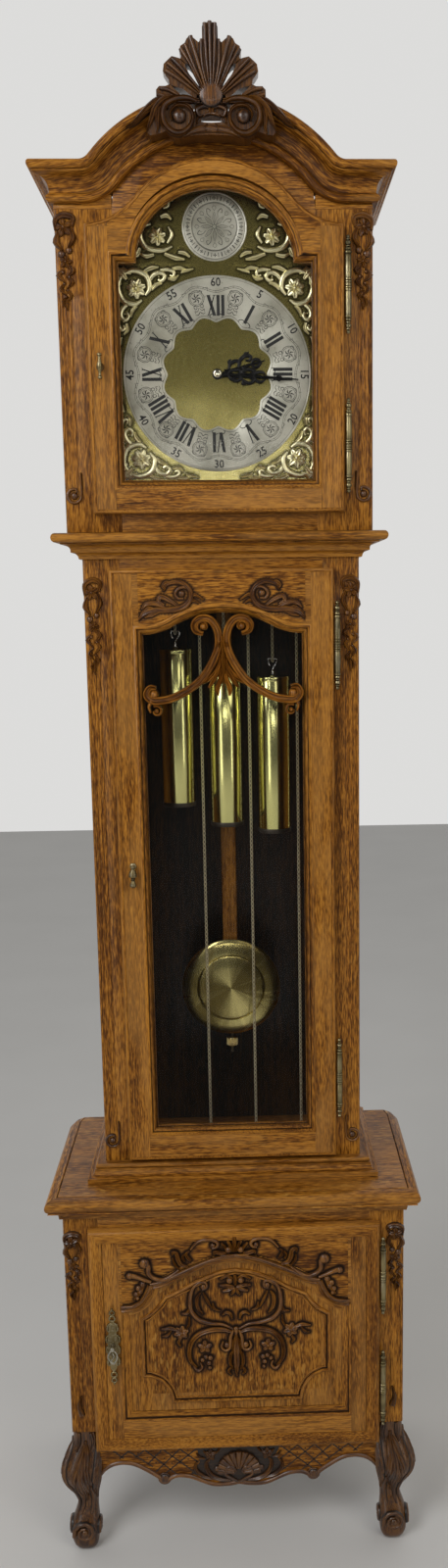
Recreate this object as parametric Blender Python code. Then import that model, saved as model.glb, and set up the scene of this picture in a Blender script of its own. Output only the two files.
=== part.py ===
"""Longcase clock in carved oak: break-arch hood, glazed trunk and cupboard base.

Metres, +Z up, the front faces -Y. The origin is on the floor, under the middle of the clock.
Run it with: blender --background --python part.py
"""
import math

import bmesh
import bpy
from mathutils import Vector

GAP = 0.0003                # clearance between touching pieces
TOTAL_HEIGHT = 2.100
REAR = 0.150                # back plane of the case
BACK_BOARD = 0.0080

# Base cabinet
FOOT_TOP = 0.182
BASE_FRONT = -0.130
BASE_HALF = 0.2463
BASE_BOARD = 0.018
BASE_FRAME = 0.022
BASE_SIDE_BOTTOM = 0.172
BASE_BODY_TOP = 0.524
BASE_FLOOR_Z = 0.186
BASE_FLOOR_THICKNESS = 0.014
BASE_OPENING = (0.196, 0.200, 0.494)          # half width, bottom, top
BASE_TOP_HALF = 0.268
BASE_TOP_FRONT = -0.152
BASE_TOP_REAR = 0.158
BASE_TOP_Z = 0.559
CORNER_CUT = (0.014, 0.032)                   # clipped rear corners of the top, X and Y
LEG_INNER = 0.2073
APRON_LOW = 0.085

# Trunk
TRUNK_FRONT = -0.070
TRUNK_HALF = 0.188
TRUNK_BOARD = 0.016
TRUNK_FRAME = 0.020
TRUNK_TOP = 1.4862
TRUNK_OPENING = (0.138, 0.602, 1.423)
PLINTH_TOP = 0.584

# Hood
HOOD_FRONT = -0.084
HOOD_HALF = 0.2055
HOOD_BOARD = 0.016
HOOD_FRAME = 0.024
HOOD_BOTTOM = 1.4865
HOOD_OPENING = (0.131, 1.5475, 1.829)
HOOD_OPENING_ARCH = (0.108, 1.929)            # half width and top of the arch
CROWN_RADIUS = 0.132                          # ogee of the hood door's top edge
SWEEP_RADIUS = 0.090
CROWN_Z = 1.950
SHOULDER_Z = 1.871
ROOF_OFFSET = (0.0203, 0.0257)                # the roof, above that ogee
CORNICE_FOOT = 0.0262
CORNICE_DEPTH = 0.0155
CREST_HALF = 0.084
CREST_FRONT = -0.125

# Doors: half width, bottom, top, front plane, back plane
HOOD_DOOR = (0.167, 1.510, 1.950, -0.100, HOOD_FRONT - GAP)
HOOD_SIGHT = (0.125, 1.553, 1.825)
HOOD_SIGHT_ARCH = (0.102, 1.914)
TRUNK_DOOR = (0.152, 0.588, 1.437, -0.084, TRUNK_FRONT - GAP)
TRUNK_SIGHT = (0.109, 0.638, 1.350, 1.379)
TRUNK_SIGHT_ARCS = (0.135, 0.084)             # crown and sweep radii of the sight's top
BASE_DOOR = (0.210, 0.157, 0.508, -0.145, BASE_FRONT - GAP)
BASE_SIGHT = (0.168, 0.205, 0.383, 0.463)
BASE_SIGHT_CUSP = (0.1225, 0.420)
GLASS = 0.003
HOOD_GLASS = -0.0925                          # front plane of each pane
TRUNK_GLASS = -0.0795
BASE_PANEL = (-0.1425, -0.1330)               # front and back planes
FRETWORK = (-0.0905, -0.0800)

# Handles: X and Z of each turning axis
HOOD_KNOB = (-0.151, 1.695)
TRUNK_PULL = (-0.132, 1.029)
ESCUTCHEON = (-0.179, 0.329)
ESCUTCHEON_THICKNESS = 0.0012
KEYHOLE_Z = 0.331

# Hinges: barrel radius, pin radius, half height, lower and upper middle heights
BARREL = 0.0048
HINGE_PIN = 0.0020
HINGE_HALF = 0.061
HINGE_OFFSET = 0.0052                         # axis outside the door's edge
HINGE_DEPTH = 0.0050                          # axis behind the door's front
HOOD_HINGES = (1.595, 1.7965)
TRUNK_HINGES = (0.7065, 1.3325)
BASE_HINGES = (0.245, 0.425)

# Dial and movement
DIAL_Z = 1.6915
DIAL_FACE = -0.0597                           # front of the dial plate
DIAL_PLATE = 0.002
DIAL_OUTLINE = (0.1395, 1.540, 1.8375)
DIAL_ARCH = (0.117, 1.938)
RING_OUTER = 0.125
RING_INNER = 0.070
ARCH_DISC_Z = 1.876
ARCH_DISC_RADIUS = 0.0425
ARBOR = 0.0045
MOVEMENT_FRONT = -0.012
MOVEMENT_REAR = 0.050
MOVEMENT_X = (-0.090, 0.125)
MOVEMENT_TOP = 1.750
SEAT = (1.4865, 1.506)
ARBOR_FRONT = -0.0652
HAND_THICKNESS = 0.0012
MINUTE_FRONT = -0.0668
MINUTE_ANGLE = 94                             # clockwise from twelve
HOUR_FRONT = -0.0645
HOUR_ANGLE = 75

# Weights, chains and pendulum
CHAIN_Y = 0.020
CHAIN_SPAN = 0.035
CHAIN_RADIUS = 0.0026
SPROCKET_Z = 1.560
CHAIN_END = 0.596
WEIGHT_RADIUS = 0.0237
WEIGHTS = {"left": (-0.070, 1.101), "centre": (0.0, 1.071), "right": (0.070, 1.060)}
WEIGHT_LENGTH = 0.229
HOOK = 0.027
PENDULUM_Y = 0.067
PENDULUM_Z = 1.600
BOB_Z = 0.807
BOB_RADIUS = 0.0755
RATING_NUT_Z = 0.716


def clear_scene():
    for item in list(bpy.data.objects):
        bpy.data.objects.remove(item, do_unlink=True)


def principled(name, colour, roughness, metallic=0.0, alpha=1.0):
    material = bpy.data.materials.new(name)
    material.use_nodes = True
    shader = material.node_tree.nodes["Principled BSDF"]
    shader.inputs["Base Color"].default_value = (*colour, 1.0)
    shader.inputs["Roughness"].default_value = roughness
    shader.inputs["Metallic"].default_value = metallic
    shader.inputs["Alpha"].default_value = alpha
    return material


def make_materials():
    return {
        "oak": principled("oak", (0.27, 0.125, 0.035), 0.38),
        "dark_oak": principled("dark_oak", (0.09, 0.035, 0.012), 0.42),
        "inner_oak": principled("inner_oak", (0.12, 0.06, 0.022), 0.6),
        "brass": principled("brass", (0.78, 0.60, 0.22), 0.22, 1.0),
        "old_brass": principled("old_brass", (0.30, 0.24, 0.12), 0.38, 1.0),
        "silver": principled("silver", (0.62, 0.61, 0.55), 0.34, 0.9),
        "black_steel": principled("black_steel", (0.012, 0.011, 0.010), 0.35, 0.6),
        "glass": principled("glass", (0.92, 0.95, 0.94), 0.03, 0.0, 0.15),
    }


def add_object(name, mesh_builder, material, smooth_angle=None):
    """One object whose mesh comes from a bmesh with outward faces."""
    bmesh.ops.recalc_face_normals(mesh_builder, faces=mesh_builder.faces)
    mesh = bpy.data.meshes.new(name)
    mesh_builder.to_mesh(mesh)
    mesh_builder.free()
    mesh.materials.append(material)
    if smooth_angle:
        mesh.shade_smooth()
        mesh.set_sharp_from_angle(angle=math.radians(smooth_angle))
    item = bpy.data.objects.new(name, mesh)
    bpy.context.scene.collection.objects.link(item)
    return item


def joint_axis(name, location):
    """An empty on a joint's axis, which the moving pieces are parented to."""
    empty = bpy.data.objects.new(name, None)
    empty.location = location
    bpy.context.scene.collection.objects.link(empty)
    return empty


def hang(empty, *pieces):
    for piece in pieces:
        piece.parent = empty
        piece.location = piece.location - empty.location


def helper(item):
    """A cutter or an added shape, which is not a piece of the clock."""
    item.hide_render = True
    item.display_type = "WIRE"
    return item


def combine(target, other, operation):
    modifier = target.modifiers.new(operation.lower(), "BOOLEAN")
    modifier.operation = operation
    modifier.solver = "EXACT"
    modifier.object = helper(other)
    return target


def cut(target, cutter):
    return combine(target, cutter, "DIFFERENCE")


def join(target, other):
    return combine(target, other, "UNION")


def board(name, x, y, z, material):
    """A rectangular board between pairs of coordinates."""
    mesh_builder = bmesh.new()
    bmesh.ops.create_cube(mesh_builder, size=1.0)
    for vertex in mesh_builder.verts:
        for axis, (low, high) in enumerate((x, y, z)):
            vertex.co[axis] = low + (vertex.co[axis] + 0.5) * (high - low)
    return add_object(name, mesh_builder, material)


def prism(name, outline, front, back, material, smooth_angle=None):
    """An outline in X and Z, extruded along Y."""
    mesh_builder = bmesh.new()
    corners = [mesh_builder.verts.new((x, front, z)) for x, z in outline]
    face = mesh_builder.faces.new(corners)
    region = bmesh.ops.extrude_face_region(mesh_builder, geom=[face])
    moved = [part for part in region["geom"] if isinstance(part, bmesh.types.BMVert)]
    bmesh.ops.translate(mesh_builder, verts=moved, vec=(0.0, back - front, 0.0))
    return add_object(name, mesh_builder, material, smooth_angle)


def loft(name, stations, material, smooth_angle=None):
    """A solid through closed rings of equal length, capped at both ends."""
    mesh_builder = bmesh.new()
    rings = [[mesh_builder.verts.new(point) for point in station] for station in stations]
    count = len(stations[0])
    for ring, following in zip(rings, rings[1:]):
        for index in range(count):
            after = (index + 1) % count
            mesh_builder.faces.new((ring[index], ring[after], following[after], following[index]))
    mesh_builder.faces.new(rings[0])
    mesh_builder.faces.new(rings[-1])
    return add_object(name, mesh_builder, material, smooth_angle)


def turned(name, profile, centre, axis, material, steps=12, smooth_angle=40):
    """A profile of (radius, height) spun around an axis through centre."""
    mesh_builder = bmesh.new()
    direction = Vector(axis)
    side = Vector((1.0, 0.0, 0.0)) if abs(direction.x) < 0.5 else Vector((0.0, 0.0, 1.0))
    points = [mesh_builder.verts.new(Vector(centre) + side * r + direction * h) for r, h in profile]
    edges = [mesh_builder.edges.new(pair) for pair in zip(points, points[1:])]
    bmesh.ops.spin(mesh_builder, geom=points + edges, cent=centre, axis=direction,
                   angle=math.tau, steps=steps, use_merge=True)
    bmesh.ops.remove_doubles(mesh_builder, verts=mesh_builder.verts, dist=1e-6)
    return add_object(name, mesh_builder, material, smooth_angle)


def arc(centre, radius, start, end, steps):
    """Points in X and Z; angles in degrees from +X, anticlockwise from the front."""
    angles = [math.radians(start + (end - start) * i / steps) for i in range(steps + 1)]
    return [(centre[0] + radius * math.cos(a), centre[1] + radius * math.sin(a)) for a in angles]


def mirrored(right_half):
    """A closed outline from its right half, given from the bottom to the top."""
    left_half = [(-x, z) for x, z in reversed(right_half) if x > 1e-6]
    return list(right_half) + left_half


def ogee(crown, sweep, top, shoulder, half, offset=0.0, steps=(4, 8)):
    """Right half of an ogee from its outer end up to the crown: a hollow sweep, then a round crown."""
    centre = top - crown
    rise = shoulder - centre
    reach = math.sqrt((crown - rise) * (crown + rise + 2.0 * sweep))
    turn = math.asin(reach / (crown + sweep))
    begin = math.asin(max(0.0, reach - half) / sweep)
    points = []
    for i in range(steps[0]):
        t = begin + (turn - begin) * i / steps[0]
        radius = sweep - offset
        points.append((reach - radius * math.sin(t), shoulder + sweep - radius * math.cos(t)))
    for i in range(steps[1] + 1):
        t = turn * (1.0 - i / steps[1])
        points.append(((crown + offset) * math.sin(t), centre + (crown + offset) * math.cos(t)))
    return points


def hood_line(half, offset, steps=(4, 8)):
    """Right half of a line parallel to the hood door's top edge."""
    line = ogee(CROWN_RADIUS, SWEEP_RADIUS, CROWN_Z, SHOULDER_Z, half, offset, steps)
    if half > line[0][0] + GAP:
        line.insert(0, (half, SHOULDER_Z + offset))
    return line


def arched(half, bottom, spring, arch_half, top, steps=10):
    """A rectangle with a narrower elliptical arch on top."""
    right = [(half, bottom), (half, spring)]
    for i in range(steps + 1):
        t = 0.5 * math.pi * i / steps
        right.append((arch_half * math.cos(t), spring + (top - spring) * math.sin(t)))
    return mirrored(right)


def base_sight_line(inset=0.0):
    """The cupboard door's opening: square below, with a bow above that ends in hollow corners."""
    half, bottom, spring, top = BASE_SIGHT
    cusp_x, cusp_z = BASE_SIGHT_CUSP
    right = [(half - inset, bottom + inset), (half - inset, spring - inset)]
    for t in (0.25, 0.5, 0.75):
        right.append((half - (half - cusp_x) * t - inset, spring - inset + (cusp_z - spring) * t * t))
    for i in range(9):
        t = i / 8.0
        x = (cusp_x - inset) * (1.0 - t)
        right.append((x, cusp_z - inset + (top - cusp_z) * (1.0 - (1.0 - t) ** 2)))
    return mirrored(right)


def wrapped(profile, half, front, rear):
    """Stations that take a profile of (out, height) round the left side, the front and the right side."""
    corners = ((-1, rear, 0), (-1, front, 1), (1, front, 1), (1, rear, 0))
    return [[(side * (half + out), y - out * turned_corner, z) for out, z in profile]
            for side, y, turned_corner in corners]


def framed(name, outline, opening, front, back, material):
    """A flat frame: an outline with an opening cut through it."""
    frame = prism(name, outline, front, back, material)
    return cut(frame, prism(name + "_cutter", opening, front - 0.01, back + 0.01, material))


def rectangle(half, bottom, top):
    return [(half, bottom), (half, top), (-half, top), (-half, bottom)]


def apron_edge():
    """Lower edge of the front rail from the right leg to the middle."""
    points = [(LEG_INNER - GAP, 0.107)]
    points += [(0.199, 0.117), (0.187, 0.1245), (0.173, 0.127), (0.156, 0.124), (0.138, 0.114), (0.122, 0.102)]
    points += arc((0.111, 0.1005), 0.0075, -20, -160, 3)
    points += [(0.092, 0.102), (0.075, 0.1005), (0.058, 0.093), (0.043, 0.087), (0.029, APRON_LOW)]
    points += [(0.014, 0.0855), (0.0, 0.088)]
    return points


def foot_sections(front_foot):
    """Centre and half size of a cabriole foot at each height, for the right-hand side."""
    if front_foot:
        return [(0.2290, -0.1345, 0.0135, 0.000), (0.2305, -0.1335, 0.0190, 0.010),
                (0.2312, -0.1290, 0.0205, 0.030), (0.2290, -0.1240, 0.0170, 0.050),
                (0.2275, -0.1180, 0.0150, 0.068), (0.2310, -0.1190, 0.0195, 0.088),
                (0.2350, -0.1220, 0.0265, 0.114), (0.2300, -0.1150, 0.0225, 0.140),
                (0.2268, -0.1105, 0.0194, 0.155), (0.2268, -0.1105, 0.0194, FOOT_TOP)]
    return [(0.2275, 0.1300, 0.0150, 0.000), (0.2290, 0.1300, 0.0175, 0.030),
            (0.2275, 0.1330, 0.0150, 0.068), (0.2310, 0.1300, 0.0195, 0.114),
            (0.2268, 0.1303, 0.0194, 0.155), (0.2268, 0.1303, 0.0194, FOOT_TOP)]


def build_foot(name, side, front_foot, material):
    stations = []
    for x, y, half, z in foot_sections(front_foot):
        ring = []
        for i in range(8):
            angle = math.radians(22.5 + 45.0 * i)
            reach = half / math.cos(math.radians(22.5))
            ring.append((side * (x + reach * math.cos(angle)), y + reach * math.sin(angle), z))
        stations.append(ring)
    return loft(name, stations, material, 45)


def build_base(mats):
    side_outer = BASE_HALF
    side_inner = BASE_HALF - BASE_BOARD
    frame_back = BASE_FRONT + BASE_FRAME
    for label, side in (("left", -1), ("right", 1)):
        x = sorted((side * side_inner, side * side_outer))
        panel = board("base_side_" + label, x, (frame_back + GAP, REAR),
                      (BASE_SIDE_BOTTOM, BASE_BODY_TOP), mats["oak"])
        for y in ((-0.14, -0.0895), (0.109, 0.16)):
            notch = board("foot_notch", (x[0] - 0.01, x[1] + 0.01), y, (0.1, FOOT_TOP + GAP), mats["oak"])
            cut(panel, notch)
        build_foot("foot_front_" + label, side, True, mats["dark_oak"])
        build_foot("foot_rear_" + label, side, False, mats["oak"])
    inside = side_inner - GAP
    board("base_floor", (-inside, inside), (frame_back + GAP, REAR - BACK_BOARD - GAP),
          (BASE_FLOOR_Z, BASE_FLOOR_Z + BASE_FLOOR_THICKNESS), mats["inner_oak"])
    right = list(reversed(apron_edge()))
    right += [(LEG_INNER - GAP, FOOT_TOP + GAP), (BASE_HALF, FOOT_TOP + GAP), (BASE_HALF, BASE_BODY_TOP)]
    framed("base_face_frame", mirrored(right), rectangle(*BASE_OPENING), BASE_FRONT, frame_back, mats["oak"])
    build_base_top(mats)


def build_base_top(mats):
    """The table-like top: a hollow under a thick round nosing, notched behind for the back board."""
    notch = TRUNK_HALF - TRUNK_BOARD
    stations = []
    profile = ((0.018, BASE_BODY_TOP + GAP), (0.0165, 0.531), (0.008, 0.5345), (0.002, 0.538),
               (0.0, 0.544), (0.0, 0.549), (0.002, 0.555), (0.007, BASE_TOP_Z))
    for inset, z in profile:
        half = BASE_TOP_HALF - inset
        front = BASE_TOP_FRONT + inset
        cut_y = BASE_TOP_REAR - CORNER_CUT[1] + 0.5 * inset
        right = [(half, front), (half, cut_y), (half - CORNER_CUT[0], BASE_TOP_REAR),
                 (notch, BASE_TOP_REAR), (notch, REAR - BACK_BOARD - GAP)]
        stations.append([(x, y, z) for x, y in right] + [(-x, y, z) for x, y in reversed(right)])
    loft("base_top", stations, mats["oak"])


def build_trunk(mats):
    floor = BASE_TOP_Z + GAP
    frame_back = TRUNK_FRONT + TRUNK_FRAME
    for label, side in (("left", -1), ("right", 1)):
        x = sorted((side * (TRUNK_HALF - TRUNK_BOARD + GAP), side * TRUNK_HALF))
        board("trunk_side_" + label, x, (frame_back + GAP, REAR), (floor, TRUNK_TOP), mats["oak"])
    framed("trunk_face_frame", rectangle(TRUNK_HALF, floor, TRUNK_TOP), rectangle(*TRUNK_OPENING),
           TRUNK_FRONT, frame_back, mats["oak"])
    plinth = ((GAP, floor), (0.0244, floor), (0.0244, 0.566), (0.019, 0.5715), (0.0165, 0.577),
              (0.011, 0.580), (0.010, PLINTH_TOP), (GAP, PLINTH_TOP))
    loft("trunk_plinth", wrapped(plinth, TRUNK_HALF, TRUNK_FRONT, REAR), mats["oak"])
    cornice = ((GAP, 1.4517), (0.0035, 1.4517), (0.012, 1.4555), (0.013, 1.4635), (0.022, 1.4665),
               (0.024, 1.4705), (0.0335, 1.4735), (0.0365, 1.4775), (0.0365, 1.4830), (0.0335, 1.4862),
               (GAP, 1.4862))
    loft("hood_base_moulding", wrapped(cornice, TRUNK_HALF, TRUNK_FRONT, REAR), mats["oak"])


def build_back_board(mats):
    """Full-height back board, stepped to fit between the sides of base, trunk and hood."""
    base = BASE_HALF - BASE_BOARD - GAP
    trunk = TRUNK_HALF - TRUNK_BOARD - GAP
    hood = HOOD_HALF - HOOD_BOARD - GAP
    right = [(base, BASE_FLOOR_Z), (base, BASE_BODY_TOP), (trunk, BASE_BODY_TOP), (trunk, HOOD_BOTTOM),
             (hood, HOOD_BOTTOM)]
    right += hood_line(hood, ROOF_OFFSET[0] - GAP)
    prism("back_board", mirrored(right), REAR - BACK_BOARD, REAR, mats["inner_oak"])


def cornice_profile():
    """Out from the case and up from the ogee: bead, cove and rounded top edge, on a square block."""
    return ((GAP, CORNICE_FOOT), (0.006, 0.0285), (0.0085, 0.0325), (0.006, 0.0375), (0.0075, 0.046),
            (0.0135, 0.0545), (0.0235, 0.0605), (0.0275, 0.0640), (0.0285, 0.0690), (0.0260, 0.0730),
            (-CORNICE_DEPTH, 0.0730), (-CORNICE_DEPTH, CORNICE_FOOT))


def cornice_stations():
    """The cornice runs up both sides and the front, and thins to a strip behind the crest."""
    profile = cornice_profile()
    strip = 0.15
    thin = [(-CORNICE_DEPTH + (out + CORNICE_DEPTH) * strip, CORNICE_FOOT + (up - CORNICE_FOOT) * strip)
            for out, up in profile]
    right = [[(HOOD_HALF + out, REAR, SHOULDER_Z + up) for out, up in profile],
             [(HOOD_HALF + out, HOOD_FRONT - out, SHOULDER_Z + up) for out, up in profile]]
    for index in range(1, len(hood_line(HOOD_HALF, 0.0))):
        station = cornice_station(profile, index)
        if min(point[0] for point in station) < CREST_HALF:
            right.append(cornice_station(profile, index, CREST_HALF + GAP))
            break
        right.append(station)
    right += [cornice_station(thin, i) for i in range(index, len(hood_line(HOOD_HALF, 0.0)))]
    left = [[(-x, y, z) for x, y, z in station] for station in reversed(right[:-1])]
    return right + left


def cornice_station(profile, index, stop=0.0):
    """One ring of the cornice at a point of the ogee, or squared off at X = stop."""
    station = []
    for out, up in profile:
        x, z = hood_line(HOOD_HALF, up)[index]
        if stop:
            radius = CROWN_RADIUS + up
            x, z = stop, CROWN_Z - CROWN_RADIUS + math.sqrt(radius * radius - stop * stop)
        station.append((x, HOOD_FRONT - out, z))
    return station


def crest_outline():
    """Right half of the pierced shell crest, with its scroll and leaf below."""
    bottom = CROWN_RADIUS + ROOF_OFFSET[0]
    centre = CROWN_Z - CROWN_RADIUS
    right = [(bottom * math.sin(math.radians(a)), centre + bottom * math.cos(math.radians(a)))
             for a in (0, 8, 16, 23)]
    right += [(0.074, 1.964), (0.0825, 1.972), (0.080, 1.986), (0.070, 2.002), (0.058, 2.012)]
    shell = Vector((0.0, 2.019))
    lobes = ((84.0, 0.0665), (50.6, 0.0650), (20.7, 0.0706))
    for angle, radius in lobes:
        for turn, scale in ((8.0, 0.93), (2.5, 1.0), (-4.5, 0.99), (-13.0, 0.78)):
            a = math.radians(angle + turn)
            right.append((shell.x + radius * scale * math.sin(a), shell.y + radius * scale * math.cos(a)))
    right += [(0.007, TOTAL_HEIGHT - 0.008), (0.006, TOTAL_HEIGHT), (0.0, TOTAL_HEIGHT - 0.001)]
    return mirrored(right)


def build_hood(mats):
    frame_back = HOOD_FRONT + HOOD_FRAME
    inside = HOOD_HALF - HOOD_BOARD
    for label, side in (("left", -1), ("right", 1)):
        x = sorted((side * inside, side * HOOD_HALF))
        board("hood_side_" + label, x, (frame_back + GAP, REAR),
              (HOOD_BOTTOM, SHOULDER_Z + ROOF_OFFSET[1]), mats["oak"])
    right = [(HOOD_HALF, HOOD_BOTTOM)] + hood_line(HOOD_HALF, ROOF_OFFSET[1])
    opening = arched(*HOOD_OPENING, *HOOD_OPENING_ARCH)
    framed("hood_face_frame", mirrored(right), opening, HOOD_FRONT, frame_back, mats["oak"])
    lower = mirrored(hood_line(inside - GAP, ROOF_OFFSET[0]))
    upper = mirrored(hood_line(inside - GAP, ROOF_OFFSET[1]))
    prism("hood_roof", lower + upper[::-1], frame_back + GAP, REAR, mats["oak"])
    loft("hood_cornice", cornice_stations(), mats["oak"])
    crest = prism("hood_crest", crest_outline(), CREST_FRONT, HOOD_FRONT - GAP, mats["dark_oak"])
    hole = prism("crest_hole", [(0.009 * math.cos(t), 1.991 + 0.004 * math.sin(t))
                                for t in [math.tau * i / 8 for i in range(8)]],
                 CREST_FRONT - 0.01, HOOD_FRONT + 0.01, mats["dark_oak"])
    cut(crest, hole)
    seat_half = inside - GAP
    seat = board("seat_board", (-seat_half, seat_half), (-0.055, REAR - BACK_BOARD - GAP), SEAT,
                 mats["inner_oak"])
    slots = (((-0.080, 0.116), (0.008, 0.032)), ((-0.030, 0.030), (0.056, 0.078)))
    for x, y in slots:
        cut(seat, board("seat_slot", x, y, (SEAT[0] - 0.01, SEAT[1] + 0.01), mats["inner_oak"]))


def hinge(label, axis_x, axis_y, middle, frame_front, mats):
    """A turned lift-off hinge: the pin half on the case, the sleeve half on the door."""
    stub = 0.020
    pin_profile = [(0.0, -HINGE_HALF), (0.0034, -0.058), (0.0026, -0.054), (0.0044, -0.050),
                   (0.0030, -0.046), (BARREL, -0.042), (BARREL, -0.5 * GAP), (HINGE_PIN, -0.5 * GAP),
                   (HINGE_PIN, stub), (0.0, stub)]
    pin = turned(label + "_pin", pin_profile, (axis_x, axis_y, middle), (0, 0, 1), mats["old_brass"], 10)
    leaf = board("hinge_leaf", (axis_x - 0.0013, axis_x + 0.0013), (axis_y, frame_front - GAP),
                 (middle - 0.038, middle - 0.006), mats["old_brass"])
    join(pin, leaf)
    bore = HINGE_PIN + GAP
    sleeve_profile = [(0.0, stub + GAP), (bore, stub + GAP), (bore, 0.5 * GAP), (BARREL, 0.5 * GAP),
                      (BARREL, 0.042), (0.0030, 0.046), (0.0044, 0.050), (0.0026, 0.054), (0.0034, 0.058),
                      (0.0, HINGE_HALF)]
    return turned(label + "_sleeve", sleeve_profile, (axis_x, axis_y, middle), (0, 0, 1),
                  mats["old_brass"], 10)


def hinge_pair(name, door, frame_front, middles, mats):
    """Two hinges on a door's right edge; returns the axis empty and the two sleeves."""
    axis_x = door[0] + HINGE_OFFSET
    axis_y = door[3] + HINGE_DEPTH
    sleeves = [hinge(name + "_hinge_" + label, axis_x, axis_y, middle, frame_front, mats)
               for label, middle in zip(("low", "high"), middles)]
    return joint_axis(name + "_axis", Vector((axis_x, axis_y, 0.0))), sleeves


def build_hood_door(mats):
    half, bottom, _, front, back = HOOD_DOOR
    outline = mirrored([(half, bottom)] + hood_line(half, 0.0))
    sight = arched(*HOOD_SIGHT, *HOOD_SIGHT_ARCH)
    frame = framed("hood_door_frame", outline, sight, front, back, mats["oak"])
    pane = arched(HOOD_SIGHT[0] - GAP, HOOD_SIGHT[1] + GAP, HOOD_SIGHT[2] - GAP,
                  HOOD_SIGHT_ARCH[0] - GAP, HOOD_SIGHT_ARCH[1] - GAP)
    glass = prism("hood_door_glass", pane, HOOD_GLASS, HOOD_GLASS + GLASS, mats["glass"])
    pivot = Vector((HOOD_KNOB[0], front - 0.009, HOOD_KNOB[1]))
    knob_profile = [(0.0, -0.0165), (0.0030, -0.0145), (0.0022, -0.0095), (0.0034, 0.0), (0.0022, 0.0095),
                    (0.0030, 0.0145), (0.0, 0.0165)]
    knob = turned("hood_door_knob", knob_profile, pivot, (0, 0, 1), mats["old_brass"], 8)
    stem = turned("knob_stem", [(0.0, 0.0), (0.0022, 0.0), (0.0030, 0.0087), (0.0, 0.0087)], pivot,
                  (0, 1, 0), mats["old_brass"], 8)
    join(knob, stem)
    axis, sleeves = hinge_pair("hood_door", HOOD_DOOR, HOOD_FRONT, HOOD_HINGES, mats)
    hang(joint_axis("hood_knob_axis", pivot), knob)
    hang(axis, frame, glass, *sleeves)


def scroll_band(centre_line, width):
    """A band of even width along a line of points in X and Z."""
    line = [Vector(point) for point in centre_line]
    left, right = [], []
    for index, point in enumerate(line):
        before = line[max(index - 1, 0)]
        after = line[min(index + 1, len(line) - 1)]
        along = (after - before).normalized()
        across = Vector((-along.y, along.x)) * (0.5 * width)
        left.append(tuple(point + across))
        right.append(tuple(point - across))
    return left + right[::-1]


def build_door_scroll(mats):
    """Fretwork before the trunk glass: two C-scrolls joined at a waist, over a hanging leaf."""
    front, back = FRETWORK
    leaf = [(0.0, 1.2625), (0.012, 1.272), (0.026, 1.286), (0.016, 1.306), (0.0, 1.347),
            (-0.016, 1.306), (-0.026, 1.286), (-0.012, 1.272)]
    scroll = prism("trunk_door_scroll", leaf, front, back, mats["dark_oak"])
    route = [(0.030, 1.369), (0.019, 1.368), (0.009, 1.359), (0.0050, 1.345), (0.009, 1.325), (0.021, 1.302),
             (0.034, 1.284), (0.051, 1.271), (0.071, 1.2625), (0.092, 1.262)]
    for side in (-1, 1):
        line = [(side * x, z) for x, z in route]
        join(scroll, prism("scroll_band", scroll_band(line, 0.011), front, back, mats["dark_oak"]))
        for x, z, radius in ((0.0262, 1.3605, 0.0112), (0.0950, 1.2660, 0.0137), (0.0920, 1.2460, 0.0098)):
            disc = arc((side * x, z), radius, 0, 324, 9)
            join(scroll, prism("scroll_eye", disc, front, back, mats["dark_oak"]))
    return scroll


def build_trunk_door(mats):
    half, bottom, top, front, back = TRUNK_DOOR
    sight_half, sight_bottom, spring, crown = TRUNK_SIGHT

    def sight(inset):
        arcs = ogee(*TRUNK_SIGHT_ARCS, crown, spring, sight_half)
        right = [(sight_half - inset, sight_bottom + inset)]
        right += [(min(x, sight_half - inset), z - inset) for x, z in arcs]
        return mirrored(right)

    frame = framed("trunk_door_frame", rectangle(half, bottom, top), sight(0.0), front, back, mats["oak"])
    glass = prism("trunk_door_glass", sight(GAP), TRUNK_GLASS, TRUNK_GLASS + GLASS, mats["glass"])
    scroll = build_door_scroll(mats)
    pivot = Vector((TRUNK_PULL[0], front - 0.0075, TRUNK_PULL[1]))
    bell = [(0.0, 0.0028), (0.0028, 0.0), (0.0026, -0.003), (0.0052, -0.008), (0.0058, -0.0125),
            (0.0024, -0.0165), (0.0036, -0.022), (0.0046, -0.0265), (0.0, -0.0300)]
    pull = turned("trunk_door_pull", bell, pivot, (0, 0, 1), mats["old_brass"], 10)
    post = turned("pull_post", [(0.0, 0.0), (0.0017, 0.0), (0.0017, 0.0072), (0.0, 0.0072)], pivot,
                  (0, 1, 0), mats["old_brass"], 8)
    join(pull, post)
    axis, sleeves = hinge_pair("trunk_door", TRUNK_DOOR, TRUNK_FRONT, TRUNK_HINGES, mats)
    hang(joint_axis("trunk_pull_axis", pivot), pull)
    hang(axis, frame, glass, scroll, *sleeves)


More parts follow.
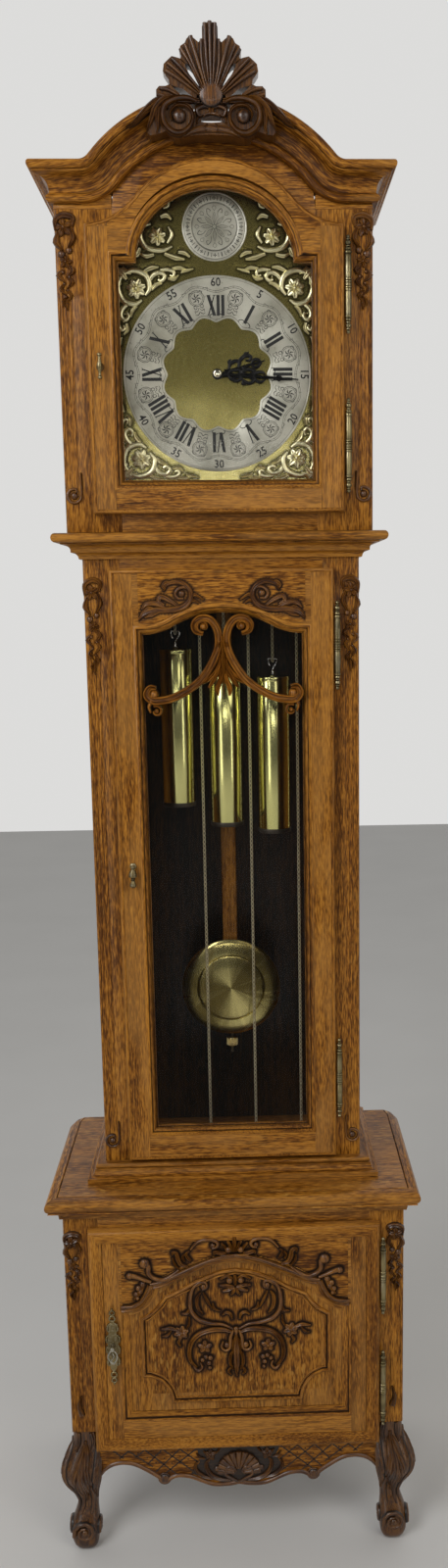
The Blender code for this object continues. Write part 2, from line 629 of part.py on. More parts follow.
def build_base_door(mats):
    half, bottom, top, front, back = BASE_DOOR
    frame = framed("base_door_frame", rectangle(half, bottom, top), base_sight_line(), front, back, mats["oak"])
    panel = prism("base_door_panel", base_sight_line(GAP), *BASE_PANEL, mats["oak"])
    plate_right = [(0.0, -0.060), (0.0055, -0.053), (0.0035, -0.044), (0.0085, -0.030), (0.0055, -0.018),
                   (0.0095, -0.004), (0.0095, 0.010), (0.0050, 0.022), (0.0090, 0.034), (0.0060, 0.046),
                   (0.0055, 0.055), (0.0, 0.060)]
    plate_x, plate_z = ESCUTCHEON
    outline = [(plate_x + x, plate_z + z) for x, z in mirrored(plate_right)]
    plate_front = front - GAP - ESCUTCHEON_THICKNESS
    plate = prism("base_door_escutcheon", outline, plate_front, front - GAP, mats["old_brass"])
    pivot = Vector((plate_x, plate_front, KEYHOLE_Z))
    key_front = -BASE_TOP_REAR
    stem_length = pivot.y - GAP - key_front
    key = turned("base_door_key", [(0.0, 0.0), (0.0030, 0.0), (0.0030, stem_length), (0.0, stem_length)],
                 (pivot.x, key_front, pivot.z), (0, 1, 0), mats["old_brass"], 8)
    bow = framed("key_bow", [(pivot.x - 0.001 + 0.0080 * math.cos(t), pivot.z - 0.0125 + 0.0125 * math.sin(t))
                             for t in [math.tau * i / 12 for i in range(12)]],
                 [(pivot.x - 0.001 + 0.0042 * math.cos(t), pivot.z - 0.0140 + 0.0080 * math.sin(t))
                  for t in [math.tau * i / 8 for i in range(8)]],
                 key_front + 0.0008, key_front + 0.0048, mats["old_brass"])
    join(key, bow)
    axis, sleeves = hinge_pair("base_door", BASE_DOOR, BASE_FRONT, BASE_HINGES, mats)
    hang(joint_axis("base_key_axis", pivot), key)
    hang(axis, frame, panel, plate, *sleeves)


def ring(name, outer, inner, centre_z, front, back, material, steps=48):
    profile = [(inner, 0.0), (outer, 0.0), (outer, back - front), (inner, back - front), (inner, 0.0)]
    return turned(name, profile, (0.0, front, centre_z), (0, 1, 0), material, steps)


def hand_blade(length, width, tail):
    """Half outline of a clock hand that points up: tail, hub, slim waist, leaf and tip."""
    return [(0.0, -tail), (0.30 * width, -tail), (0.25 * width, -0.006), (0.20 * width, 0.25 * length),
            (0.50 * width, 0.45 * length), (0.25 * width, 0.66 * length), (0.10 * width, 0.80 * length),
            (0.0, length)]


def build_hand(name, length, width, front, hub, bore, angle, mats):
    thickness = HAND_THICKNESS
    turn = math.radians(angle)
    outline = [(x * math.cos(turn) + z * math.sin(turn), DIAL_Z - x * math.sin(turn) + z * math.cos(turn))
               for x, z in mirrored(hand_blade(length, width, hub))]
    hand = prism(name, outline, front, front + thickness, mats["black_steel"])
    disc = turned("hand_hub", [(0.0, 0.0), (hub, 0.0), (hub, thickness), (0.0, thickness)],
                  (0.0, front, DIAL_Z), (0, 1, 0), mats["black_steel"], 16)
    join(hand, disc)
    if bore:
        hole = turned("hand_bore", [(0.0, -0.002), (bore, -0.002), (bore, 0.004), (0.0, 0.004)],
                      (0.0, front, DIAL_Z), (0, 1, 0), mats["black_steel"], 24)
        cut(hand, hole)
    hang(joint_axis(name + "_axis", Vector((0.0, front, DIAL_Z))), hand)


def build_dial(mats):
    face = DIAL_FACE
    outline = arched(*DIAL_OUTLINE, *DIAL_ARCH)
    plate = prism("dial_plate", outline, face, face + DIAL_PLATE, mats["brass"])
    hole = turned("arbor_hole", [(0.0, -0.01), (0.0065, -0.01), (0.0065, 0.01), (0.0, 0.01)],
                  (0.0, face, DIAL_Z), (0, 1, 0), mats["brass"], 16)
    cut(plate, hole)
    ring_front = face - GAP - 0.0012
    ring("chapter_ring", RING_OUTER, RING_INNER, DIAL_Z, ring_front, face - GAP, mats["silver"])
    boss = [(0.0, 0.0), (0.029, 0.0), (ARCH_DISC_RADIUS, 0.0003), (ARCH_DISC_RADIUS, 0.0012), (0.0, 0.0012)]
    turned("arch_boss", boss, (0.0, ring_front, ARCH_DISC_Z), (0, 1, 0), mats["silver"], 32)
    build_hand("hour_hand", 0.066, 0.026, HOUR_FRONT, 0.0100, ARBOR + GAP, HOUR_ANGLE, mats)
    build_hand("minute_hand", 0.108, 0.020, MINUTE_FRONT, 0.0065, 0.0, MINUTE_ANGLE, mats)


def build_movement(mats):
    """Two brass plates on pillars, with the chain wheels between them and the hand arbor in front."""
    bottom = SEAT[1] + GAP
    plate = 0.0025
    brass = mats["brass"]
    movement = board("movement", MOVEMENT_X, (MOVEMENT_FRONT, MOVEMENT_FRONT + plate),
                     (bottom, MOVEMENT_TOP), brass)
    join(movement, board("rear_plate", MOVEMENT_X, (MOVEMENT_REAR - plate, MOVEMENT_REAR),
                         (bottom, MOVEMENT_TOP), brass))
    length = MOVEMENT_REAR - MOVEMENT_FRONT - 0.001

    def rod(name, x, z, radius, start, reach, steps):
        profile = [(0.0, 0.0), (radius, 0.0), (radius, reach), (0.0, reach)]
        join(movement, turned(name, profile, (x, start, z), (0, 1, 0), brass, steps))

    for x in (MOVEMENT_X[0] + 0.0065, MOVEMENT_X[1] - 0.0065):
        for z in (bottom + 0.012, MOVEMENT_TOP - 0.012):
            rod("pillar", x, z, 0.004, MOVEMENT_FRONT + 0.0005, length, 8)
    for weight_x, _ in WEIGHTS.values():
        x = weight_x + 0.5 * CHAIN_SPAN
        rod("chain_arbor", x, SPROCKET_Z, 0.003, MOVEMENT_FRONT + 0.0005, length, 8)
        rod("chain_wheel", x, SPROCKET_Z, 0.5 * CHAIN_SPAN - CHAIN_RADIUS - 0.0006, CHAIN_Y - 0.002, 0.004, 20)
    dial_back = DIAL_FACE + DIAL_PLATE + GAP
    for x in (-0.070, 0.100):
        for z in (bottom + 0.040, MOVEMENT_TOP - 0.030):
            rod("dial_foot", x, z, 0.003, dial_back, MOVEMENT_FRONT - dial_back + 0.001, 8)
    rod("hand_arbor", 0.0, DIAL_Z, ARBOR, ARBOR_FRONT, MOVEMENT_FRONT - ARBOR_FRONT + 0.001, 24)
    cock = board("back_cock", (-0.009, 0.009), (MOVEMENT_REAR - 0.001, PENDULUM_Y + 0.005),
                 (PENDULUM_Z, PENDULUM_Z + 0.008), brass)
    join(movement, cock)


def build_pendulum(mats):
    half_thickness = 0.003
    right = [(0.0018, 0.698), (0.0018, 0.742), (0.011, 0.742), (0.011, 1.570), (0.0030, 1.577),
             (0.0030, PENDULUM_Z - GAP)]
    outline = right + [(-x, z) for x, z in reversed(right)]
    rod = prism("pendulum_rod", outline, PENDULUM_Y - half_thickness, PENDULUM_Y + half_thickness, mats["oak"])
    bob_back = PENDULUM_Y - half_thickness - GAP
    bob_profile = [(0.0, -0.0155), (0.030, -0.0142), (0.052, -0.0105), (0.055, -0.0088), (BOB_RADIUS, -0.0050),
                   (BOB_RADIUS, -0.0020), (0.070, 0.0), (0.0, 0.0)]
    bob = turned("pendulum_bob", bob_profile, (0.0, bob_back, BOB_Z), (0, 1, 0), mats["brass"], 36)
    nut_profile = [(0.0042, -0.0075), (0.0090, -0.0060), (0.0090, 0.0030), (0.0060, 0.0075),
                   (0.0042, 0.0075), (0.0042, -0.0075)]
    nut = turned("rating_nut", nut_profile, (0.0, PENDULUM_Y, RATING_NUT_Z), (0, 0, 1), mats["brass"], 16)
    hang(joint_axis("pendulum_axis", Vector((0.0, PENDULUM_Y, PENDULUM_Z))), rod, bob)
    hang(joint_axis("rating_nut_axis", Vector((0.0, PENDULUM_Y, RATING_NUT_Z))), nut)


def build_weights(mats):
    for label, (x, bottom) in WEIGHTS.items():
        cap = WEIGHT_RADIUS + 0.0006
        length = WEIGHT_LENGTH
        profile = [(0.0, -0.003), (0.0205, -0.003), (cap, 0.0), (cap, 0.003), (WEIGHT_RADIUS, 0.0035),
                   (WEIGHT_RADIUS, length - 0.0035), (cap, length - 0.003), (cap, length),
                   (0.0030, length + 0.0015), (0.0022, length + 0.010), (0.0048, length + 0.014),
                   (0.0048, length + 0.022), (0.0, length + HOOK)]
        weight = turned("weight_" + label, profile, (x, CHAIN_Y, bottom), (0, 0, 1), mats["brass"], 24)
        hang(joint_axis("weight_axis_" + label, Vector((x, CHAIN_Y, bottom))), weight)
        build_chain(label, x, bottom + length + HOOK + GAP, mats)


def build_chain(label, x, low, mats):
    """The chain goes up from a weight, over its wheel and down to its free end."""
    radius = 0.5 * CHAIN_SPAN
    centre = x + radius
    bend = arc((centre, SPROCKET_Z), radius, 180, 0, 8)
    route = [(x, low)] + bend + [(x + CHAIN_SPAN, CHAIN_END)]
    curve = bpy.data.curves.new("chain_" + label, "CURVE")
    curve.dimensions = "3D"
    curve.bevel_depth = CHAIN_RADIUS
    curve.bevel_resolution = 2
    curve.render_resolution_u = 0
    curve.use_fill_caps = True
    spline = curve.splines.new("POLY")
    spline.points.add(len(route) - 1)
    for point, (px, pz) in zip(spline.points, route):
        point.co = (px, CHAIN_Y, pz, 1.0)
    curve.materials.append(mats["brass"])
    chain = bpy.data.objects.new("chain_" + label, curve)
    bpy.context.scene.collection.objects.link(chain)


def main():
    clear_scene()
    mats = make_materials()
    build_base(mats)
    build_trunk(mats)
    build_back_board(mats)
    build_hood(mats)
    build_movement(mats)
    build_dial(mats)
    build_weights(mats)
    build_pendulum(mats)
    build_hood_door(mats)
    build_trunk_door(mats)
    build_base_door(mats)


main()
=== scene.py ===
import math
import random

import bmesh
import bpy
import mathutils
import numpy as np
from mathutils import Matrix, Vector


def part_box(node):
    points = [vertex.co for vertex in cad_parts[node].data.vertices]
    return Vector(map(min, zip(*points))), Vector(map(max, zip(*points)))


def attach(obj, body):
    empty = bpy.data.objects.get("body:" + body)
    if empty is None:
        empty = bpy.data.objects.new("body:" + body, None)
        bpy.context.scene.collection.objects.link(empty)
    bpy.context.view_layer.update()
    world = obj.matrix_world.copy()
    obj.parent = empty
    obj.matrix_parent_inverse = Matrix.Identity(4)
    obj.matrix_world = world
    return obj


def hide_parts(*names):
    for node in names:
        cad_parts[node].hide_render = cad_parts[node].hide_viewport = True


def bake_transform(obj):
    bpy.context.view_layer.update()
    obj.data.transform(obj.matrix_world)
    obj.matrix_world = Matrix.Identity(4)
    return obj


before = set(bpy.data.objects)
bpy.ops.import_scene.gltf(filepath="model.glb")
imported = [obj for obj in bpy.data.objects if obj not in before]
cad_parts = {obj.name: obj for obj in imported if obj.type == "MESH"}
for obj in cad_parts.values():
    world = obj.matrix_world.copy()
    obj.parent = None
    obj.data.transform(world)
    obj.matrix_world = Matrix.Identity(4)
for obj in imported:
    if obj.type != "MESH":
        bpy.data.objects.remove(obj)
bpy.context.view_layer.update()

print("clock: frame loaded,", len(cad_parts), "nodes")


class Box:
    # extents of one CAD node at rest
    def __init__(self, node):
        low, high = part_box(node)
        self.x0, self.y0, self.z0 = low
        self.x1, self.y1, self.z1 = high
        self.midX, self.midY, self.midZ = [0.5 * (a + b) for a, b in zip(low, high)]
        self.half = 0.5 * (self.x1 - self.x0)


# shader maths
class Sock:
    def __init__(self, net, out):
        self.net = net
        self.out = out

    def maths(self, operation, *others, swap=False):
        values = [other.out if isinstance(other, Sock) else other for other in others]
        values = values + [self.out] if swap else [self.out] + values
        return self.net.node("ShaderNodeMath", {"operation": operation}, *values)

    def __add__(self, other):
        return self.maths("ADD", other)
    def __radd__(self, other):
        return self.maths("ADD", other)
    def __sub__(self, other):
        return self.maths("SUBTRACT", other)
    def __rsub__(self, other):
        return self.maths("SUBTRACT", other, swap=True)
    def __mul__(self, other):
        return self.maths("MULTIPLY", other)
    def __rmul__(self, other):
        return self.maths("MULTIPLY", other)
    def __truediv__(self, other):
        return self.maths("DIVIDE", other)
    def __pow__(self, other):
        return self.maths("POWER", other)
    def __gt__(self, other):
        return self.maths("GREATER_THAN", other)
    def top(self, other):
        return self.maths("MAXIMUM", other)
    def low(self, other):
        return self.maths("MINIMUM", other)
    def wave(self):
        return self.maths("SINE")

    def step(self, start, end):
        return self.net.node("ShaderNodeMapRange", {"interpolation_type": "SMOOTHSTEP", "clamp": True},
                             self.out, start, end)


class Net:
    def __init__(self, name):
        self.material = bpy.data.materials.new(name)
        self.material.use_nodes = True
        self.tree = self.material.node_tree
        self.shader = self.tree.nodes["Principled BSDF"]

    def node(self, kind, settings=None, *values, out=0, **named):
        made = self.tree.nodes.new(kind)
        for key, value in (settings or {}).items():
            if key == "stops":
                self.ramp(made, value)
            else:
                setattr(made, key, value)
        for index, value in enumerate(values):
            self.feed(made.inputs[index], value)
        for key, value in named.items():
            self.feed(made.inputs[key.replace("_", " ")], value)
        return Sock(self, made.outputs[out])

    def ramp(self, made, stops):
        band = made.color_ramp
        while len(band.elements) < len(stops):
            band.elements.new(0.5)
        for element, (place, colour) in zip(band.elements, stops):
            element.position = place
            element.color = (*colour, 1.0)

    def feed(self, socket, value):
        if isinstance(value, Sock):
            value = value.out
        if isinstance(value, bpy.types.NodeSocket):
            self.tree.links.new(value, socket)
        elif hasattr(socket.default_value, "__len__") and len(value) < len(socket.default_value):
            socket.default_value = (*value, 1.0)
        else:
            socket.default_value = value

    def noise(self, vector, scale, detail=2.0, rough=0.5):
        return self.node("ShaderNodeTexNoise", None, Vector=vector, Scale=scale, Detail=detail,
                         Roughness=rough)

    def stretch(self, vector, scale):
        return self.node("ShaderNodeVectorMath", {"operation": "MULTIPLY"}, vector, scale)

    def mix(self, factor, first, second, blend="MIX"):
        made = self.tree.nodes.new("ShaderNodeMix")
        made.data_type = "RGBA"
        made.blend_type = blend
        made.clamp_factor = True
        for index, value in ((0, factor), (6, first), (7, second)):
            self.feed(made.inputs[index], value)
        return Sock(self, made.outputs[2])

    def split(self, vector):
        made = self.tree.nodes.new("ShaderNodeSeparateXYZ")
        self.feed(made.inputs[0], vector)
        return [Sock(self, made.outputs[i]) for i in range(3)]

    def bump(self, height, strength, distance):
        return self.node("ShaderNodeBump", None, Strength=strength, Distance=distance, Height=height)

    def object(self):
        return self.node("ShaderNodeTexCoord", None, out=3)

    def attribute(self, name, out=1):
        return self.node("ShaderNodeAttribute", {"attribute_name": name}, out=out)

    def set(self, **sockets):
        for key, value in sockets.items():
            self.feed(self.shader.inputs[key.replace("_", " ")], value)
        return self.material


# materials
# recess is a near-black colour for painted shade in creases; edge is a lighter tone for rubbed wear and
# painted highlight
oakLook = {
    "light": (0.4, 0.168, 0.02), "mid": (0.215, 0.078, 0.008), "dark": (0.07, 0.021, 0.0022),
    "pore": (0.028, 0.008, 0.002), "recessShade": (0.01, 0.0035, 0.001), "edge": (0.4, 0.19, 0.045),
    "fleck": (0.47, 0.235, 0.045),
}


def oakMaterial(name, tone=1.0, fleck=0.25, stain=0.0, onObject=False):
    # grain vector: along the board, across it, into it
    net = Net(name)
    if onObject:
        x, y, z = net.split(net.object())
        grain = net.node("ShaderNodeCombineXYZ", None, z, y, x)
    else:
        grain = net.attribute("grain")
    along, across, depth = net.split(grain)
    warp = net.noise(net.stretch(grain, (2.2, 11.0, 11.0)), 1.0, 3.0)
    lines = net.node("ShaderNodeCombineXYZ", None, along * 3.0 + warp * 0.12, across * 120.0 + warp * 3.4,
                     depth * 120.0)
    rings = net.noise(lines, 1.0, 4.0, 0.66)
    broad = net.noise(net.stretch(grain, (1.8, 10.0, 10.0)), 1.0, 2.0)
    streaks = net.noise(net.stretch(grain, (75.0, 560.0, 560.0)), 1.0, 2.0, 0.6)
    tint = (rings * 0.42 + broad * 0.34 + streaks * 0.66).step(0.56, 0.86)
    wood = net.node("ShaderNodeValToRGB", {"stops": [(0.0, oakLook["dark"]), (0.45, oakLook["mid"]),
                                                     (1.0, oakLook["light"])]}, tint)
    pores = net.noise(net.stretch(grain, (26.0, 900.0, 900.0)), 1.0, 2.0).step(0.57, 0.7)
    poreMix = (pores * (1.45 - tint)).low(0.75)
    wood = net.mix(poreMix, wood, oakLook["pore"])
    slant = net.node("ShaderNodeCombineXYZ", None, along * 62.0 + across * 40.0,
            across * 210.0 - along * 14.0,
                     depth * 210.0)
    raySpots = net.noise(slant, 1.0, 2.0, 0.45)
    rayField = net.noise(net.stretch(grain, (5.0, 14.0, 14.0)), 1.0, 2.0).step(0.42, 0.62)
    rays = raySpots.step(0.56, 0.68) * rayField
    wood = net.mix(rays * fleck, wood, oakLook["fleck"])
    wear = net.attribute("wear", out=2)
    blotch = net.noise(net.stretch(grain, (9.0, 30.0, 30.0)), 1.0, 3.0)
    # darker in creases and at the foot of carvings: painted shade, broken up by blotch noise
    hollowShade = (0.0 - wear).step(0.04, 0.75) * (0.75 + blotch * 0.5)
    wornAndLit = wear.step(0.1, 0.85) * blotch.step(0.3, 0.62)
    wood = net.mix(hollowShade.low(0.96), wood, oakLook["recessShade"])
    # ridges and carving tops lightened to the edge colour: rubbed wear, and painted highlight
    wood = net.mix(wornAndLit * (0.42 - 0.12 * stain), wood, oakLook["edge"])
    tinted = net.mix(1.0, wood, (tone, tone * (1.0 - 0.1 * stain), tone * (1.0 - 0.18 * stain)),
            "MULTIPLY")
    relief = rings * 0.5 + streaks * 0.5 + pores * -0.7
    rough = 0.36 + pores * 0.2 + hollowShade * 0.22 - wornAndLit * 0.08 + (blotch - 0.5) * 0.1
    return net.set(Base_Color=tinted, Roughness=rough, Normal=net.bump(relief, 0.3, 0.0004),
                   Specular_IOR_Level=0.16 + 0.34 * stain, Coat_Weight=0.05 + 0.25 * stain,
                   Coat_Roughness=0.16)


def metalMaterial(name, colour, darker, rough, tarnish=0.4, brushed=(40.0, 40.0, 900.0), metallic=1.0):
    net = Net(name)
    place = net.object()
    streaks = net.noise(net.stretch(place, brushed), 1.0, 2.0)
    cloud = net.noise(place, 38.0, 3.0)
    wear = net.attribute("wear", out=2)
    # darker in hollows: painted shade, added to the tarnish film
    hollowShade = (0.0 - wear).step(0.03, 0.6)
    tarnishAndShade = (cloud.step(0.4, 0.75) * tarnish + hollowShade * 0.85).low(1.0)
    base = net.mix(tarnishAndShade, colour, darker)
    base = net.mix(streaks.step(0.4, 0.8) * 0.18, base, (0.95, 0.9, 0.7))
    return net.set(Base_Color=base, Roughness=rough + tarnishAndShade * 0.28 + (streaks - 0.5) * 0.12,
                   Metallic=metallic, Normal=net.bump(streaks, 0.06, 0.0002))


def spunMaterial(name, colour, darker, rough, centre, ringsPerMetre=2600.0):
    # metal turned on a lathe about an axis along Y: fine rings in the bump, and bright wedges painted into
    # the colour as painted highlight
    net = Net(name)
    x, _, z = net.split(net.object())
    dx = x - centre[0]
    dz = z - centre[1]
    radius = (dx * dx + dz * dz) ** 0.5
    angle = net.node("ShaderNodeMath", {"operation": "ARCTAN2"}, dz, dx)
    rings = (radius * ringsPerMetre).wave()
    # two bright wedges fixed by angle, with sheen noise: painted highlight of the turned rings
    wedge = ((angle * 2.0 - 2.35).wave() * 0.5 + 0.5) ** 3.0
    sheen = net.noise(net.node("ShaderNodeCombineXYZ", None, angle * 5.0, radius * 6.0, 0.0), 1.0, 4.0)
    paintedHighlight = (wedge * 0.8 + sheen.step(0.48, 0.8) * 0.35).low(1.0)
    base = net.mix(paintedHighlight, darker, colour)
    return net.set(Base_Color=base, Roughness=rough - paintedHighlight * 0.1 + rings * 0.01, Metallic=1.0,
                   Normal=net.bump(rings * 0.5 + sheen * 0.5, 0.1, 0.0001))


def plainMaterial(name, colour, rough, metallic=0.0, speckle=0.25, scale=120.0):
    net = Net(name)
    spots = net.noise(net.object(), scale, 3.0)
    wear = net.attribute("wear", out=2)
    base = net.mix(spots * speckle, colour, tuple(0.45 * c for c in colour))
    # lighter on ridges and the tops of strokes: rubbed wear, and painted highlight
    base = net.mix(wear.step(0.1, 0.8) * 0.5, base, tuple(min(1.0, 2.2 * c + 0.02) for c in colour))
    return net.set(Base_Color=base, Roughness=rough + spots * 0.15, Metallic=metallic,
                   Normal=net.bump(spots, 0.05, 0.0002))


def glassMaterial(name):
    net = Net(name)
    smear = net.noise(net.object(), 9.0, 3.0)
    return net.set(Base_Color=(0.02, 0.022, 0.02), Roughness=0.02 + smear * 0.03, Alpha=0.05
            + smear * 0.03,
                   Specular_IOR_Level=0.5, IOR=1.45)


def silverDialMaterial(name):
    net = Net(name)
    x, _, z = net.split(net.object())
    place = net.object()
    brushed = net.noise(net.stretch(place, (900.0, 10.0, 60.0)), 1.0, 2.0)
    patina = net.noise(place, 26.0, 4.0)
    spots = net.noise(place, 240.0, 2.0).step(0.66, 0.74)
    base = net.mix(patina.step(0.35, 0.8), (0.62, 0.6, 0.5), (0.3, 0.29, 0.22))
    base = net.mix(spots * 0.45, base, (0.2, 0.19, 0.15))
    return net.set(Base_Color=base, Roughness=0.36 + brushed * 0.14, Metallic=0.75,
                   Normal=net.bump(brushed, 0.05, 0.0001))


def matBrassMaterial(name):
    net = Net(name)
    place = net.object()
    grain = net.noise(place, 1500.0, 2.0)
    cloud = net.noise(place, 30.0, 3.0)
    height = net.split(place)[2]
    # darker towards the top of the plate: painted reflection, brighter low down
    paintedReflectionFade = (height + cloud * 0.06).step(1.575, 1.73)
    base = net.mix(cloud.step(0.3, 0.75), (0.8, 0.71, 0.28), (0.62, 0.54, 0.2))
    base = net.mix(paintedReflectionFade, base, (0.22, 0.185, 0.055))
    # darker in hollows and round the spandrels: painted shade
    hollowShade = (0.0 - net.attribute("wear", out=2)).step(0.15, 0.85)
    base = net.mix(hollowShade * 0.85, base, (0.035, 0.028, 0.008))
    return net.set(Base_Color=base, Roughness=0.22 + grain * 0.12, Metallic=0.95,
                   Normal=net.bump(grain, 0.12, 0.0002))


def floorMaterial(name):
    net = Net(name)
    cloud = net.noise(net.object(), 3.0, 3.0)
    return net.set(Base_Color=net.mix(cloud, (0.66, 0.65, 0.63), (0.6, 0.59, 0.57)), Roughness=0.7)


mats = {
    "oak": oakMaterial("varnishedOak", 1.12),
    "flecked": oakMaterial("quarterSawnOak", 1.1, 0.75),
    "moulded": oakMaterial("mouldedOak", 1.1, 0.1),
    "carved": oakMaterial("carvedOak", 0.5, 0.0, 1.0),
    "crest": oakMaterial("crestOak", 0.34, 0.0, 1.0),
    "foot": oakMaterial("footOak", 0.34, 0.0, 0.9),
    "footPlain": oakMaterial("rearFootOak", 0.42, 0.0, 0.8, True),
    # near-black oak for painted shadow on recessed grounds and in cut lines
    "shadow": oakMaterial("paintedShadowGround", 0.08, 0.0, 0.8),
    "fret": oakMaterial("fretOak", 0.5, 0.0, 0.9),
    "relief": oakMaterial("reliefOak", 0.6, 0.0, 0.6),
    "fretwork": oakMaterial("fretworkOak", 1.05, 0.0, 0.4),
    "panel": oakMaterial("panelOak", 1.0, 0.62),
    "shade": oakMaterial("paintedShadeInnerOak", 0.12, 0.0, 0.4, True),
    "sideOak": oakMaterial("sideOak", 0.95, 0.35, 0.0, True),
    "brass": metalMaterial("polishedBrass", (0.86, 0.69, 0.3), (0.55, 0.4, 0.14), 0.16, 0.25),
    "castBrass": metalMaterial("castBrass", (0.95, 0.88, 0.52), (0.13, 0.1, 0.03), 0.3, 0.12,
                               (300.0, 300.0, 300.0)),
    "oldBrass": metalMaterial("antiqueBrass", (0.28, 0.215, 0.1), (0.035, 0.026, 0.012), 0.33, 0.55,
                              (300.0, 300.0, 300.0)),
    "keyMetal": metalMaterial("keyMetal", (0.4, 0.38, 0.31), (0.05, 0.045, 0.03), 0.26, 0.4,
                              (300.0, 300.0, 300.0)),
    "brightBrass": metalMaterial("brightBrass", (0.9, 0.84, 0.66), (0.6, 0.5, 0.26), 0.14, 0.1),
    "weightBrass": metalMaterial("weightBrass", (0.84, 0.8, 0.3), (0.62, 0.56, 0.17), 0.17, 0.1, (30.0,
            30.0, 2.0)),
    "silverWire": metalMaterial("hookWire", (0.72, 0.71, 0.66), (0.3, 0.28, 0.22), 0.22, 0.2),
    "chain": metalMaterial("chainLinks", (0.86, 0.8, 0.56), (0.34, 0.29, 0.16), 0.36, 0.2, (200.0, 200.0,
            200.0), 0.6),
    "hinge": metalMaterial("hingeBrass", (0.3, 0.245, 0.12), (0.025, 0.018, 0.008), 0.3, 0.7, (300.0,
            300.0, 40.0)),
    "rod": oakMaterial("pendulumOak", 0.8, 0.0),
    "bob": spunMaterial("spunBrass", (0.86, 0.74, 0.3), (0.16, 0.12, 0.035), 0.28, (0.0, 0.807)),
    "engraved": plainMaterial("engraving", (0.06, 0.05, 0.02), 0.5),
    "silver": silverDialMaterial("silveredRing"),
    "matBrass": matBrassMaterial("matBrass"),
    "black": plainMaterial("blackWax", (0.01, 0.009, 0.008), 0.45),
    "blueSteel": plainMaterial("blackSteel", (0.014, 0.013, 0.013), 0.28, 0.7),
    "endCap": plainMaterial("weightCap", (0.05, 0.04, 0.03), 0.4, 0.8),
    "glass": glassMaterial("clearGlass"),
    "floor": floorMaterial("paleFloor"),
}
print("clock: materials made")


# mesh building
class Build:
    # gathers closed bodies into one mesh, and keeps each face's grain axis, board and material
    def __init__(self, seed=1):
        self.verts = []
        self.faces = []
        self.axis = []
        self.board = []
        self.slot = []
        self.along = []
        self.wear = []
        self.random = random.Random(seed)

    def add(self, verts, faces, axis=2, slot=0, along=None, wear=None):
        start = len(self.verts)
        board = self.random.random()
        self.verts += [tuple(v) for v in verts]
        self.along += list(along) if along is not None else [(0.0, 0.0, 0.0)] * len(verts)
        self.wear += list(wear) if wear is not None else [9.0] * len(verts)
        self.faces += [tuple(start + i for i in face) for face in faces]
        self.axis += list(axis) if isinstance(axis, list) else [axis] * len(faces)
        self.board += [board] * len(faces)
        self.slot += [slot] * len(faces)

    def mesh(self, name, materials, bevel, smooth):
        mesh = bpy.data.meshes.new(name)
        mesh.from_pydata(self.verts, [], self.faces)
        for key, kind, domain, values in (("axis", "INT", "FACE", self.axis), ("board", "FLOAT", "FACE",
                self.board),
                                          ("known", "FLOAT", "POINT", self.wear)):
            mesh.attributes.new(key, kind, domain).data.foreach_set("value", values)
        route = mesh.attributes.new("route", "FLOAT_VECTOR", "POINT")
        route.data.foreach_set("vector", np.array(self.along, dtype=float).ravel())
        for key in materials:
            mesh.materials.append(mats[key])
        mesh.polygons.foreach_set("material_index", self.slot)
        shape = bmesh.new()
        shape.from_mesh(mesh)
        bmesh.ops.recalc_face_normals(shape, faces=shape.faces)
        shape.to_mesh(mesh)
        shape.free()
        if bevel:
            mesh = softened(name, mesh, bevel)
        mesh.shade_smooth()
        mesh.set_sharp_from_angle(angle=math.radians(smooth))
        return mesh

    def piece(self, name, body, materials=("oak",), replaces=(), bevel=0.0, smooth=38.0):
        mesh = self.mesh(name, materials, bevel, smooth)
        markGrain(mesh)
        markShadeAndWear(mesh)
        made = bpy.data.objects.new(name, mesh)
        bpy.context.scene.collection.objects.link(made)
        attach(made, body)
        if replaces:
            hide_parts(*replaces)
        return made


def softened(name, mesh, width):
    carrier = bpy.data.objects.new(name + "Carrier", mesh)
    bpy.context.scene.collection.objects.link(carrier)
    edge = carrier.modifiers.new("edge", "BEVEL")
    edge.width = width
    edge.segments = 2
    edge.limit_method = "ANGLE"
    edge.angle_limit = math.radians(40)
    made = bpy.data.meshes.new_from_object(carrier.evaluated_get(bpy.context.evaluated_depsgraph_get()))
    bpy.data.objects.remove(carrier)
    return made


def readArray(attribute, key, width=1, kind=np.float32):
    values = np.zeros(len(attribute.data) * width, dtype=kind)
    attribute.data.foreach_get(key, values)
    return values.reshape(-1, width) if width > 1 else values


def markGrain(mesh):
    # per-corner wood coordinates: along the board, across it, into it, moved so that no two boards match
    axis = readArray(mesh.attributes["axis"], "value", 1, np.int32)
    board = readArray(mesh.attributes["board"], "value")
    route = readArray(mesh.attributes["route"], "vector", 3)
    co = np.zeros(len(mesh.vertices) * 3, dtype=np.float32)
    mesh.vertices.foreach_get("co", co)
    co = co.reshape(-1, 3)
    corner = np.zeros(len(mesh.loops), dtype=np.int32)
    mesh.loops.foreach_get("vertex_index", corner)
    starts = np.zeros(len(mesh.polygons), dtype=np.int32)
    totals = np.zeros(len(mesh.polygons), dtype=np.int32)
    mesh.polygons.foreach_get("loop_start", starts)
    mesh.polygons.foreach_get("loop_total", totals)
    face = np.repeat(np.arange(len(mesh.polygons)), totals)
    x, y, z = co[corner].T
    orders = [np.stack(order, 1) for order in ((x, z, y), (y, x, z), (z, x, y))] + [route[corner]]
    grain = np.zeros((len(corner), 3), dtype=np.float32)
    for index, order in enumerate(orders):
        grain[axis[face] == index] = order[axis[face] == index]
    shift = board[face][:, None] * np.array([[3.7, 1.9, 0.8]], dtype=np.float32)
    layer = mesh.attributes.new("grain", "FLOAT_VECTOR", "CORNER")
    layer.data.foreach_set("vector", (grain + shift).astype(np.float32).ravel())


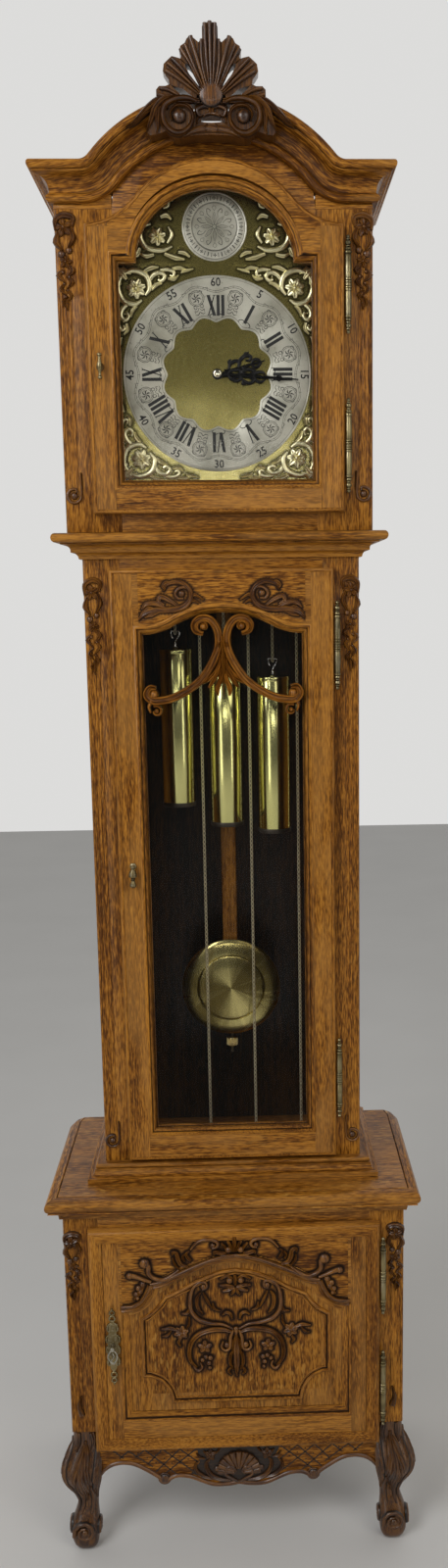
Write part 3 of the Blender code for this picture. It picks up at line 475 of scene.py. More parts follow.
def markShadeAndWear(mesh):
    # +1 on sharp ridges, -1 in deep creases, 0 on flats; -1 feeds painted shade in creases, +1 lightens
    # ridges as rubbed wear and painted highlight
    count = len(mesh.vertices)
    co = np.zeros(count * 3)
    mesh.vertices.foreach_get("co", co)
    co = co.reshape(-1, 3)
    normal = np.zeros(count * 3)
    mesh.vertices.foreach_get("normal", normal)
    normal = normal.reshape(-1, 3)
    edges = np.zeros(len(mesh.edges) * 2, dtype=np.int32)
    mesh.edges.foreach_get("vertices", edges)
    a, b = edges.reshape(-1, 2).T
    way = co[b] - co[a]
    length = np.maximum(np.linalg.norm(way, axis=1), 1e-7)
    way = way / length[:, None]
    tall = np.zeros(count)
    share = np.zeros(count)
    np.add.at(tall, a, np.sum(way * normal[a], 1))
    np.add.at(tall, b, -np.sum(way * normal[b], 1))
    np.add.at(share, a, 1.0)
    np.add.at(share, b, 1.0)
    wear = np.clip(-2.6 * tall / np.maximum(share, 1.0), -1.0, 1.0)
    known = readArray(mesh.attributes["known"], "value")
    wear = np.where(known < 5.0, known, wear)
    mesh.attributes.new("wear", "FLOAT", "POINT").data.foreach_set("value", wear.astype(np.float32))
    for key in ("axis", "board", "known", "route"):
        mesh.attributes.remove(mesh.attributes[key])


def boardBody(build, x, y, z, axis=2, slot=0):
    corners = [(x[i & 1], y[(i >> 1) & 1], z[(i >> 2) & 1]) for i in range(8)]
    sides = [(0, 1, 3, 2), (4, 6, 7, 5), (0, 4, 5, 1), (2, 3, 7, 6), (0, 2, 6, 4), (1, 5, 7, 3)]
    build.add(corners, sides, axis, slot)


def plateBody(build, outline, front, back, axis=2, slot=0):
    # an outline in X and Z, from its front plane to its back plane
    count = len(outline)
    verts = [(x, front, z) for x, z in outline] + [(x, back, z) for x, z in outline]
    faces = [tuple(range(count)), tuple(range(2 * count - 1, count - 1, -1))]
    faces += [(i, (i + 1) % count, count + (i + 1) % count, count + i) for i in range(count)]
    build.add(verts, faces, axis, slot)


def loftBody(build, stations, axis=3, slot=0, closed=False, wear=None):
    # rings of equal length; the grain runs from ring to ring
    size = len(stations[0])
    verts = [point for station in stations for point in station]
    along = []
    travel = 0.0
    before = None
    for station in stations:
        middle = sum((Vector(p) for p in station), Vector()) / size
        travel += (middle - before).length if before else 0.0
        before = middle
        reach = 0.0
        last = Vector(station[0])
        for point in station:
            reach += (Vector(point) - last).length
            last = Vector(point)
            along.append((travel, reach, 0.0))
    rings = len(stations)
    faces = []
    for r in range(rings if closed else rings - 1):
        after = (r + 1) % rings
        for i in range(size):
            j = (i + 1) % size
            faces.append((r * size + i, r * size + j, after * size + j, after * size + i))
    if not closed:
        faces += [tuple(range(size)), tuple(range((rings - 1) * size, rings * size))]
    build.add(verts, faces, axis, slot, along, wear * rings if wear else None)


def miteredPath(path, closed):
    # each point with its mitre direction, which points left of the way along the path
    count = len(path)
    spots = []
    for i in range(count):
        here = Vector(path[i])
        ways = []
        if closed or i > 0:
            ways.append((here - Vector(path[i - 1])).normalized())
        if closed or i < count - 1:
            ways.append((Vector(path[(i + 1) % count]) - here).normalized())
        normals = [Vector((-way.y, way.x)) for way in ways]
        if len(normals) == 1:
            normals = normals * 2
        spots.append((here, (normals[0] + normals[1]) / max(0.2, 1.0 + normals[0].dot(normals[1]))))
    return spots


def sweepBody(build, path, profile, plane, closed=True, slot=0, axis=3):
    # a profile of (left of the path, out towards the viewer) taken along a path in X and Z
    stations = [[(p.x + m.x * n, plane - out, p.y + m.y * n) for n, out in profile]
                for p, m in miteredPath(path, closed)]
    loftBody(build, stations, axis, slot, closed)


def latheBody(build, profile, centre, direction, steps=24, slot=0, sweep=math.tau):
    # a profile of (radius, height) about an axis through centre
    axis = Vector(direction).normalized()
    side = Vector((1, 0, 0)) if abs(axis.x) < 0.5 else Vector((0, 0, 1))
    other = axis.cross(side)
    verts, faces, rings = [], [], []
    for radius, height in profile:
        middle = Vector(centre) + axis * height
        if radius < 1e-6:
            rings.append([len(verts)] * steps)
            verts.append(tuple(middle))
            continue
        rings.append(list(range(len(verts), len(verts) + steps)))
        for i in range(steps):
            turn = sweep * i / steps
            verts.append(tuple(middle + (side * math.cos(turn) + other * math.sin(turn)) * radius))
    for lower, upper in zip(rings, rings[1:]):
        for i in range(steps):
            j = (i + 1) % steps
            corners = []
            for index in (lower[i], lower[j], upper[j], upper[i]):
                if index not in corners:
                    corners.append(index)
            if len(corners) > 2:
                faces.append(tuple(corners))
    build.add(verts, faces, 2, slot)


def arc(centre, radius, start, end, steps, squeeze=1.0):
    turns = [math.radians(start + (end - start) * i / steps) for i in range(steps + 1)]
    return [(centre[0] + radius * math.cos(t), centre[1] + radius * squeeze * math.sin(t)) for t in turns]


def mirrored(right):
    return list(right) + [(-x, z) for x, z in reversed(right) if x > 1e-6]


# the ogee that the hood door, its frame, the cornice and the roof share
hoodOgee = {"crown": 0.132, "sweep": 0.09, "top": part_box("hood_door_frame")[1][2], "shoulder": 1.871}
trunkOgee = {"crown": 0.135, "sweep": 0.084, "top": 1.379, "shoulder": 1.35}


def ogeeLine(look, half, offset=0.0, steps=(10, 18)):
    # right half, from the outer end to the crown
    centre = look["top"] - look["crown"]
    rise = look["shoulder"] - centre
    reach = math.sqrt((look["crown"] - rise) * (look["crown"] + rise + 2.0 * look["sweep"]))
    turn = math.asin(reach / (look["crown"] + look["sweep"]))
    begin = math.asin(max(0.0, reach - half) / look["sweep"])
    line = []
    for i in range(steps[0]):
        t = begin + (turn - begin) * i / steps[0]
        radius = look["sweep"] - offset
        line.append((reach - radius * math.sin(t), look["shoulder"]
                + look["sweep"] - radius * math.cos(t)))
    for i in range(steps[1] + 1):
        t = turn * (1.0 - i / steps[1])
        radius = look["crown"] + offset
        line.append((radius * math.sin(t), centre + radius * math.cos(t)))
    if half > line[0][0] + 0.0005:
        line.insert(0, (half, look["shoulder"] + offset))
    return line


def archedLine(half, bottom, spring, archHalf, top, steps=24):
    right = [(half, bottom), (half, spring)]
    right += [(archHalf * math.cos(0.5 * math.pi * i / steps), spring
            + (top - spring) * math.sin(0.5 * math.pi * i / steps))
              for i in range(steps + 1)]
    return mirrored(right)


def wrapStations(profile, half, front, rear):
    # a profile of (out, height) round the left side, the front and the right side
    places = ((-1, rear, 0), (-1, front, 1), (1, front, 1), (1, rear, 0))
    return [[(side * (half + out), y - out * corner, z) for out, z in profile] for side, y,
            corner in places]


# case
caseLook = {"edge": 0.001, "reedWidth": 0.0052, "reedDepth": 0.0019, "reeds": 3, "runOut": 0.008}


def stileBody(build, side, inner, outer, front, back, z0, z1, reedZ):
    # a corner post: plain ends, and upright reeds near the outer corner between them
    def section(reeded):
        points = [(inner, back), (inner, front)]
        width = caseLook["reedWidth"]
        start = outer - 0.0035 - caseLook["reeds"] * width
        points.append((start - 0.0015, front))
        for r in range(caseLook["reeds"]):
            for i in range(1, 8):
                t = math.pi * i / 8
                sink = caseLook["reedDepth"] * (1.0 - math.sin(t)) if reeded else 0.0
                points.append((start + width * (r + 0.5 - 0.5 * math.cos(t)), front + sink))
        points += [(outer - 0.003 + 0.003 * math.sin(t), front + 0.003 - 0.003 * math.cos(t))
                   for t in (0.0, 0.5, 1.05, 1.57)]
        return points + [(outer, back)]

    runOut = caseLook["runOut"]
    stations = []
    for level, reeded in ((z0, False), (reedZ[0], False), (reedZ[0] + runOut, True), (reedZ[1] - runOut,
            True), (reedZ[1], False),
                          (z1, False)):
        stations.append([(side * x, y, level) for x, y in section(reeded)])
    loftBody(build, stations, 2)


def buildHoodCase():
    face = Box("hood_face_frame")
    edge = caseLook["edge"]
    build = Build(11)
    shoulder = hoodOgee["shoulder"]
    for side in (-1, 1):
        stileBody(build, side, 0.131, face.x1, face.y0, face.y1, face.z0, shoulder + 0.02, (1.54, 1.79))
    boardBody(build, (-0.131, 0.131), (face.y0, face.y1), (face.z0, 1.5475), 0)
    upper = [(x, z) for x, z in ogeeLine(hoodOgee, 0.205, 0.0256)]
    archRight = [(0.131, shoulder - 0.042)] + [(0.108 * math.cos(t), 1.829 + 0.1 * math.sin(t))
                                               for t in np.linspace(0.0, 0.5 * math.pi, 24)]
    rightTop = [(0.131, shoulder + 0.02)] + [(x, z) for x, z in upper if x < 0.131]
    plateBody(build, mirrored(rightTop) + [(-x, z) for x, z in archRight] + archRight[::-1][1:], face.y0,
            face.y1, 0)
    corner = [(face.x1, shoulder + 0.0202), (face.x1, shoulder + 0.0256), (0.17, shoulder + 0.0256),
              (0.131, shoulder + 0.0256 + 0.012), (0.131, shoulder + 0.0202)]
    for side in (-1, 1):
        plateBody(build, [(side * x, z) for x, z in corner], face.y0, face.y1, 0)
    build.piece("hoodFaceFrame", "case", ("oak",), ("hood_face_frame",), edge)

    # base moulding of the hood: rounded shelf edge over stepped coves
    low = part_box("hood_base_moulding")[0][2]
    profile = [(0.0003, low), (0.0035, low), (0.0042, low + 0.0012)]
    profile += [(0.0042 + 0.0075 * (1 - math.cos(t)), low + 0.0012 + 0.007 * math.sin(t))
                for t in np.linspace(0.2, 1.45, 5)]
    profile += [(0.0135, low + 0.0088), (0.0135, low + 0.0112)]
    profile += [(0.0135 + 0.0095 * (1 - math.cos(t)), low + 0.0112 + 0.0075 * math.sin(t))
                for t in np.linspace(0.15, 1.45, 5)]
    profile += [(0.0255, low + 0.0192), (0.0255, low + 0.021)]
    profile += [(0.031 + 0.0055 * math.sin(t), low + 0.0275 - 0.0062 * math.cos(t))
            for t in np.linspace(0.0, 3.0, 10)]
    profile += [(0.0003, low + 0.0345)]
    case = Box("trunk_face_frame")
    build = Build(12)
    loftBody(build, wrapStations(profile, case.x1, case.y0, Box("back_board").y1), 3)
    build.piece("hoodBaseMoulding", "case", ("moulded",), ("hood_base_moulding",))

    for label, side in (("left", -1), ("right", 1)):
        box = Box("hood_side_" + label)
        build = Build(13 + side)
        boardBody(build, (box.x0, box.x1), (box.y0, box.y1), (box.z0, box.z1), 2)
        build.piece("hoodSide" + label.title(), "case", ("flecked",), ("hood_side_" + label,), edge)


def buildCornice():
    # bead, deep cove, fillet and rounded top edge; it stops square against the crest
    face = Box("hood_face_frame")
    stop = 0.047
    profile = [(0.0003, 0.0262), (0.003, 0.0266)]
    profile += [(0.0045 + 0.004 * math.sin(t), 0.0318 - 0.0048 * math.cos(t)) for t in np.linspace(0.3,
            2.9, 8)]
    profile += [(0.004, 0.0385), (0.004, 0.0405)]
    profile += [(0.0225 - 0.018 * math.cos(t), 0.042 + 0.0165 * math.sin(t)) for t in np.linspace(0.0,
            1.5, 9)]
    profile += [(0.0232, 0.06), (0.0232, 0.0615)]
    profile += [(0.024 + 0.0045 * math.sin(t), 0.0672 - 0.0055 * math.cos(t)) for t in np.linspace(0.2,
            2.95, 9)]
    profile += [(-0.0155, 0.073), (-0.0155, 0.0262)]
    lines = [ogeeLine(hoodOgee, face.x1, up) for _, up in profile]
    rear = Box("back_board").y1
    shoulder = hoodOgee["shoulder"]
    centre = hoodOgee["top"] - hoodOgee["crown"]
    right = [[(face.x1 + out, rear, shoulder + up) for out, up in profile],
             [(face.x1 + out, face.y0 - out, shoulder + up) for out, up in profile]]
    for index in range(1, len(lines[0])):
        station = [(line[index][0], face.y0 - out, line[index][1]) for (out, _), line in zip(profile,
                lines)]
        if min(point[0] for point in station) < stop:
            break
        right.append(station)
    right.append([(stop, face.y0 - out, centre + math.sqrt((hoodOgee["crown"] + up) ** 2 - stop ** 2))
                  for out, up in profile])
    build = Build(14)
    for side in (-1, 1):
        loftBody(build, [[(side * x, y, z) for x, y, z in station] for station in right], 3)
    strip = [(side * r * math.sin(a), centre + r * math.cos(a))
             for side, r, order in ((-1, 0.1585, -1), (-1, 0.164, 1))
             for a in sorted(np.linspace(-0.5, 0.5, 17), reverse=order > 0)]
    plateBody(build, strip, face.y0 + 0.0065, face.y0 + 0.015, 0)
    build.piece("hoodCornice", "case", ("moulded",), ("hood_cornice",))


def buildTrunkCase():
    face = Box("trunk_face_frame")
    edge = caseLook["edge"]
    build = Build(21)
    for side in (-1, 1):
        stileBody(build, side, 0.138, face.x1, face.y0, face.y1, face.z0, face.z1, (0.622, 1.33))
    boardBody(build, (-0.138, 0.138), (face.y0, face.y1), (1.423, face.z1), 0)
    boardBody(build, (-0.138, 0.138), (face.y0, face.y1), (face.z0, 0.602), 0)
    build.piece("trunkFaceFrame", "case", ("oak",), ("trunk_face_frame",), edge)
    box = Box("trunk_plinth")
    low = box.z0
    profile = [(0.0003, low), (0.0244, low), (0.0244, low + 0.0062)]
    profile += [(0.0232 - 0.0085 * math.sin(t), low + 0.0068 + 0.0085 * (1 - math.cos(t)))
            for t in np.linspace(0, 1.4, 6)]
    profile += [(0.0143, low + 0.0152), (0.0143, low + 0.0172)]
    profile += [(0.01 + 0.0035 * math.cos(t), low + 0.0208 + 0.0035 * math.sin(t))
            for t in np.linspace(-1.2, 1.5, 7)]
    profile += [(0.0003, low + 0.0246)]
    rear = Box("back_board").y1
    build = Build(22)
    loftBody(build, wrapStations(profile, face.x1, face.y0, rear), 3)
    build.piece("trunkPlinth", "case", ("moulded",), ("trunk_plinth",))
    for label, side in (("left", -1), ("right", 1)):
        box = Box("trunk_side_" + label)
        build = Build(23 + side)
        boardBody(build, (box.x0, box.x1), (box.y0, box.y1), (box.z0, box.z1), 2)
        build.piece("trunkSide" + label.title(), "case", ("oak",), ("trunk_side_" + label,), edge)


baseTopLook = {"groove": 0.0165, "grooveWidth": 0.0013, "grooveDepth": 0.0012, "cut": (0.014, 0.032)}


def buildBaseTop():
    # thick round nosing over a hollow, with an incised line near the edge
    box = Box("base_top")
    rear = Box("back_board").y0 - 0.0003
    notch = Box("trunk_side_right").x0
    g, w, d = baseTopLook["groove"], baseTopLook["grooveWidth"], baseTopLook["grooveDepth"]
    profile = [(0.018, box.z0), (0.0172, box.z0 + 0.005)]
    profile += [(0.0172 - 0.011 * (1 - math.cos(t)), box.z0 + 0.005 + 0.0075 * math.sin(t))
            for t in np.linspace(0.2, 1.45, 5)]
    profile += [(0.005, box.z0 + 0.0135), (0.0035, box.z0 + 0.0138)]
    profile += [(0.0105 - 0.0105 * math.sin(t), box.z1 - 0.0103 - 0.01 * math.cos(t))
            for t in np.linspace(0.55, 3.0, 12)]
    profile += [(g - w, box.z1), (g, box.z1 - d), (g + w, box.z1)]
    stations = []
    for inset, z in profile:
        half = box.x1 - inset
        cutY = box.y1 - baseTopLook["cut"][1] + 0.5 * inset
        corner = [(half, cutY), (half - 0.35 * 0.014, cutY + 0.017), (half - 0.014, box.y1 - 0.4 * inset)]
        right = [(half, box.y0 + inset)] + corner + [(notch, box.y1 - 0.4 * inset), (notch, rear)]
        stations.append([(x, y, z) for x, y in right] + [(-x, y, z) for x, y in reversed(right)])
    build = Build(31)
    loftBody(build, stations, 0)
    count = len(stations[0])
    for index, face in enumerate(build.faces):
        middle = sum((Vector(build.verts[i]) for i in face), Vector()) / len(face)
        if abs(middle.x) > 0.235 and middle.y > -0.12 and len(face) < count:
            build.axis[index] = 1
    build.piece("baseTop", "case", ("flecked",), ("base_top",))


def apronEdge(leg):
    # lower edge of the front rail, right half, from the leg to the middle
    right = [(leg, 0.1075), (0.199, 0.1172), (0.1875, 0.1243), (0.173, 0.1268), (0.1565, 0.1238), (0.139,
            0.114)]
    right += [(0.1225, 0.1025)] + arc((0.111, 0.1005), 0.008, -25, -155, 6)
    right += [(0.0925, 0.1022), (0.075, 0.1006), (0.058, 0.0935), (0.043, 0.087), (0.029, 0.085), (0.014,
            0.0856)]
    return right + [(0.0, 0.0882)]


def smoothLine(points, steps=5):
    # a smooth curve through the points
    line = [np.array(p, dtype=float) for p in points]
    ends = [2 * line[0] - line[1]] + line + [2 * line[-1] - line[-2]]
    made = []
    for i in range(1, len(ends) - 2):
        p0, p1, p2, p3 = ends[i - 1:i + 3]
        for k in range(steps):
            t = k / steps
            made.append(tuple(0.5 * (2 * p1 + (p2 - p0) * t + (2 * p0 - 5 * p1 + 4 * p2 - p3) * t * t
                                     + (3 * p1 - p0 - 3 * p2 + p3) * t ** 3)))
    return made + [tuple(line[-1])]


def buildBaseCase():
    face = Box("base_face_frame")
    edge = caseLook["edge"]
    leg = Box("foot_front_right")
    legInner = 0.207
    build = Build(41)
    for side in (-1, 1):
        stileBody(build, side, 0.196, face.x1, face.y0, face.y1, leg.z1 + 0.0003, face.z1, (0.2, 0.43))
    boardBody(build, (-0.196, 0.196), (face.y0, face.y1), (0.494, face.z1), 0)
    low = smoothLine(apronEdge(legInner), 3)
    right = [(x, z) for x, z in reversed(low)] + [(legInner, leg.z1), (0.196, leg.z1), (0.196, 0.2)]
    plateBody(build, mirrored(right), face.y0, face.y1, 0)
    build.piece("baseFaceFrame", "case", ("oak",), ("base_face_frame",), edge)
    bead = [(-0.0006, -0.004), (-0.0006, 0.0012), (0.0006, 0.0026), (0.0024, 0.0031), (0.0042, 0.0026),
            (0.0054, 0.001),
            (0.0062, -0.0004), (0.0062, -0.004)]
    rim = Build(42)
    route = [(-x, z) for x, z in low] + [(x, z) for x, z in reversed(low[:-1])]
    sweepBody(rim, [(x, z + 0.0003) for x, z in route], bead, face.y0, False)
    rim.piece("apronBead", "case", ("carved",))
    for label, side in (("left", -1), ("right", 1)):
        box = Box("base_side_" + label)
        build = Build(43 + side)
        outline = [(box.y0, leg.z1 + 0.0004), (-0.0895, leg.z1 + 0.0004), (-0.0895, box.z0), (0.109,
                box.z0),
                   (0.109, leg.z1 + 0.0004), (box.y1, leg.z1 + 0.0004), (box.y1, box.z1), (box.y0,
                           box.z1)]
        loftBody(build, [[(x, y, z) for y, z in outline] for x in (box.x0, box.x1)], 2)
        build.piece("baseSide" + label.title(), "case", ("flecked",), ("base_side_" + label,), edge)


def paintHidden():
    # the boards inside the case take very dark oak as painted shade
    plan = {"shade": ("back_board", "base_floor", "seat_board"), "sideOak": ("hood_roof",),
            "brass": ("movement",)}
    for key, names in plan.items():
        for name in names:
            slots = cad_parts[name].data.materials
            slots.clear()
            slots.append(mats[key])


buildHoodCase()
buildCornice()
buildTrunkCase()
buildBaseTop()
buildBaseCase()
paintHidden()
print("clock: case made")

# carving tools
sections = {
    "round": [(-1, -0.4), (-0.98, 0.1), (-0.8, 0.6), (-0.42, 0.92), (0, 1), (0.42, 0.92), (0.8, 0.6),
            (0.98, 0.1),
              (1, -0.4)],
    "leaf": [(-1, -0.4), (-0.97, 0.15), (-0.8, 0.72), (-0.46, 1.0), (-0.14, 0.72), (0, 0.6), (0.14, 0.72),
             (0.46, 1.0), (0.8, 0.72), (0.97, 0.15), (1, -0.4)],
    "band": [(-1, -0.4), (-0.98, 0.45), (-0.86, 0.9), (-0.66, 1.0), (-0.46, 0.72), (-0.36, 0.52), (0,
            0.6), (0.36, 0.52),
             (0.46, 0.72), (0.66, 1.0), (0.86, 0.9), (0.98, 0.45), (1, -0.4)],
    "groove": [(-1, -0.4), (-0.98, 0.55), (-0.86, 0.9), (-0.7, 0.62), (-0.55, 0.8), (0, 1.0), (0.55, 0.8),
               (0.7, 0.62), (0.86, 0.9), (0.98, 0.55), (1, -0.4)],
    "line": [(-1, -0.2), (-1, 1), (1, 1), (1, -0.2)],
}


def stroke(build, path, width, height, plane, section="round", steps=4, slot=0):
    # one carved limb along a smooth line of (x, z) or (x, z, lift) points
    line = [np.array(p) for p in smoothLine(path, steps)]
    count = len(line)
    widths = width if hasattr(width, "__len__") else [width]
    heights = height if hasattr(height, "__len__") else [height]
    stations = []
    for i, point in enumerate(line):
        way = (line[min(i + 1, count - 1)] - line[max(i - 1, 0)])[:2]
        way = way / max(1e-9, np.linalg.norm(way))
        t = i / (count - 1)
        half = 0.5 * np.interp(t, np.linspace(0, 1, len(widths)),
                widths) if len(widths) > 1 else 0.5 * widths[0]
        tall = np.interp(t, np.linspace(0, 1, len(heights)), heights) if len(heights) > 1 else heights[0]
        rise = point[2] if len(point) > 2 else 0.0
        stations.append([(point[0] - way[1] * u * half, plane - rise - tall * v, point[1]
                + way[0] * u * half)
                         for u, v in sections[section]])
    loftBody(build, stations, 3, slot, False, [reliefShading(v) for _, v in sections[section]])


def reliefShading(level):
    # painted shade where a carving meets its ground, painted highlight on top
    return float(np.interp(level, [0.0, 0.45, 0.85, 1.0], [-1.0, -0.38, 0.05, 0.42]))


def dome(build, x, z, plane, radius, height, steps=12, slot=0):
    profile = [(radius, -0.3 * height)]
    profile += [(radius * math.cos(t), height * math.sin(t)) for t in (0.15, 0.5, 0.9, 1.25)] + [(0.0,
            height)]
    start = len(build.wear)
    latheBody(build, [(0.0, -0.3 * height)] + profile, (x, plane, z), (0, -1, 0), steps, slot)
    for index in range(start, len(build.wear)):
        build.wear[index] = reliefShading((plane - build.verts[index][1]) / height)


def spiral(x, z, outer, inner, start, end, count=10):
    turns = np.radians(np.linspace(start, end, count))
    radii = np.linspace(outer, inner, count)
    return [(x + r * math.cos(t), z + r * math.sin(t)) for r, t in zip(radii, turns)]


def volute(build, x, z, radius, start, turn, plane, height, width=None, slot=0):
    # a scroll end: a band curling in on a round eye
    width = width or 0.42 * radius
    stroke(build, spiral(x, z, radius - 0.5 * width, 0.45 * radius, start, start + turn, 9), [width,
            width, 0.6 * width],
           [height, 0.95 * height, 0.7 * height], plane, "round", 3, slot)
    dome(build, x, z, plane, 0.36 * radius, 1.15 * height, 10, slot)


def rosette(build, x, z, radius, plane, height, petals=5, turn=0.3, slot=0):
    for i in range(petals):
        t = turn + math.tau * i / petals
        reach = (math.cos(t), math.sin(t))
        stroke(build, [(x + reach[0] * radius * k, z + reach[1] * radius * k) for k in (0.18, 0.6, 1.0)],
               [0.45 * radius, 0.85 * radius, 0.35 * radius], [height, 0.9 * height, 0.35 * height],
               plane, "leaf", 3, slot)
    dome(build, x, z, plane, 0.26 * radius, 1.25 * height, 8, slot)


def frond(build, path, width, height, plane, lobes=4, taper=0.35, slot=0):
    # an acanthus leaf: a grooved rib with lobes that sweep forward on both sides
    line = [np.array(p) for p in smoothLine(path, 6)]
    stroke(build, path, [0.34 * width, 0.3 * width, 0.08 * width], [1.1 * height, 1.1 * height,
            0.5 * height], plane,
           "leaf", 4, slot)
    for i in range(lobes):
        t = (i + 0.4) / (lobes + 0.1)
        index = int(t * (len(line) - 1))
        way = line[min(index + 1, len(line) - 1)] - line[max(index - 1, 0)]
        way = way[:2] / max(1e-9, np.linalg.norm(way[:2]))
        size = width * (1.0 - (1.0 - taper) * t)
        for side in (-1, 1):
            out = np.array((-way[1] * side, way[0] * side))
            points = [tuple(line[index][:2] + way * size * a + out * size * b)
                      for a, b in ((0.0, 0.02), (0.18, 0.24), (0.5, 0.42), (0.86, 0.4))]
            stroke(build, points, [0.2 * size, 0.36 * size, 0.32 * size, 0.08 * size],
                   [0.7 * height, 0.95 * height, 0.85 * height, 0.3 * height], plane, "leaf", 3, slot)


def shell(build, x, z, radius, start, end, ribs, plane, height, slot=0):
    for i in range(ribs):
        t = math.radians(start + (end - start) * i / (ribs - 1))
        reach = radius * (0.86 + 0.14 * math.sin(t))
        wide = 1.12 * math.radians(abs(end - start)) * radius / ribs
        stroke(build, [(x + reach * k * math.cos(t), z + reach * k * math.sin(t)) for k in (0.22, 0.6,
                1.0)],
               [0.3 * wide, 0.75 * wide, wide], [0.5 * height, 0.85 * height, height], plane, "round", 3,
               slot)


# doors
doorLook = {
    "bead": 0.0012, "edge": 0.0009, "moulding": 0.013, "border": 0.0035,
    "hoodSight": (0.125, 1.553, 1.825, 0.102, 1.914),
    "trunkSightHalf": 0.109, "trunkSightFoot": 0.638,
    "trunkGround": {"half": 0.1135, "top": 1.4325, "rise": 0.014},
}


outerBead = [(0.0, 0.0141), (0.0, -0.003), (0.0008, -0.0014), (0.002, -0.0004), (0.0034, -0.0001),
        (0.0048, -0.0006),
             (0.0054, -0.0016), (0.006, -0.0016), (0.006, 0.0141)]


def edgeBead(build, path, plane, depth):
    profile = [(n, out if out < 0.01 else -depth) for n, out in outerBead]
    sweepBody(build, path, profile, plane)


def sightMoulding(build, path, width, plane, back, slot=0):
    # stepped ovolo round a glazed opening; the path is the opening's edge
    w = width
    profile = [(-w, -back), (-w, -0.0002), (-0.92 * w, 0.001), (-0.78 * w, 0.0016), (-0.62 * w, 0.0012),
            (-0.54 * w, -0.0004),
               (-0.54 * w, -0.0022), (-0.46 * w, -0.0026), (-0.34 * w, -0.0034), (-0.2 * w, -0.0052),
               (-0.1 * w, -0.0072), (-0.09 * w, -0.0086), (0.0, -0.0092), (0.0, -back)]
    sweepBody(build, path, profile, plane, True, slot)


def panePiece(name, node, path, y0, y1, body):
    build = Build(5)
    plateBody(build, path, y0, y1)
    build.piece(name, body, ("glass",), (node,), 0.0, 20)


def buildHoodDoor():
    box = Box("hood_door_frame")
    face = box.y0 + doorLook["bead"]
    sight = archedLine(*doorLook["hoodSight"])
    shoulder = hoodOgee["shoulder"]
    build = Build(51)
    width = doorLook["moulding"]
    outer = archedLine(0.125 + width, 1.553 - width, 1.825 + 0.008, 0.102 + 0.01, 1.914 + 0.016)
    low = [(0.136, 1.5135), (0.136, 1.542), (-0.136, 1.542), (-0.136, 1.5135)]
    top = ogeeLine(hoodOgee, box.x1, -0.0035)
    crown = [(x, z) for x, z in top if x <= 0.137]
    archRight = [(x, z) for x, z in outer[:len(outer) // 2 + 1] if z > 1.83]
    cutLine = [(x, z) for x, z in archRight if x < 0.115]
    lowEdge = [(-x, z) for x, z in cutLine] + [(x, z) for x, z in reversed(cutLine)][1:]
    outline = [(0.1365, 1.834), (0.1365, crown[0][1])] + crown + [(-x, z) for x, z in reversed(crown)][1:]
    outline += [(-0.1365, crown[0][1]), (-0.1365, 1.834)] + lowEdge
    for side in (-1, 1):
        boardBody(build, sorted((side * 0.1364, side * (box.x1 - 0.0035))), (face, box.y1), (1.5135,
                shoulder - 0.004), 2)
        wedge = [(0.1364, shoulder - 0.0041), (box.x1 - 0.0035, shoulder - 0.0041)] + [(x, z) for x,
                z in top if x > 0.1364]
        plateBody(build, [(side * x, z) for x, z in wedge] + [(side * 0.1364, crown[0][1])], face, box.y1,
                2)
    plateBody(build, low, face, box.y1, 0)
    plateBody(build, outline, face, box.y1, 0)
    sightMoulding(build, sight, width, face, 0.014)
    route = [(box.x1, box.z0)] + ogeeLine(hoodOgee, box.x1)
    edgeBead(build, mirrored(route), box.y0, box.y1 - box.y0)
    build.piece("hoodDoorFrame", "hood_door", ("oak",), ("hood_door_frame",), 0.0, 35)
    glass = Box("hood_door_glass")
    panePiece("hoodDoorGlass", "hood_door_glass", archedLine(0.1247, 1.5533, 1.8247, 0.1017, 1.9137),
            glass.y0, glass.y1,
              "hood_door")


def trunkSight(inset=0.0):
    half = doorLook["trunkSightHalf"]
    right = [(half - inset, doorLook["trunkSightFoot"] + inset)]
    right += [(min(x, half - inset), z - inset) for x, z in ogeeLine(trunkOgee, half, 0.0, (8, 14))]
    return mirrored(right)


def buildTrunkDoor():
    box = Box("trunk_door_frame")
    face = box.y0 + doorLook["bead"]
    build = Build(61)
    width = doorLook["moulding"]
    for side in (-1, 1):
        boardBody(build, sorted((side * 0.1212, side * (box.x1 - 0.0035))), (face, box.y1),
                (box.z0 + 0.0035, box.z1 - 0.0035), 2)
    sightTop = ogeeLine(trunkOgee, doorLook["trunkSightHalf"], 0.0, (8, 14))
    crown = [(x, z + width) for x, z in sightTop]
    lowEdge = [(-x, z) for x, z in crown] + [(x, z) for x, z in reversed(crown)][1:]
    outline = [(0.1211, crown[0][1]), (0.1211, box.z1 - 0.0035), (-0.1211, box.z1 - 0.0035), (-0.1211,
            crown[0][1])]
    plateBody(build, outline + lowEdge, face, box.y1, 0)
    boardBody(build, (-0.1211, 0.1211), (face, box.y1), (box.z0 + 0.0035, 0.6255), 0)
    sightMoulding(build, trunkSight(), width, face, 0.0136)
    edgeBead(build, [(box.x1, box.z0), (box.x1, box.z1), (-box.x1, box.z1), (-box.x1, box.z0)], box.y0,
            box.y1 - box.y0)
    build.piece("trunkDoorFrame", "trunk_door", ("oak",), ("trunk_door_frame",), 0.0, 35)
    glass = Box("trunk_door_glass")
    panePiece("trunkDoorGlass", "trunk_door_glass", trunkSight(0.0003), glass.y0, glass.y1, "trunk_door")


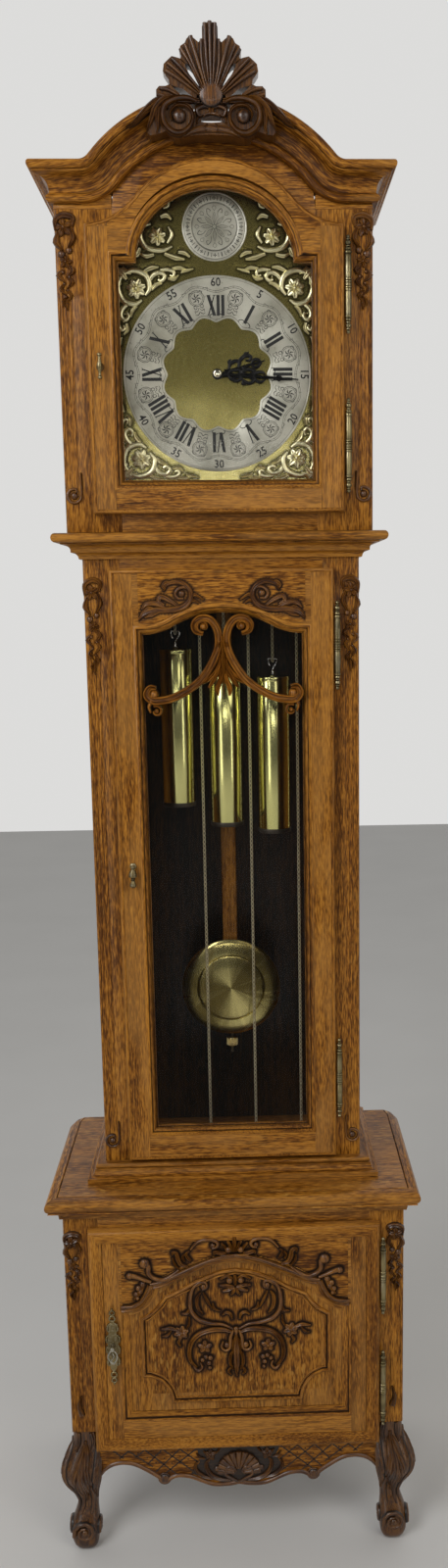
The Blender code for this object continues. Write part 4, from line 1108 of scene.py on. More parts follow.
def doorFret():
    # two C-scrolls with curled ends over a hanging acanthus, carved in the round
    box = Box("trunk_door_scroll")
    back = box.y1
    depth = back - box.y0
    build = Build(62)
    for s in (-1, 1):
        route = [(0.0262, 1.3505), (0.0365, 1.354), (0.0385, 1.364), (0.03, 1.3712), (0.0175, 1.37),
                (0.0085, 1.359),
                 (0.0052, 1.342), (0.0085, 1.325), (0.0185, 1.305), (0.032, 1.287), (0.05, 1.2735),
                 (0.069, 1.264),
                 (0.085, 1.2605), (0.099, 1.261), (0.1055, 1.269), (0.101, 1.278), (0.0925, 1.2775)]
        stroke(build, [(s * x, z) for x, z in route], [0.006, 0.0085, 0.0105, 0.0112, 0.0112, 0.0112,
                0.0112, 0.0115, 0.01, 0.006],
               depth - 0.001, back, "band", 5)
        volute(build, s * 0.0262, 1.3605, 0.0108, -90 if s > 0 else 270, 330 * s, back, depth - 0.0012,
               0.0042)
        dome(build, s * 0.0262, 1.3605, back, 0.0054, depth, 12)
        dome(build, s * 0.0955, 1.269, back, 0.0072, depth + 0.0006, 12)
        volute(build, s * 0.0925, 1.246, 0.0098, 60 if s > 0 else 120, 300 * s, back, depth - 0.002,
               0.004)
        stroke(build, [(s * 0.099, 1.26), (s * 0.103, 1.252), (s * 0.1005, 1.244)], [0.007, 0.005, 0.003],
               depth - 0.003, back, "round", 3)
        leaves = (((0.0, 1.345), (0.003, 1.318), (0.008, 1.3), (0.0145, 1.286), (0.0205, 1.277)),
                  ((0.0, 1.33), (0.0065, 1.306), (0.0165, 1.292), (0.0285, 1.283)),
                  ((0.0, 1.315), (0.0035, 1.292), (0.0085, 1.276), (0.008, 1.266)))
        for leaf in leaves:
            stroke(build, [(s * x, z) for x, z in leaf], [0.003, 0.0065, 0.0085, 0.0035], [0.004,
                    depth - 0.003, depth - 0.002, 0.004],
                   back, "leaf", 4)
    frond(build, [(0.0, 1.347), (0.0, 1.31), (0.0, 1.263)], 0.0135, depth - 0.0012, back, 4, 0.9)
    build.piece("trunkDoorFret", "trunk_door", ("fretwork",), ("trunk_door_scroll",), 0.0, 50)


def shadowSkin(name, body, carving, box, step, plane, material, clip=None, reach=0.0042, depth=0.85,
        grainAxis=2):
    # a fine skin over a carved field, with painted shade darkening it close to the carving
    tree = mathutils.kdtree.KDTree(len(carving.verts))
    for index, point in enumerate(carving.verts):
        tree.insert((point[0], plane, point[2]), index)
    tree.balance()
    across = int((box[1] - box[0]) / step) + 1
    up = int((box[3] - box[2]) / step) + 1
    build = Build(9)
    spots, wear = [], []
    for j in range(up + 1):
        for i in range(across + 1):
            x, z = box[0] + (box[1] - box[0]) * i / across, box[2] + (box[3] - box[2]) * j / up
            gap = tree.find((x, plane, z))[2]
            # sink gives both a slight lift and the strength of the painted shade near the carving
            sink = math.exp(-(gap / reach) ** 1.5)
            spots.append((x, plane - 0.0005 + 0.0004 * sink, z))
            wear.append(-depth * sink)
    wide = across + 1
    faces = [(j * wide + i, j * wide + i + 1, (j + 1) * wide + i + 1, (j + 1) * wide + i)
             for j in range(up) for i in range(across)
             if clip is None or inside(clip, 0.5 * (spots[j * wide + i][0] + spots[j * wide + i + 1][0]),
                     spots[j * wide + i][2])]
    used = sorted({index for face in faces for index in face})
    place = {old: new for new, old in enumerate(used)}
    build.add([spots[i] for i in used], [tuple(place[i] for i in face) for face in faces], grainAxis, 0,
            None,
              [wear[i] for i in used])
    return build.piece(name, body, (material,), (), 0.0, 60)


def inside(outline, x, z):
    hit = False
    for (x0, z0), (x1, z1) in zip(outline, outline[1:] + outline[:1]):
        if (z0 > z) != (z1 > z) and x < x0 + (z - z0) * (x1 - x0) / (z1 - z0):
            hit = not hit
    return hit


def trunkSprays():
    # the leaf scroll carved on each side of the trunk door's upper rail
    plane = Box("trunk_door_frame").y0 + doorLook["bead"]
    strokes = [([(915, 232), (903, 208), (865, 198), (832, 210), (812, 240), (822, 276), (850, 298), (900,
            306), (950, 306),
                 (990, 318), (1014, 342)], [3, 8, 11, 11, 12, 13, 14, 14, 13, 11, 4], 3.6, "leaf"),
               ([(813, 240), (828, 220), (856, 222), (872, 242), (862, 262), (842, 262)], [7, 7, 7, 5],
                2.8, "round"),
               ([(862, 292), (892, 270), (926, 254), (936, 272), (916, 288)], [5, 12, 12, 7], 3.0,
                "leaf"),
               ([(905, 302), (945, 280), (982, 282), (1000, 302)], [5, 13, 11, 4], 2.8, "leaf"),
               ([(945, 306), (975, 298), (1006, 322)], [5, 9, 4], 2.4, "leaf"),
               ([(930, 312), (965, 325), (990, 334)], [4, 9, 3], 2.2, "leaf"),
               ([(815, 258), (798, 248), (765, 268)], [9, 8, 3], 2.4, "leaf"),
               ([(822, 276), (802, 270), (780, 282)], [6, 7, 3], 2.2, "leaf"),
               ([(885, 205), (905, 200), (918, 214), (908, 226)], [5, 9, 8, 4], 2.8, "leaf")]
    build = Build(63)
    scale = 0.000357
    for s in (-1, 1):
        def at(px, py):
            return s * (0.055 + (px - 850) * scale), 1.404 - (py - 245) * 0.000347
        for path, widths, height, kind in strokes:
            stroke(build, [at(*p) for p in path], [w * scale * 1.75 for w in widths], [0.001 * height * k
                    for k in (0.5, 1.0, 0.5)],
                   plane, kind, 4)
        dome(build, *at(848, 243), plane, 0.0046, 0.0034)
    build.piece("trunkDoorSprays", "trunk_door", ("relief",), (), 0.0, 50)
    # the skin keeps above the glazed opening's arched top
    look = doorLook["trunkGround"]
    half, top = look["half"], look["top"]
    line = [(x, z + look["rise"]) for x, z in ogeeLine(trunkOgee, doorLook["trunkSightHalf"], 0.0, (8,
            14))]
    rail = [(half, top), (half, line[0][1])] + line + [(-x, z) for x, z in reversed(line)][1:]
    rail += [(-half, line[0][1]), (-half, top)]
    shadowSkin("trunkGround", "trunk_door", build, (-half, half, 1.366, 1.432), 0.0014,
             plane, "oak", rail, 0.003, 0.8, 0)


def baseSight(inset=0.0, foot=0.205):
    # lower opening of the cupboard door: straight sides, scooped shoulders and a low arch
    crown, spring, half = 0.463, 0.383, 0.168
    cusp = (0.1225, 0.42)
    right = [(half - inset, foot + inset), (half - inset, spring - inset)]
    for i in range(1, 9):
        t = 0.5 * math.pi * i / 9
        right.append((half - inset - (half - cusp[0]) * math.sin(t), spring - inset
                + (cusp[1] - spring) * (1 - math.cos(t))))
    for i in range(17):
        t = i / 16
        x = cusp[0] * (1 - t)
        bow = (crown - cusp[1]) * (1.0 - (1 - t) ** 2.0)
        right.append((x * (1 - inset / 0.168), cusp[1] + bow - inset))
    return mirrored(right)


def doorPoint(px, py):
    # carving sketch units to metres on the cupboard door
    level = py + 0.033 * (px - 756)
    return ((px - 756) * 0.000276,
            float(np.interp(level, [180, 213, 333, 410, 455, 580, 639, 922, 1000], [0.507, 0.496, 0.463,
                    0.438, 0.421, 0.384, 0.366, 0.278, 0.254])))


def buildBaseDoor():
    box = Box("base_door_frame")
    front, back = box.y0, box.y1
    half, low, high = box.x1, box.z0, box.z1
    build = Build(71)
    border = [(0.0, -0.0145), (0.0, -0.004), (0.0012, -0.0018), (0.0034, -0.0004), (0.0062, 0.0), (0.01,
            -0.0003),
              (0.015, -0.0012), (0.0188, -0.0024), (0.0196, -0.0036), (0.0196, -0.0044), (0.0212,
                      -0.0046), (0.0214, -0.0145)]
    for path in ([(half, low), (half, high), (-half, high), (-half, low)],):
        sweepBody(build, path, border, front)
    field = front + 0.0046
    for side in (-1, 1):
        boardBody(build, sorted((side * 0.168, side * (half - 0.02))), (field - 0.0006, back),
                (low + 0.019, high - 0.019), 2)
    boardBody(build, (-0.168, 0.168), (field - 0.0006, back), (low + 0.019, 0.205), 0)
    sight = baseSight()
    arch = [(x, z) for x, z in sight if z > 0.3825]
    rail = [(0.168, high - 0.019), (-0.168, high - 0.019)] + [(x, z) for x, z in reversed(arch)]
    plateBody(build, rail, field, back, 0, 1)
    slope = [(-0.0006, -0.0145), (-0.0006, -0.0045), (0.003, -0.0052), (0.012, -0.0086), (0.012, -0.0145)]
    sweepBody(build, arch, slope, front, False, 1)
    steps = [(-0.0008, -0.0145), (-0.0008, -0.004), (0.0, -0.003), (0.0016, -0.0026), (0.003, -0.0034),
            (0.0036, -0.0052),
             (0.007, -0.0056), (0.011, -0.0068), (0.0128, -0.0074), (0.0132, -0.0092), (0.015, -0.0092),
             (0.015, -0.0145)]
    sides = [(-0.168, 0.383), (-0.168, 0.205), (0.168, 0.205), (0.168, 0.383)]
    sweepBody(build, sides, steps, front, False, 2)
    build.piece("baseDoorFrame", "base_door", ("oak", "flecked", "moulded"), ("base_door_frame",), 0.0,
            32)

    panel = Build(72)
    plateBody(panel, baseSight(0.0004), front + 0.0088, front + 0.0118, 2)
    right = [doorPoint(*p) for p in ((1120, 520), (1150, 558), (1190, 596), (1240, 626))]
    crown = [doorPoint(*p) for p in ((770, 410), (850, 418), (950, 446), (1030, 484), (1120, 520))]
    outline = [(0.092, 0.235), (0.0965, 0.252), (0.108, 0.268), (0.1235, 0.2765), (0.134, 0.278), (0.134,
            0.3655)]
    outline += [(x, z) for x, z in smoothLine(right[::-1], 4)][1:] + smoothLine(crown[::-1], 4)[1:-1]
    line = smoothLine(outline[:5], 4) + outline[5:]
    path = mirrored([(x, z) for x, z in line] + [(0.0, 0.4385)])
    rib = [(-0.005, -0.004), (-0.0048, 0.0002), (-0.0036, 0.0026), (-0.0018, 0.0036), (0.0, 0.0028),
           (0.0008, 0.0006),
           (0.002, 0.0004), (0.0032, 0.0018), (0.0044, 0.0016), (0.0054, -0.0006), (0.0054, -0.004)]
    sweepBody(panel, path, rib, front + 0.0088, True, 1)
    panel.piece("baseDoorPanel", "base_door", ("panel", "moulded"), ("base_door_panel",), 0.0, 32)


def baseDoorCarving():
    front = Box("base_door_frame").y0
    crown, field, panel = front + 0.0034, front + 0.0046, front + 0.0088
    scale = 0.000276
    build = Build(73)

    def limb(points, widths, height, plane, kind="round", steps=4, both=True):
        for s in (-1, 1) if both else (1,):
            line = [doorPoint(*p) for p in points]
            stroke(build, [(s * x, z) for x, z in line], [w * scale * 1.32 for w in widths],
                   [height * 0.00125 * k for k in (0.6, 1.0, 1.0, 0.55)], plane, kind, steps)

    def ball(px, py, r, height, plane, both=True):
        for s in (-1, 1) if both else (1,):
            x, z = doorPoint(px, py)
            dome(build, s * x, z, plane, r * scale * 1.15, height * 0.0012)

    # ribbon arch with two ribs
    limb([(756, 333), (850, 342), (950, 368), (1050, 403), (1130, 430), (1198, 442)], [27, 27, 27, 26],
         4.6, field, "band", 6)
    limb([(1198, 440), (1220, 484), (1250, 524), (1296, 548), (1356, 554)], [26, 25, 25, 27], 4.6, field,
         "band", 6)
    # cresting above the arch
    limb([(872, 276), (850, 270), (842, 250), (858, 232), (900, 222), (950, 236), (985, 276)], [8, 13, 15,
            17, 16, 13, 6], 4.0, crown)
    ball(868, 260, 13, 3.6, crown)
    ball(788, 288, 16, 5.0, crown)
    limb([(756, 300), (756, 250), (756, 214)], [10, 20, 16], 4.6, crown, "leaf", 4, False)
    limb([(766, 300), (778, 262), (792, 238)], [6, 14, 12], 4.0, crown, "leaf")
    limb([(790, 300), (808, 268), (826, 250)], [6, 12, 9], 3.6, crown, "leaf")
    limb([(800, 306), (830, 304), (858, 296), (862, 312)], [10, 18, 15, 8], 3.8, crown, "leaf")
    limb([(756, 322), (790, 320), (830, 318)], [10, 12, 8], 3.6, crown)
    limb([(985, 340), (1000, 322), (1008, 300), (990, 286)], [10, 15, 12, 6], 3.4, field, "leaf")
    limb([(1000, 366), (1036, 352), (1052, 322), (1058, 292), (1078, 286), (1080, 304)], [10, 20, 22, 18,
            14, 8], 4.2, field, "leaf")
    limb([(1048, 372), (1072, 346), (1078, 318)], [8, 12, 6], 3.2, field, "leaf")
    limb([(1018, 340), (1026, 318), (1016, 300)], [8, 12, 6], 3.2, field, "leaf")
    # hooks at the shoulders
    limb([(1048, 378), (1086, 402), (1130, 416), (1176, 408), (1206, 384), (1208, 352), (1222, 334)], [12,
            17, 19, 19, 20, 24, 26], 4.8, field)
    ball(1226, 338, 25, 5.4, field)
    limb([(1196, 424), (1236, 410), (1270, 398), (1304, 392)], [14, 17, 20, 26], 4.2, field)
    ball(1306, 392, 17, 4.6, field)
    for px, py, r in ((1240, 430, 15), (1262, 448, 15), (1252, 466, 13), (1275, 478, 13), (1268, 500,
            11)):
        ball(px, py, r, 4.0, field)
    limb([(1232, 420), (1252, 462), (1284, 508)], [14, 22, 8], 3.0, field, "leaf")
    # cartouche: two large scrolls, a shell head and berries
    limb([(930, 486), (908, 474), (912, 448), (946, 446), (980, 472), (994, 528), (990, 590), (952, 640),
          (890, 664), (826, 674),
          (772, 700)], [9, 12, 14, 15, 17, 19, 20, 19, 16, 13, 9], 4.2, panel, "round", 5)
    ball(924, 468, 14, 4.0, panel)
    limb([(940, 500), (958, 530), (954, 580), (930, 616)], [6, 18, 18, 6], 3.0, panel, "leaf")
    limb([(925, 500), (905, 545), (880, 590)], [6, 13, 5], 2.4, panel, "leaf")
    limb([(990, 560), (1008, 600), (1040, 606)], [8, 16, 6], 2.8, panel, "leaf")
    ball(786, 446, 16, 4.8, panel)
    limb([(756, 470), (756, 440), (756, 424)], [10, 18, 12], 4.0, panel, "leaf", 4, False)
    limb([(770, 440), (800, 425), (835, 440)], [10, 16, 8], 3.2, panel, "leaf")
    limb([(764, 478), (800, 470), (838, 468)], [10, 18, 9], 3.2, panel, "leaf")
    limb([(760, 484), (790, 492), (822, 500)], [10, 17, 8], 2.8, panel, "leaf")
    limb([(758, 486), (766, 505), (780, 524)], [10, 16, 6], 2.6, panel, "leaf")
    limb([(876, 560), (868, 590), (840, 604)], [7, 12, 5], 2.4, panel, "leaf")
    limb([(776, 650), (784, 622), (806, 612), (828, 626)], [7, 14, 14, 6], 3.0, panel, "leaf")
    # the lower pair of scrolls with their flowers
    limb([(770, 706), (786, 740), (790, 790), (812, 806), (834, 788), (826, 760)], [10, 15, 15, 13, 11,
            7], 4.0, panel)
    ball(806, 780, 16, 4.6, panel)
    limb([(776, 716), (820, 700), (880, 696), (944, 710), (988, 746), (1006, 800), (1000, 850), (970,
            886)],
         [12, 19, 22, 22, 21, 19, 16, 9], 4.4, panel, "leaf", 5)
    limb([(986, 880), (962, 902), (940, 884), (950, 862)], [8, 14, 12, 6], 3.8, panel)
    for s in (-1, 1):
        x, z = doorPoint(924, 784)
        rosette(build, s * x, z, 0.01, panel, 0.0036, 5)
        x, z = doorPoint(1046, 704)
        rosette(build, s * x, z, 0.0108, panel, 0.0034, 6)
    for px, py, r in ((896, 842, 13), (920, 836, 12), (904, 868, 12), (938, 850, 11), (900, 892, 9)):
        ball(px, py, r, 3.6, panel)
    limb([(1066, 690), (1104, 676), (1150, 680)], [10, 18, 6], 2.8, panel, "leaf")
    limb([(1050, 735), (1062, 752), (1050, 772)], [10, 14, 5], 2.6, panel, "leaf")
    limb([(1020, 690), (1004, 660), (1002, 625)], [6, 12, 5], 2.4, panel, "leaf")
    limb([(1100, 690), (1120, 712), (1146, 716)], [6, 12, 4], 2.2, panel, "leaf")
    # pendant leaf in the middle
    limb([(756, 720), (756, 800), (756, 880), (756, 944)], [10, 30, 28, 8], 4.0, panel, "leaf", 5, False)
    limb([(762, 800), (786, 830), (790, 876), (776, 912)], [6, 15, 15, 6], 3.6, panel, "leaf")
    limb([(760, 740), (778, 780), (776, 826)], [6, 14, 5], 3.2, panel, "leaf")
    limb([(778, 890), (800, 915), (786, 936)], [6, 13, 5], 2.8, panel, "leaf")
    limb([(760, 690), (756, 710), (756, 730)], [16, 18, 10], 4.6, panel)
    build.piece("baseDoorCarving", "base_door", ("relief",), (), 0.0, 50)
    sky = mirrored([(0.1645, baseSight()[1][1] + 0.004), (0.1645, 0.501)])
    sky += [(x, z + 0.002) for x, z in reversed(baseSight()) if z > 0.3825]
    shadowSkin("fieldGround", "base_door", build, (-0.164, 0.164, 0.386, 0.5), 0.0016, field, "flecked",
            sky, 0.0038, 0.85, 0)
    shadowSkin("panelGround", "base_door", build, (-0.124, 0.124, 0.246, 0.432), 0.0016, panel, "panel",
            baseSight(0.016))


buildHoodDoor()
buildTrunkDoor()
doorFret()
trunkSprays()
buildBaseDoor()
baseDoorCarving()
print("clock: doors made")

# carving on the case
def crestPoint(px, py):
    # carving sketch units to metres on the crest
    return (px - 750) * 0.000357, 2.0986 - (py - 68) * 0.0003245


def buildCrest():
    box = Box("hood_crest")
    back = box.y1
    lobePlane = back - 0.03
    build = Build(81)

    def plate(points, y0, y1, both=True):
        for s in (-1, 1) if both else (1,):
            plateBody(build, [(s * x, z) for x, z in (crestPoint(*p) for p in points)], y0, y1, 2)

    def limb(points, widths, height, plane, kind="round", steps=4, both=True):
        for s in (-1, 1) if both else (1,):
            line = [crestPoint(*p) for p in points]
            stroke(build, [(s * x, z) for x, z in line], [w * 0.000357 for w in widths],
                   [height * 0.001 * k for k in (0.7, 1.0, 1.0, 0.7)], plane, kind, steps)

    plate([(750, 67), (772, 70), (777, 84), (777, 124), (790, 138), (790, 250), (772, 300), (750, 300)],
          lobePlane, lobePlane + 0.02)
    plate([(770, 296), (788, 250), (788, 140), (801, 128), (818, 114), (831, 126), (838, 141), (853, 151),
           (857, 170),
           (850, 188), (855, 198), (840, 213), (826, 214), (808, 232), (797, 256), (790, 276), (784,
                   300)], lobePlane, lobePlane + 0.02)
    plate([(786, 300), (806, 274), (824, 250), (838, 222), (838, 210), (855, 195), (868, 191), (884, 187),
           (896, 198),
           (912, 214), (916, 240), (905, 258), (896, 270), (894, 287), (873, 294), (846, 303), (822, 324),
           (806, 335), (790, 330)],
          lobePlane, lobePlane + 0.02)
    plate([(786, 326), (806, 334), (820, 342), (848, 330), (876, 303), (892, 285), (908, 292), (930, 292),
           (941, 305),
           (941, 333), (927, 346), (880, 350), (830, 356), (786, 352)], lobePlane, lobePlane + 0.02)
    plate([(750, 290), (790, 290), (800, 330), (800, 352), (750, 352)], lobePlane, lobePlane + 0.02)
    limb([(750, 292), (750, 180), (750, 66)], [9, 15, 15], 5.0, lobePlane, "round", 6, False)
    limb([(756, 296), (764, 190), (768, 72)], [7, 13, 14], 5.0, lobePlane, "round", 6)
    limb([(762, 300), (779, 215), (781, 128)], [6, 10, 9], 3.6, lobePlane, "round", 6)
    limb([(768, 302), (792, 215), (818, 118)], [8, 15, 17], 5.0, lobePlane, "round", 6)
    limb([(774, 306), (806, 228), (836, 148)], [6, 13, 14], 4.6, lobePlane, "round", 6)
    limb([(780, 308), (818, 222), (852, 160)], [6, 12, 16], 4.6, lobePlane, "round", 6)
    limb([(786, 310), (838, 246), (882, 196)], [8, 15, 18], 5.0, lobePlane, "round", 6)
    limb([(790, 316), (848, 258), (898, 212)], [6, 13, 15], 4.6, lobePlane, "round", 6)
    limb([(792, 324), (852, 276), (904, 238)], [6, 13, 17], 4.6, lobePlane, "round", 6)
    limb([(792, 340), (852, 332), (896, 308), (928, 300)], [6, 10, 14, 14], 4.8, lobePlane, "round", 6)
    limb([(790, 347), (862, 342), (938, 320)], [6, 12, 14], 4.4, lobePlane, "round", 6)
    limb([(790, 352), (862, 350), (930, 340)], [6, 12, 16], 4.4, lobePlane, "round", 6)
    x, z = crestPoint(750, 318)
    dome(build, x, z, lobePlane, 0.016, 0.004, 24, 1)
    # big volutes, with leaves that fold outwards over the cornice
    front = back - 0.0385
    body = [(862, 346), (906, 352), (936, 372), (962, 412), (978, 452), (966, 470), (940, 466), (905,
            452), (880, 474),
            (850, 474), (822, 456), (806, 430), (806, 392), (820, 362)]
    plate(body, front + 0.006, back)
    limb([(800, 352), (830, 340), (872, 342), (908, 362), (920, 400), (908, 440), (876, 464), (842, 458),
          (818, 430), (816, 394),
          (840, 368), (872, 368), (892, 392), (888, 420)], [12, 18, 21, 22, 22, 22, 20, 18, 15, 13, 11, 9,
                  6], 7.4, front + 0.0062,
         "groove", 5)
    for s in (-1, 1):
        x, z = crestPoint(862, 403)
        dome(build, s * x, z, front + 0.0062, 0.009, 0.0072, 16)
    limb([(850, 342), (905, 338), (944, 372), (962, 420), (976, 456)], [10, 22, 24, 18, 6], 5.0, front
         + 0.0068, "leaf", 5)
    limb([(880, 352), (926, 366), (938, 404), (938, 440), (944, 464)], [8, 18, 20, 14, 6], 4.6, front
         + 0.0066, "leaf", 5)
    limb([(900, 372), (924, 396), (922, 432), (906, 456)], [8, 16, 15, 6], 4.0, front + 0.0066, "leaf", 5)
    # leaf run out along the cornice
    limb([(880, 338), (930, 340), (968, 366), (1004, 404), (1040, 440)], [14, 26, 24, 18, 6], 5.5,
         front + 0.01, "leaf", 5)
    limb([(930, 350), (980, 388), (1018, 424), (1050, 440)], [10, 18, 15, 5], 5.0, front + 0.01, "leaf",
         5)
    # knot and rail between the volutes, with the small opening
    plate([(750, 352), (806, 352), (812, 388), (782, 392), (750, 392)], back - 0.024, back - 0.006)
    plate([(778, 388), (812, 380), (818, 448), (782, 440), (786, 410)], back - 0.024, back - 0.006)
    low = [(750, 422), (786, 420), (822, 440), (868, 470), (864, 476), (810, 467), (750, 464)]
    plate(low, back - 0.03, back)
    limb([(750, 444), (800, 448), (850, 470)], [26, 24, 12], 3.8, back - 0.03, "groove", 5)
    limb([(752, 366), (776, 360), (800, 372), (794, 394), (778, 388)], [10, 14, 16, 12, 7], 5.4,
         back - 0.024)
    limb([(750, 384), (768, 388), (780, 398)], [12, 12, 6], 4.6, back - 0.024)
    limb([(750, 358), (750, 374), (750, 388)], [22, 26, 12], 5.0, back - 0.024, "leaf", 4, False)
    limb([(764, 428), (772, 440), (770, 456)], [6, 10, 6], 3.0, back - 0.031, "leaf", 3)
    limb([(796, 402), (806, 424), (830, 446)], [12, 16, 10], 4.4, back - 0.026, "leaf", 4)
    build.piece("hoodCrest", "case", ("crest", "fret"), ("hood_crest",), 0.0, 50)


def cornerDrop(build, side, x, top, plane, length, wide):
    # a hanging bunch down a corner: leaf hook, flower, leaves and tapering buds
    def at(u, v):
        return side * (x + u * wide), top - v * length
    h = 0.0042
    stroke(build, [at(-0.4, 0.12), at(-0.48, 0.03), at(0.0, 0.0), at(0.45, 0.05), at(0.48, 0.16)],
           [0.2 * wide, 0.34 * wide, 0.42 * wide, 0.34 * wide, 0.16 * wide], [0.6 * h, h, 1.15 * h, h,
                   0.6 * h], plane, "leaf", 4)
    rosette(build, *at(0.05, 0.13), 0.5 * wide, plane, 1.1 * h, 5, 0.5)
    stroke(build, [at(-0.3, 0.14), at(-0.46, 0.24), at(-0.2, 0.34)], [0.2 * wide, 0.4 * wide,
            0.14 * wide], h, plane, "leaf", 4)
    stroke(build, [at(0.34, 0.18), at(0.46, 0.28), at(0.16, 0.37)], [0.2 * wide, 0.42 * wide,
            0.14 * wide], h, plane, "leaf", 4)
    dome(build, *at(-0.22, 0.37), plane, 0.2 * wide, h, 10)
    dome(build, *at(0.2, 0.41), plane, 0.22 * wide, h, 10)
    rosette(build, *at(-0.02, 0.49), 0.36 * wide, plane, h, 5, 0.1)
    for index, (u, v, size) in enumerate(((-0.2, 0.58, 0.3), (0.22, 0.63, 0.3), (-0.14, 0.7, 0.26), (0.12,
            0.77, 0.22),
                                          (-0.06, 0.84, 0.2), (0.04, 0.91, 0.16))):
        sway = 0.18 if index % 2 else -0.18
        stroke(build, [at(u - 0.6 * sway, v - 0.06), at(u + sway, v), at(u * 0.2, v + 0.075)],
               [0.5 * size * wide, 1.15 * size * wide, 0.3 * size * wide], [0.5 * h, 0.95 * h, 0.4 * h],
               plane, "leaf", 3)
        dome(build, *at(-0.8 * u, v + 0.02), plane, 0.36 * size * wide, 0.8 * h, 8)
    stroke(build, [at(0.0, 0.88), at(0.02, 0.95), at(0.0, 1.0)], [0.16 * wide, 0.2 * wide, 0.05 * wide],
           0.7 * h, plane, "leaf", 3)


def scrollStop(build, side, x, z, plane, radius=0.0098, rise=0.03):
    # the hooked scroll that ends a reeded corner
    path = [(side * (x - 0.95 * radius), z + rise), (side * (x - 1.0 * radius), z + 0.5 * rise)]
    path += [(side * (x + 0.92 * radius * math.cos(t)), z + 0.92 * radius * math.sin(t))
            for t in np.radians(np.arange(185, 500, 35))]
    path += [(side * (x - 0.35 * radius), z + 0.45 * radius)]
    stroke(build, path, [0.002, 0.0035, 0.0045, 0.0045, 0.0042, 0.003], 0.0036, plane, "round", 3)
    dome(build, side * x, z, plane, 0.52 * radius, 0.0046, 12)


def buildCornerCarving():
    build = Build(82)
    plane = Box("hood_face_frame").y0
    for s in (-1, 1):
        cornerDrop(build, s, 0.1925, 1.884, plane, 0.116, 0.0235)
        scrollStop(build, s, 0.193, 1.534, plane)
    build.piece("hoodCornerCarving", "case", ("fret",), (), 0.0, 50)
    build = Build(83)
    plane = Box("trunk_face_frame").y0
    for s in (-1, 1):
        cornerDrop(build, s, 0.176, 1.424, plane, 0.128, 0.0215)
        scrollStop(build, s, 0.1765, 0.615, plane)
    build.piece("trunkCornerCarving", "case", ("fret",), (), 0.0, 50)
    build = Build(84)
    plane = Box("base_face_frame").y0
    for s in (-1, 1):
        cornerDrop(build, s, 0.234, 0.5, plane, 0.104, 0.0215)
        stroke(build, [(s * 0.23, 0.21), (s * 0.2335, 0.225), (s * 0.23, 0.242)], [0.01, 0.007, 0.002],
               0.004, plane,
               "leaf", 4)
    build.piece("baseCornerCarving", "case", ("crest",), (), 0.0, 50)


def apronPoint(px, py):
    # carving sketch units to metres on the apron
    level = py + 0.044 * (px - 767)
    return (px - 767) * 0.0003965, float(np.interp(level, [372, 434, 477, 512], [0.153, 0.1262, 0.1035,
            0.0865]))


def buildApronCarving():
    plane = Box("base_face_frame").y0
    build = Build(85)
    scale = 0.0004
    # dark ground plate behind the shell: painted shadow in the recessed ground
    ground = [apronPoint(*p) for p in ((610, 385), (925, 370), (905, 410), (942, 455), (900, 478), (830,
            500), (767, 506),
                                       (700, 505), (640, 488), (585, 478), (620, 440))]
    plateBody(build, [(x, z) for x, z in ground], plane - 0.0005, plane + 0.004, 0, 1)

    def limb(points, widths, height, kind="round", steps=4):
        for s in (-1, 1):
            line = [apronPoint(*p) for p in points]
            stroke(build, [(s * x, z) for x, z in line], [w * scale for w in widths], [height * 0.001 * k
                    for k in (0.6, 1.0, 1.0, 0.5)],
                   plane - 0.0004, kind, steps)

    x, z = apronPoint(767, 470)
    shell(build, x, z - 0.001, 0.037, 8, 172, 11, plane - 0.0004, 0.005)
    limb([(770, 500), (792, 488), (818, 470), (812, 450), (790, 448), (778, 462), (790, 474)], [10, 14,
            15, 14, 12, 9, 6], 5.0)
    limb([(800, 492), (845, 484), (880, 462), (890, 434), (876, 416)], [10, 18, 20, 16, 7], 4.4, "leaf",
         5)
    limb([(862, 484), (904, 470), (930, 446), (926, 424)], [10, 17, 16, 6], 4.0, "leaf", 5)
    limb([(862, 420), (884, 402), (900, 384)], [8, 16, 6], 3.8, "leaf")
    limb([(858, 400), (842, 384), (838, 376)], [6, 10, 5], 3.0, "leaf")
    limb([(894, 414), (914, 408), (926, 392)], [6, 12, 5], 3.2, "leaf")
    for s in (-1, 1):
        x, z = apronPoint(874, 398)
        rosette(build, s * x, z, 0.0088, plane - 0.0004, 0.0036, 5)
        x, z = apronPoint(850, 452)
        dome(build, s * x, z, plane - 0.0004, 0.005, 0.004, 12)
        x, z = 0.1115, 0.101
        dome(build, s * x, z, plane, 0.0078, 0.0044, 16)
        stroke(build, arc((s * x, z), 0.0088, 60, 420, 12), 0.0022, 0.0018, plane, "round", 2)
        # lattice on the rail: crossed lines with a small dot in each field, thin raised dark strokes as
        # painted shade of cut grooves
        for start, end in (((922, 372), (1042, 452)), ((982, 366), (1080, 446)), ((1048, 362),
                (1110, 420)), ((1112, 358), (1156, 392)),
                           ((920, 428), (996, 366)), ((940, 455), (1060, 362)), ((1000, 462),
                                   (1128, 358)), ((1092, 430), (1190, 358)),
                           ((1176, 360), (1216, 392)), ((1200, 392), (1240, 358))):
            line = [apronPoint(*start), apronPoint(*end)]
            stroke(build, [(s * x, z) for x, z in line], 0.002, 0.00022, plane, "line", 2, 1)
        for px, py in ((958, 380), (958, 414), (988, 400), (1018, 384), (1020, 424), (1048, 404), (1080,
                388), (1080, 418), (1112, 396),
                       (1146, 376)):
            x, z = apronPoint(px, py)
            dome(build, s * x, z, plane, 0.0012, 0.0006, 6, 1)
    build.piece("apronCarving", "case", ("crest", "shadow"), (), 0.0, 50)


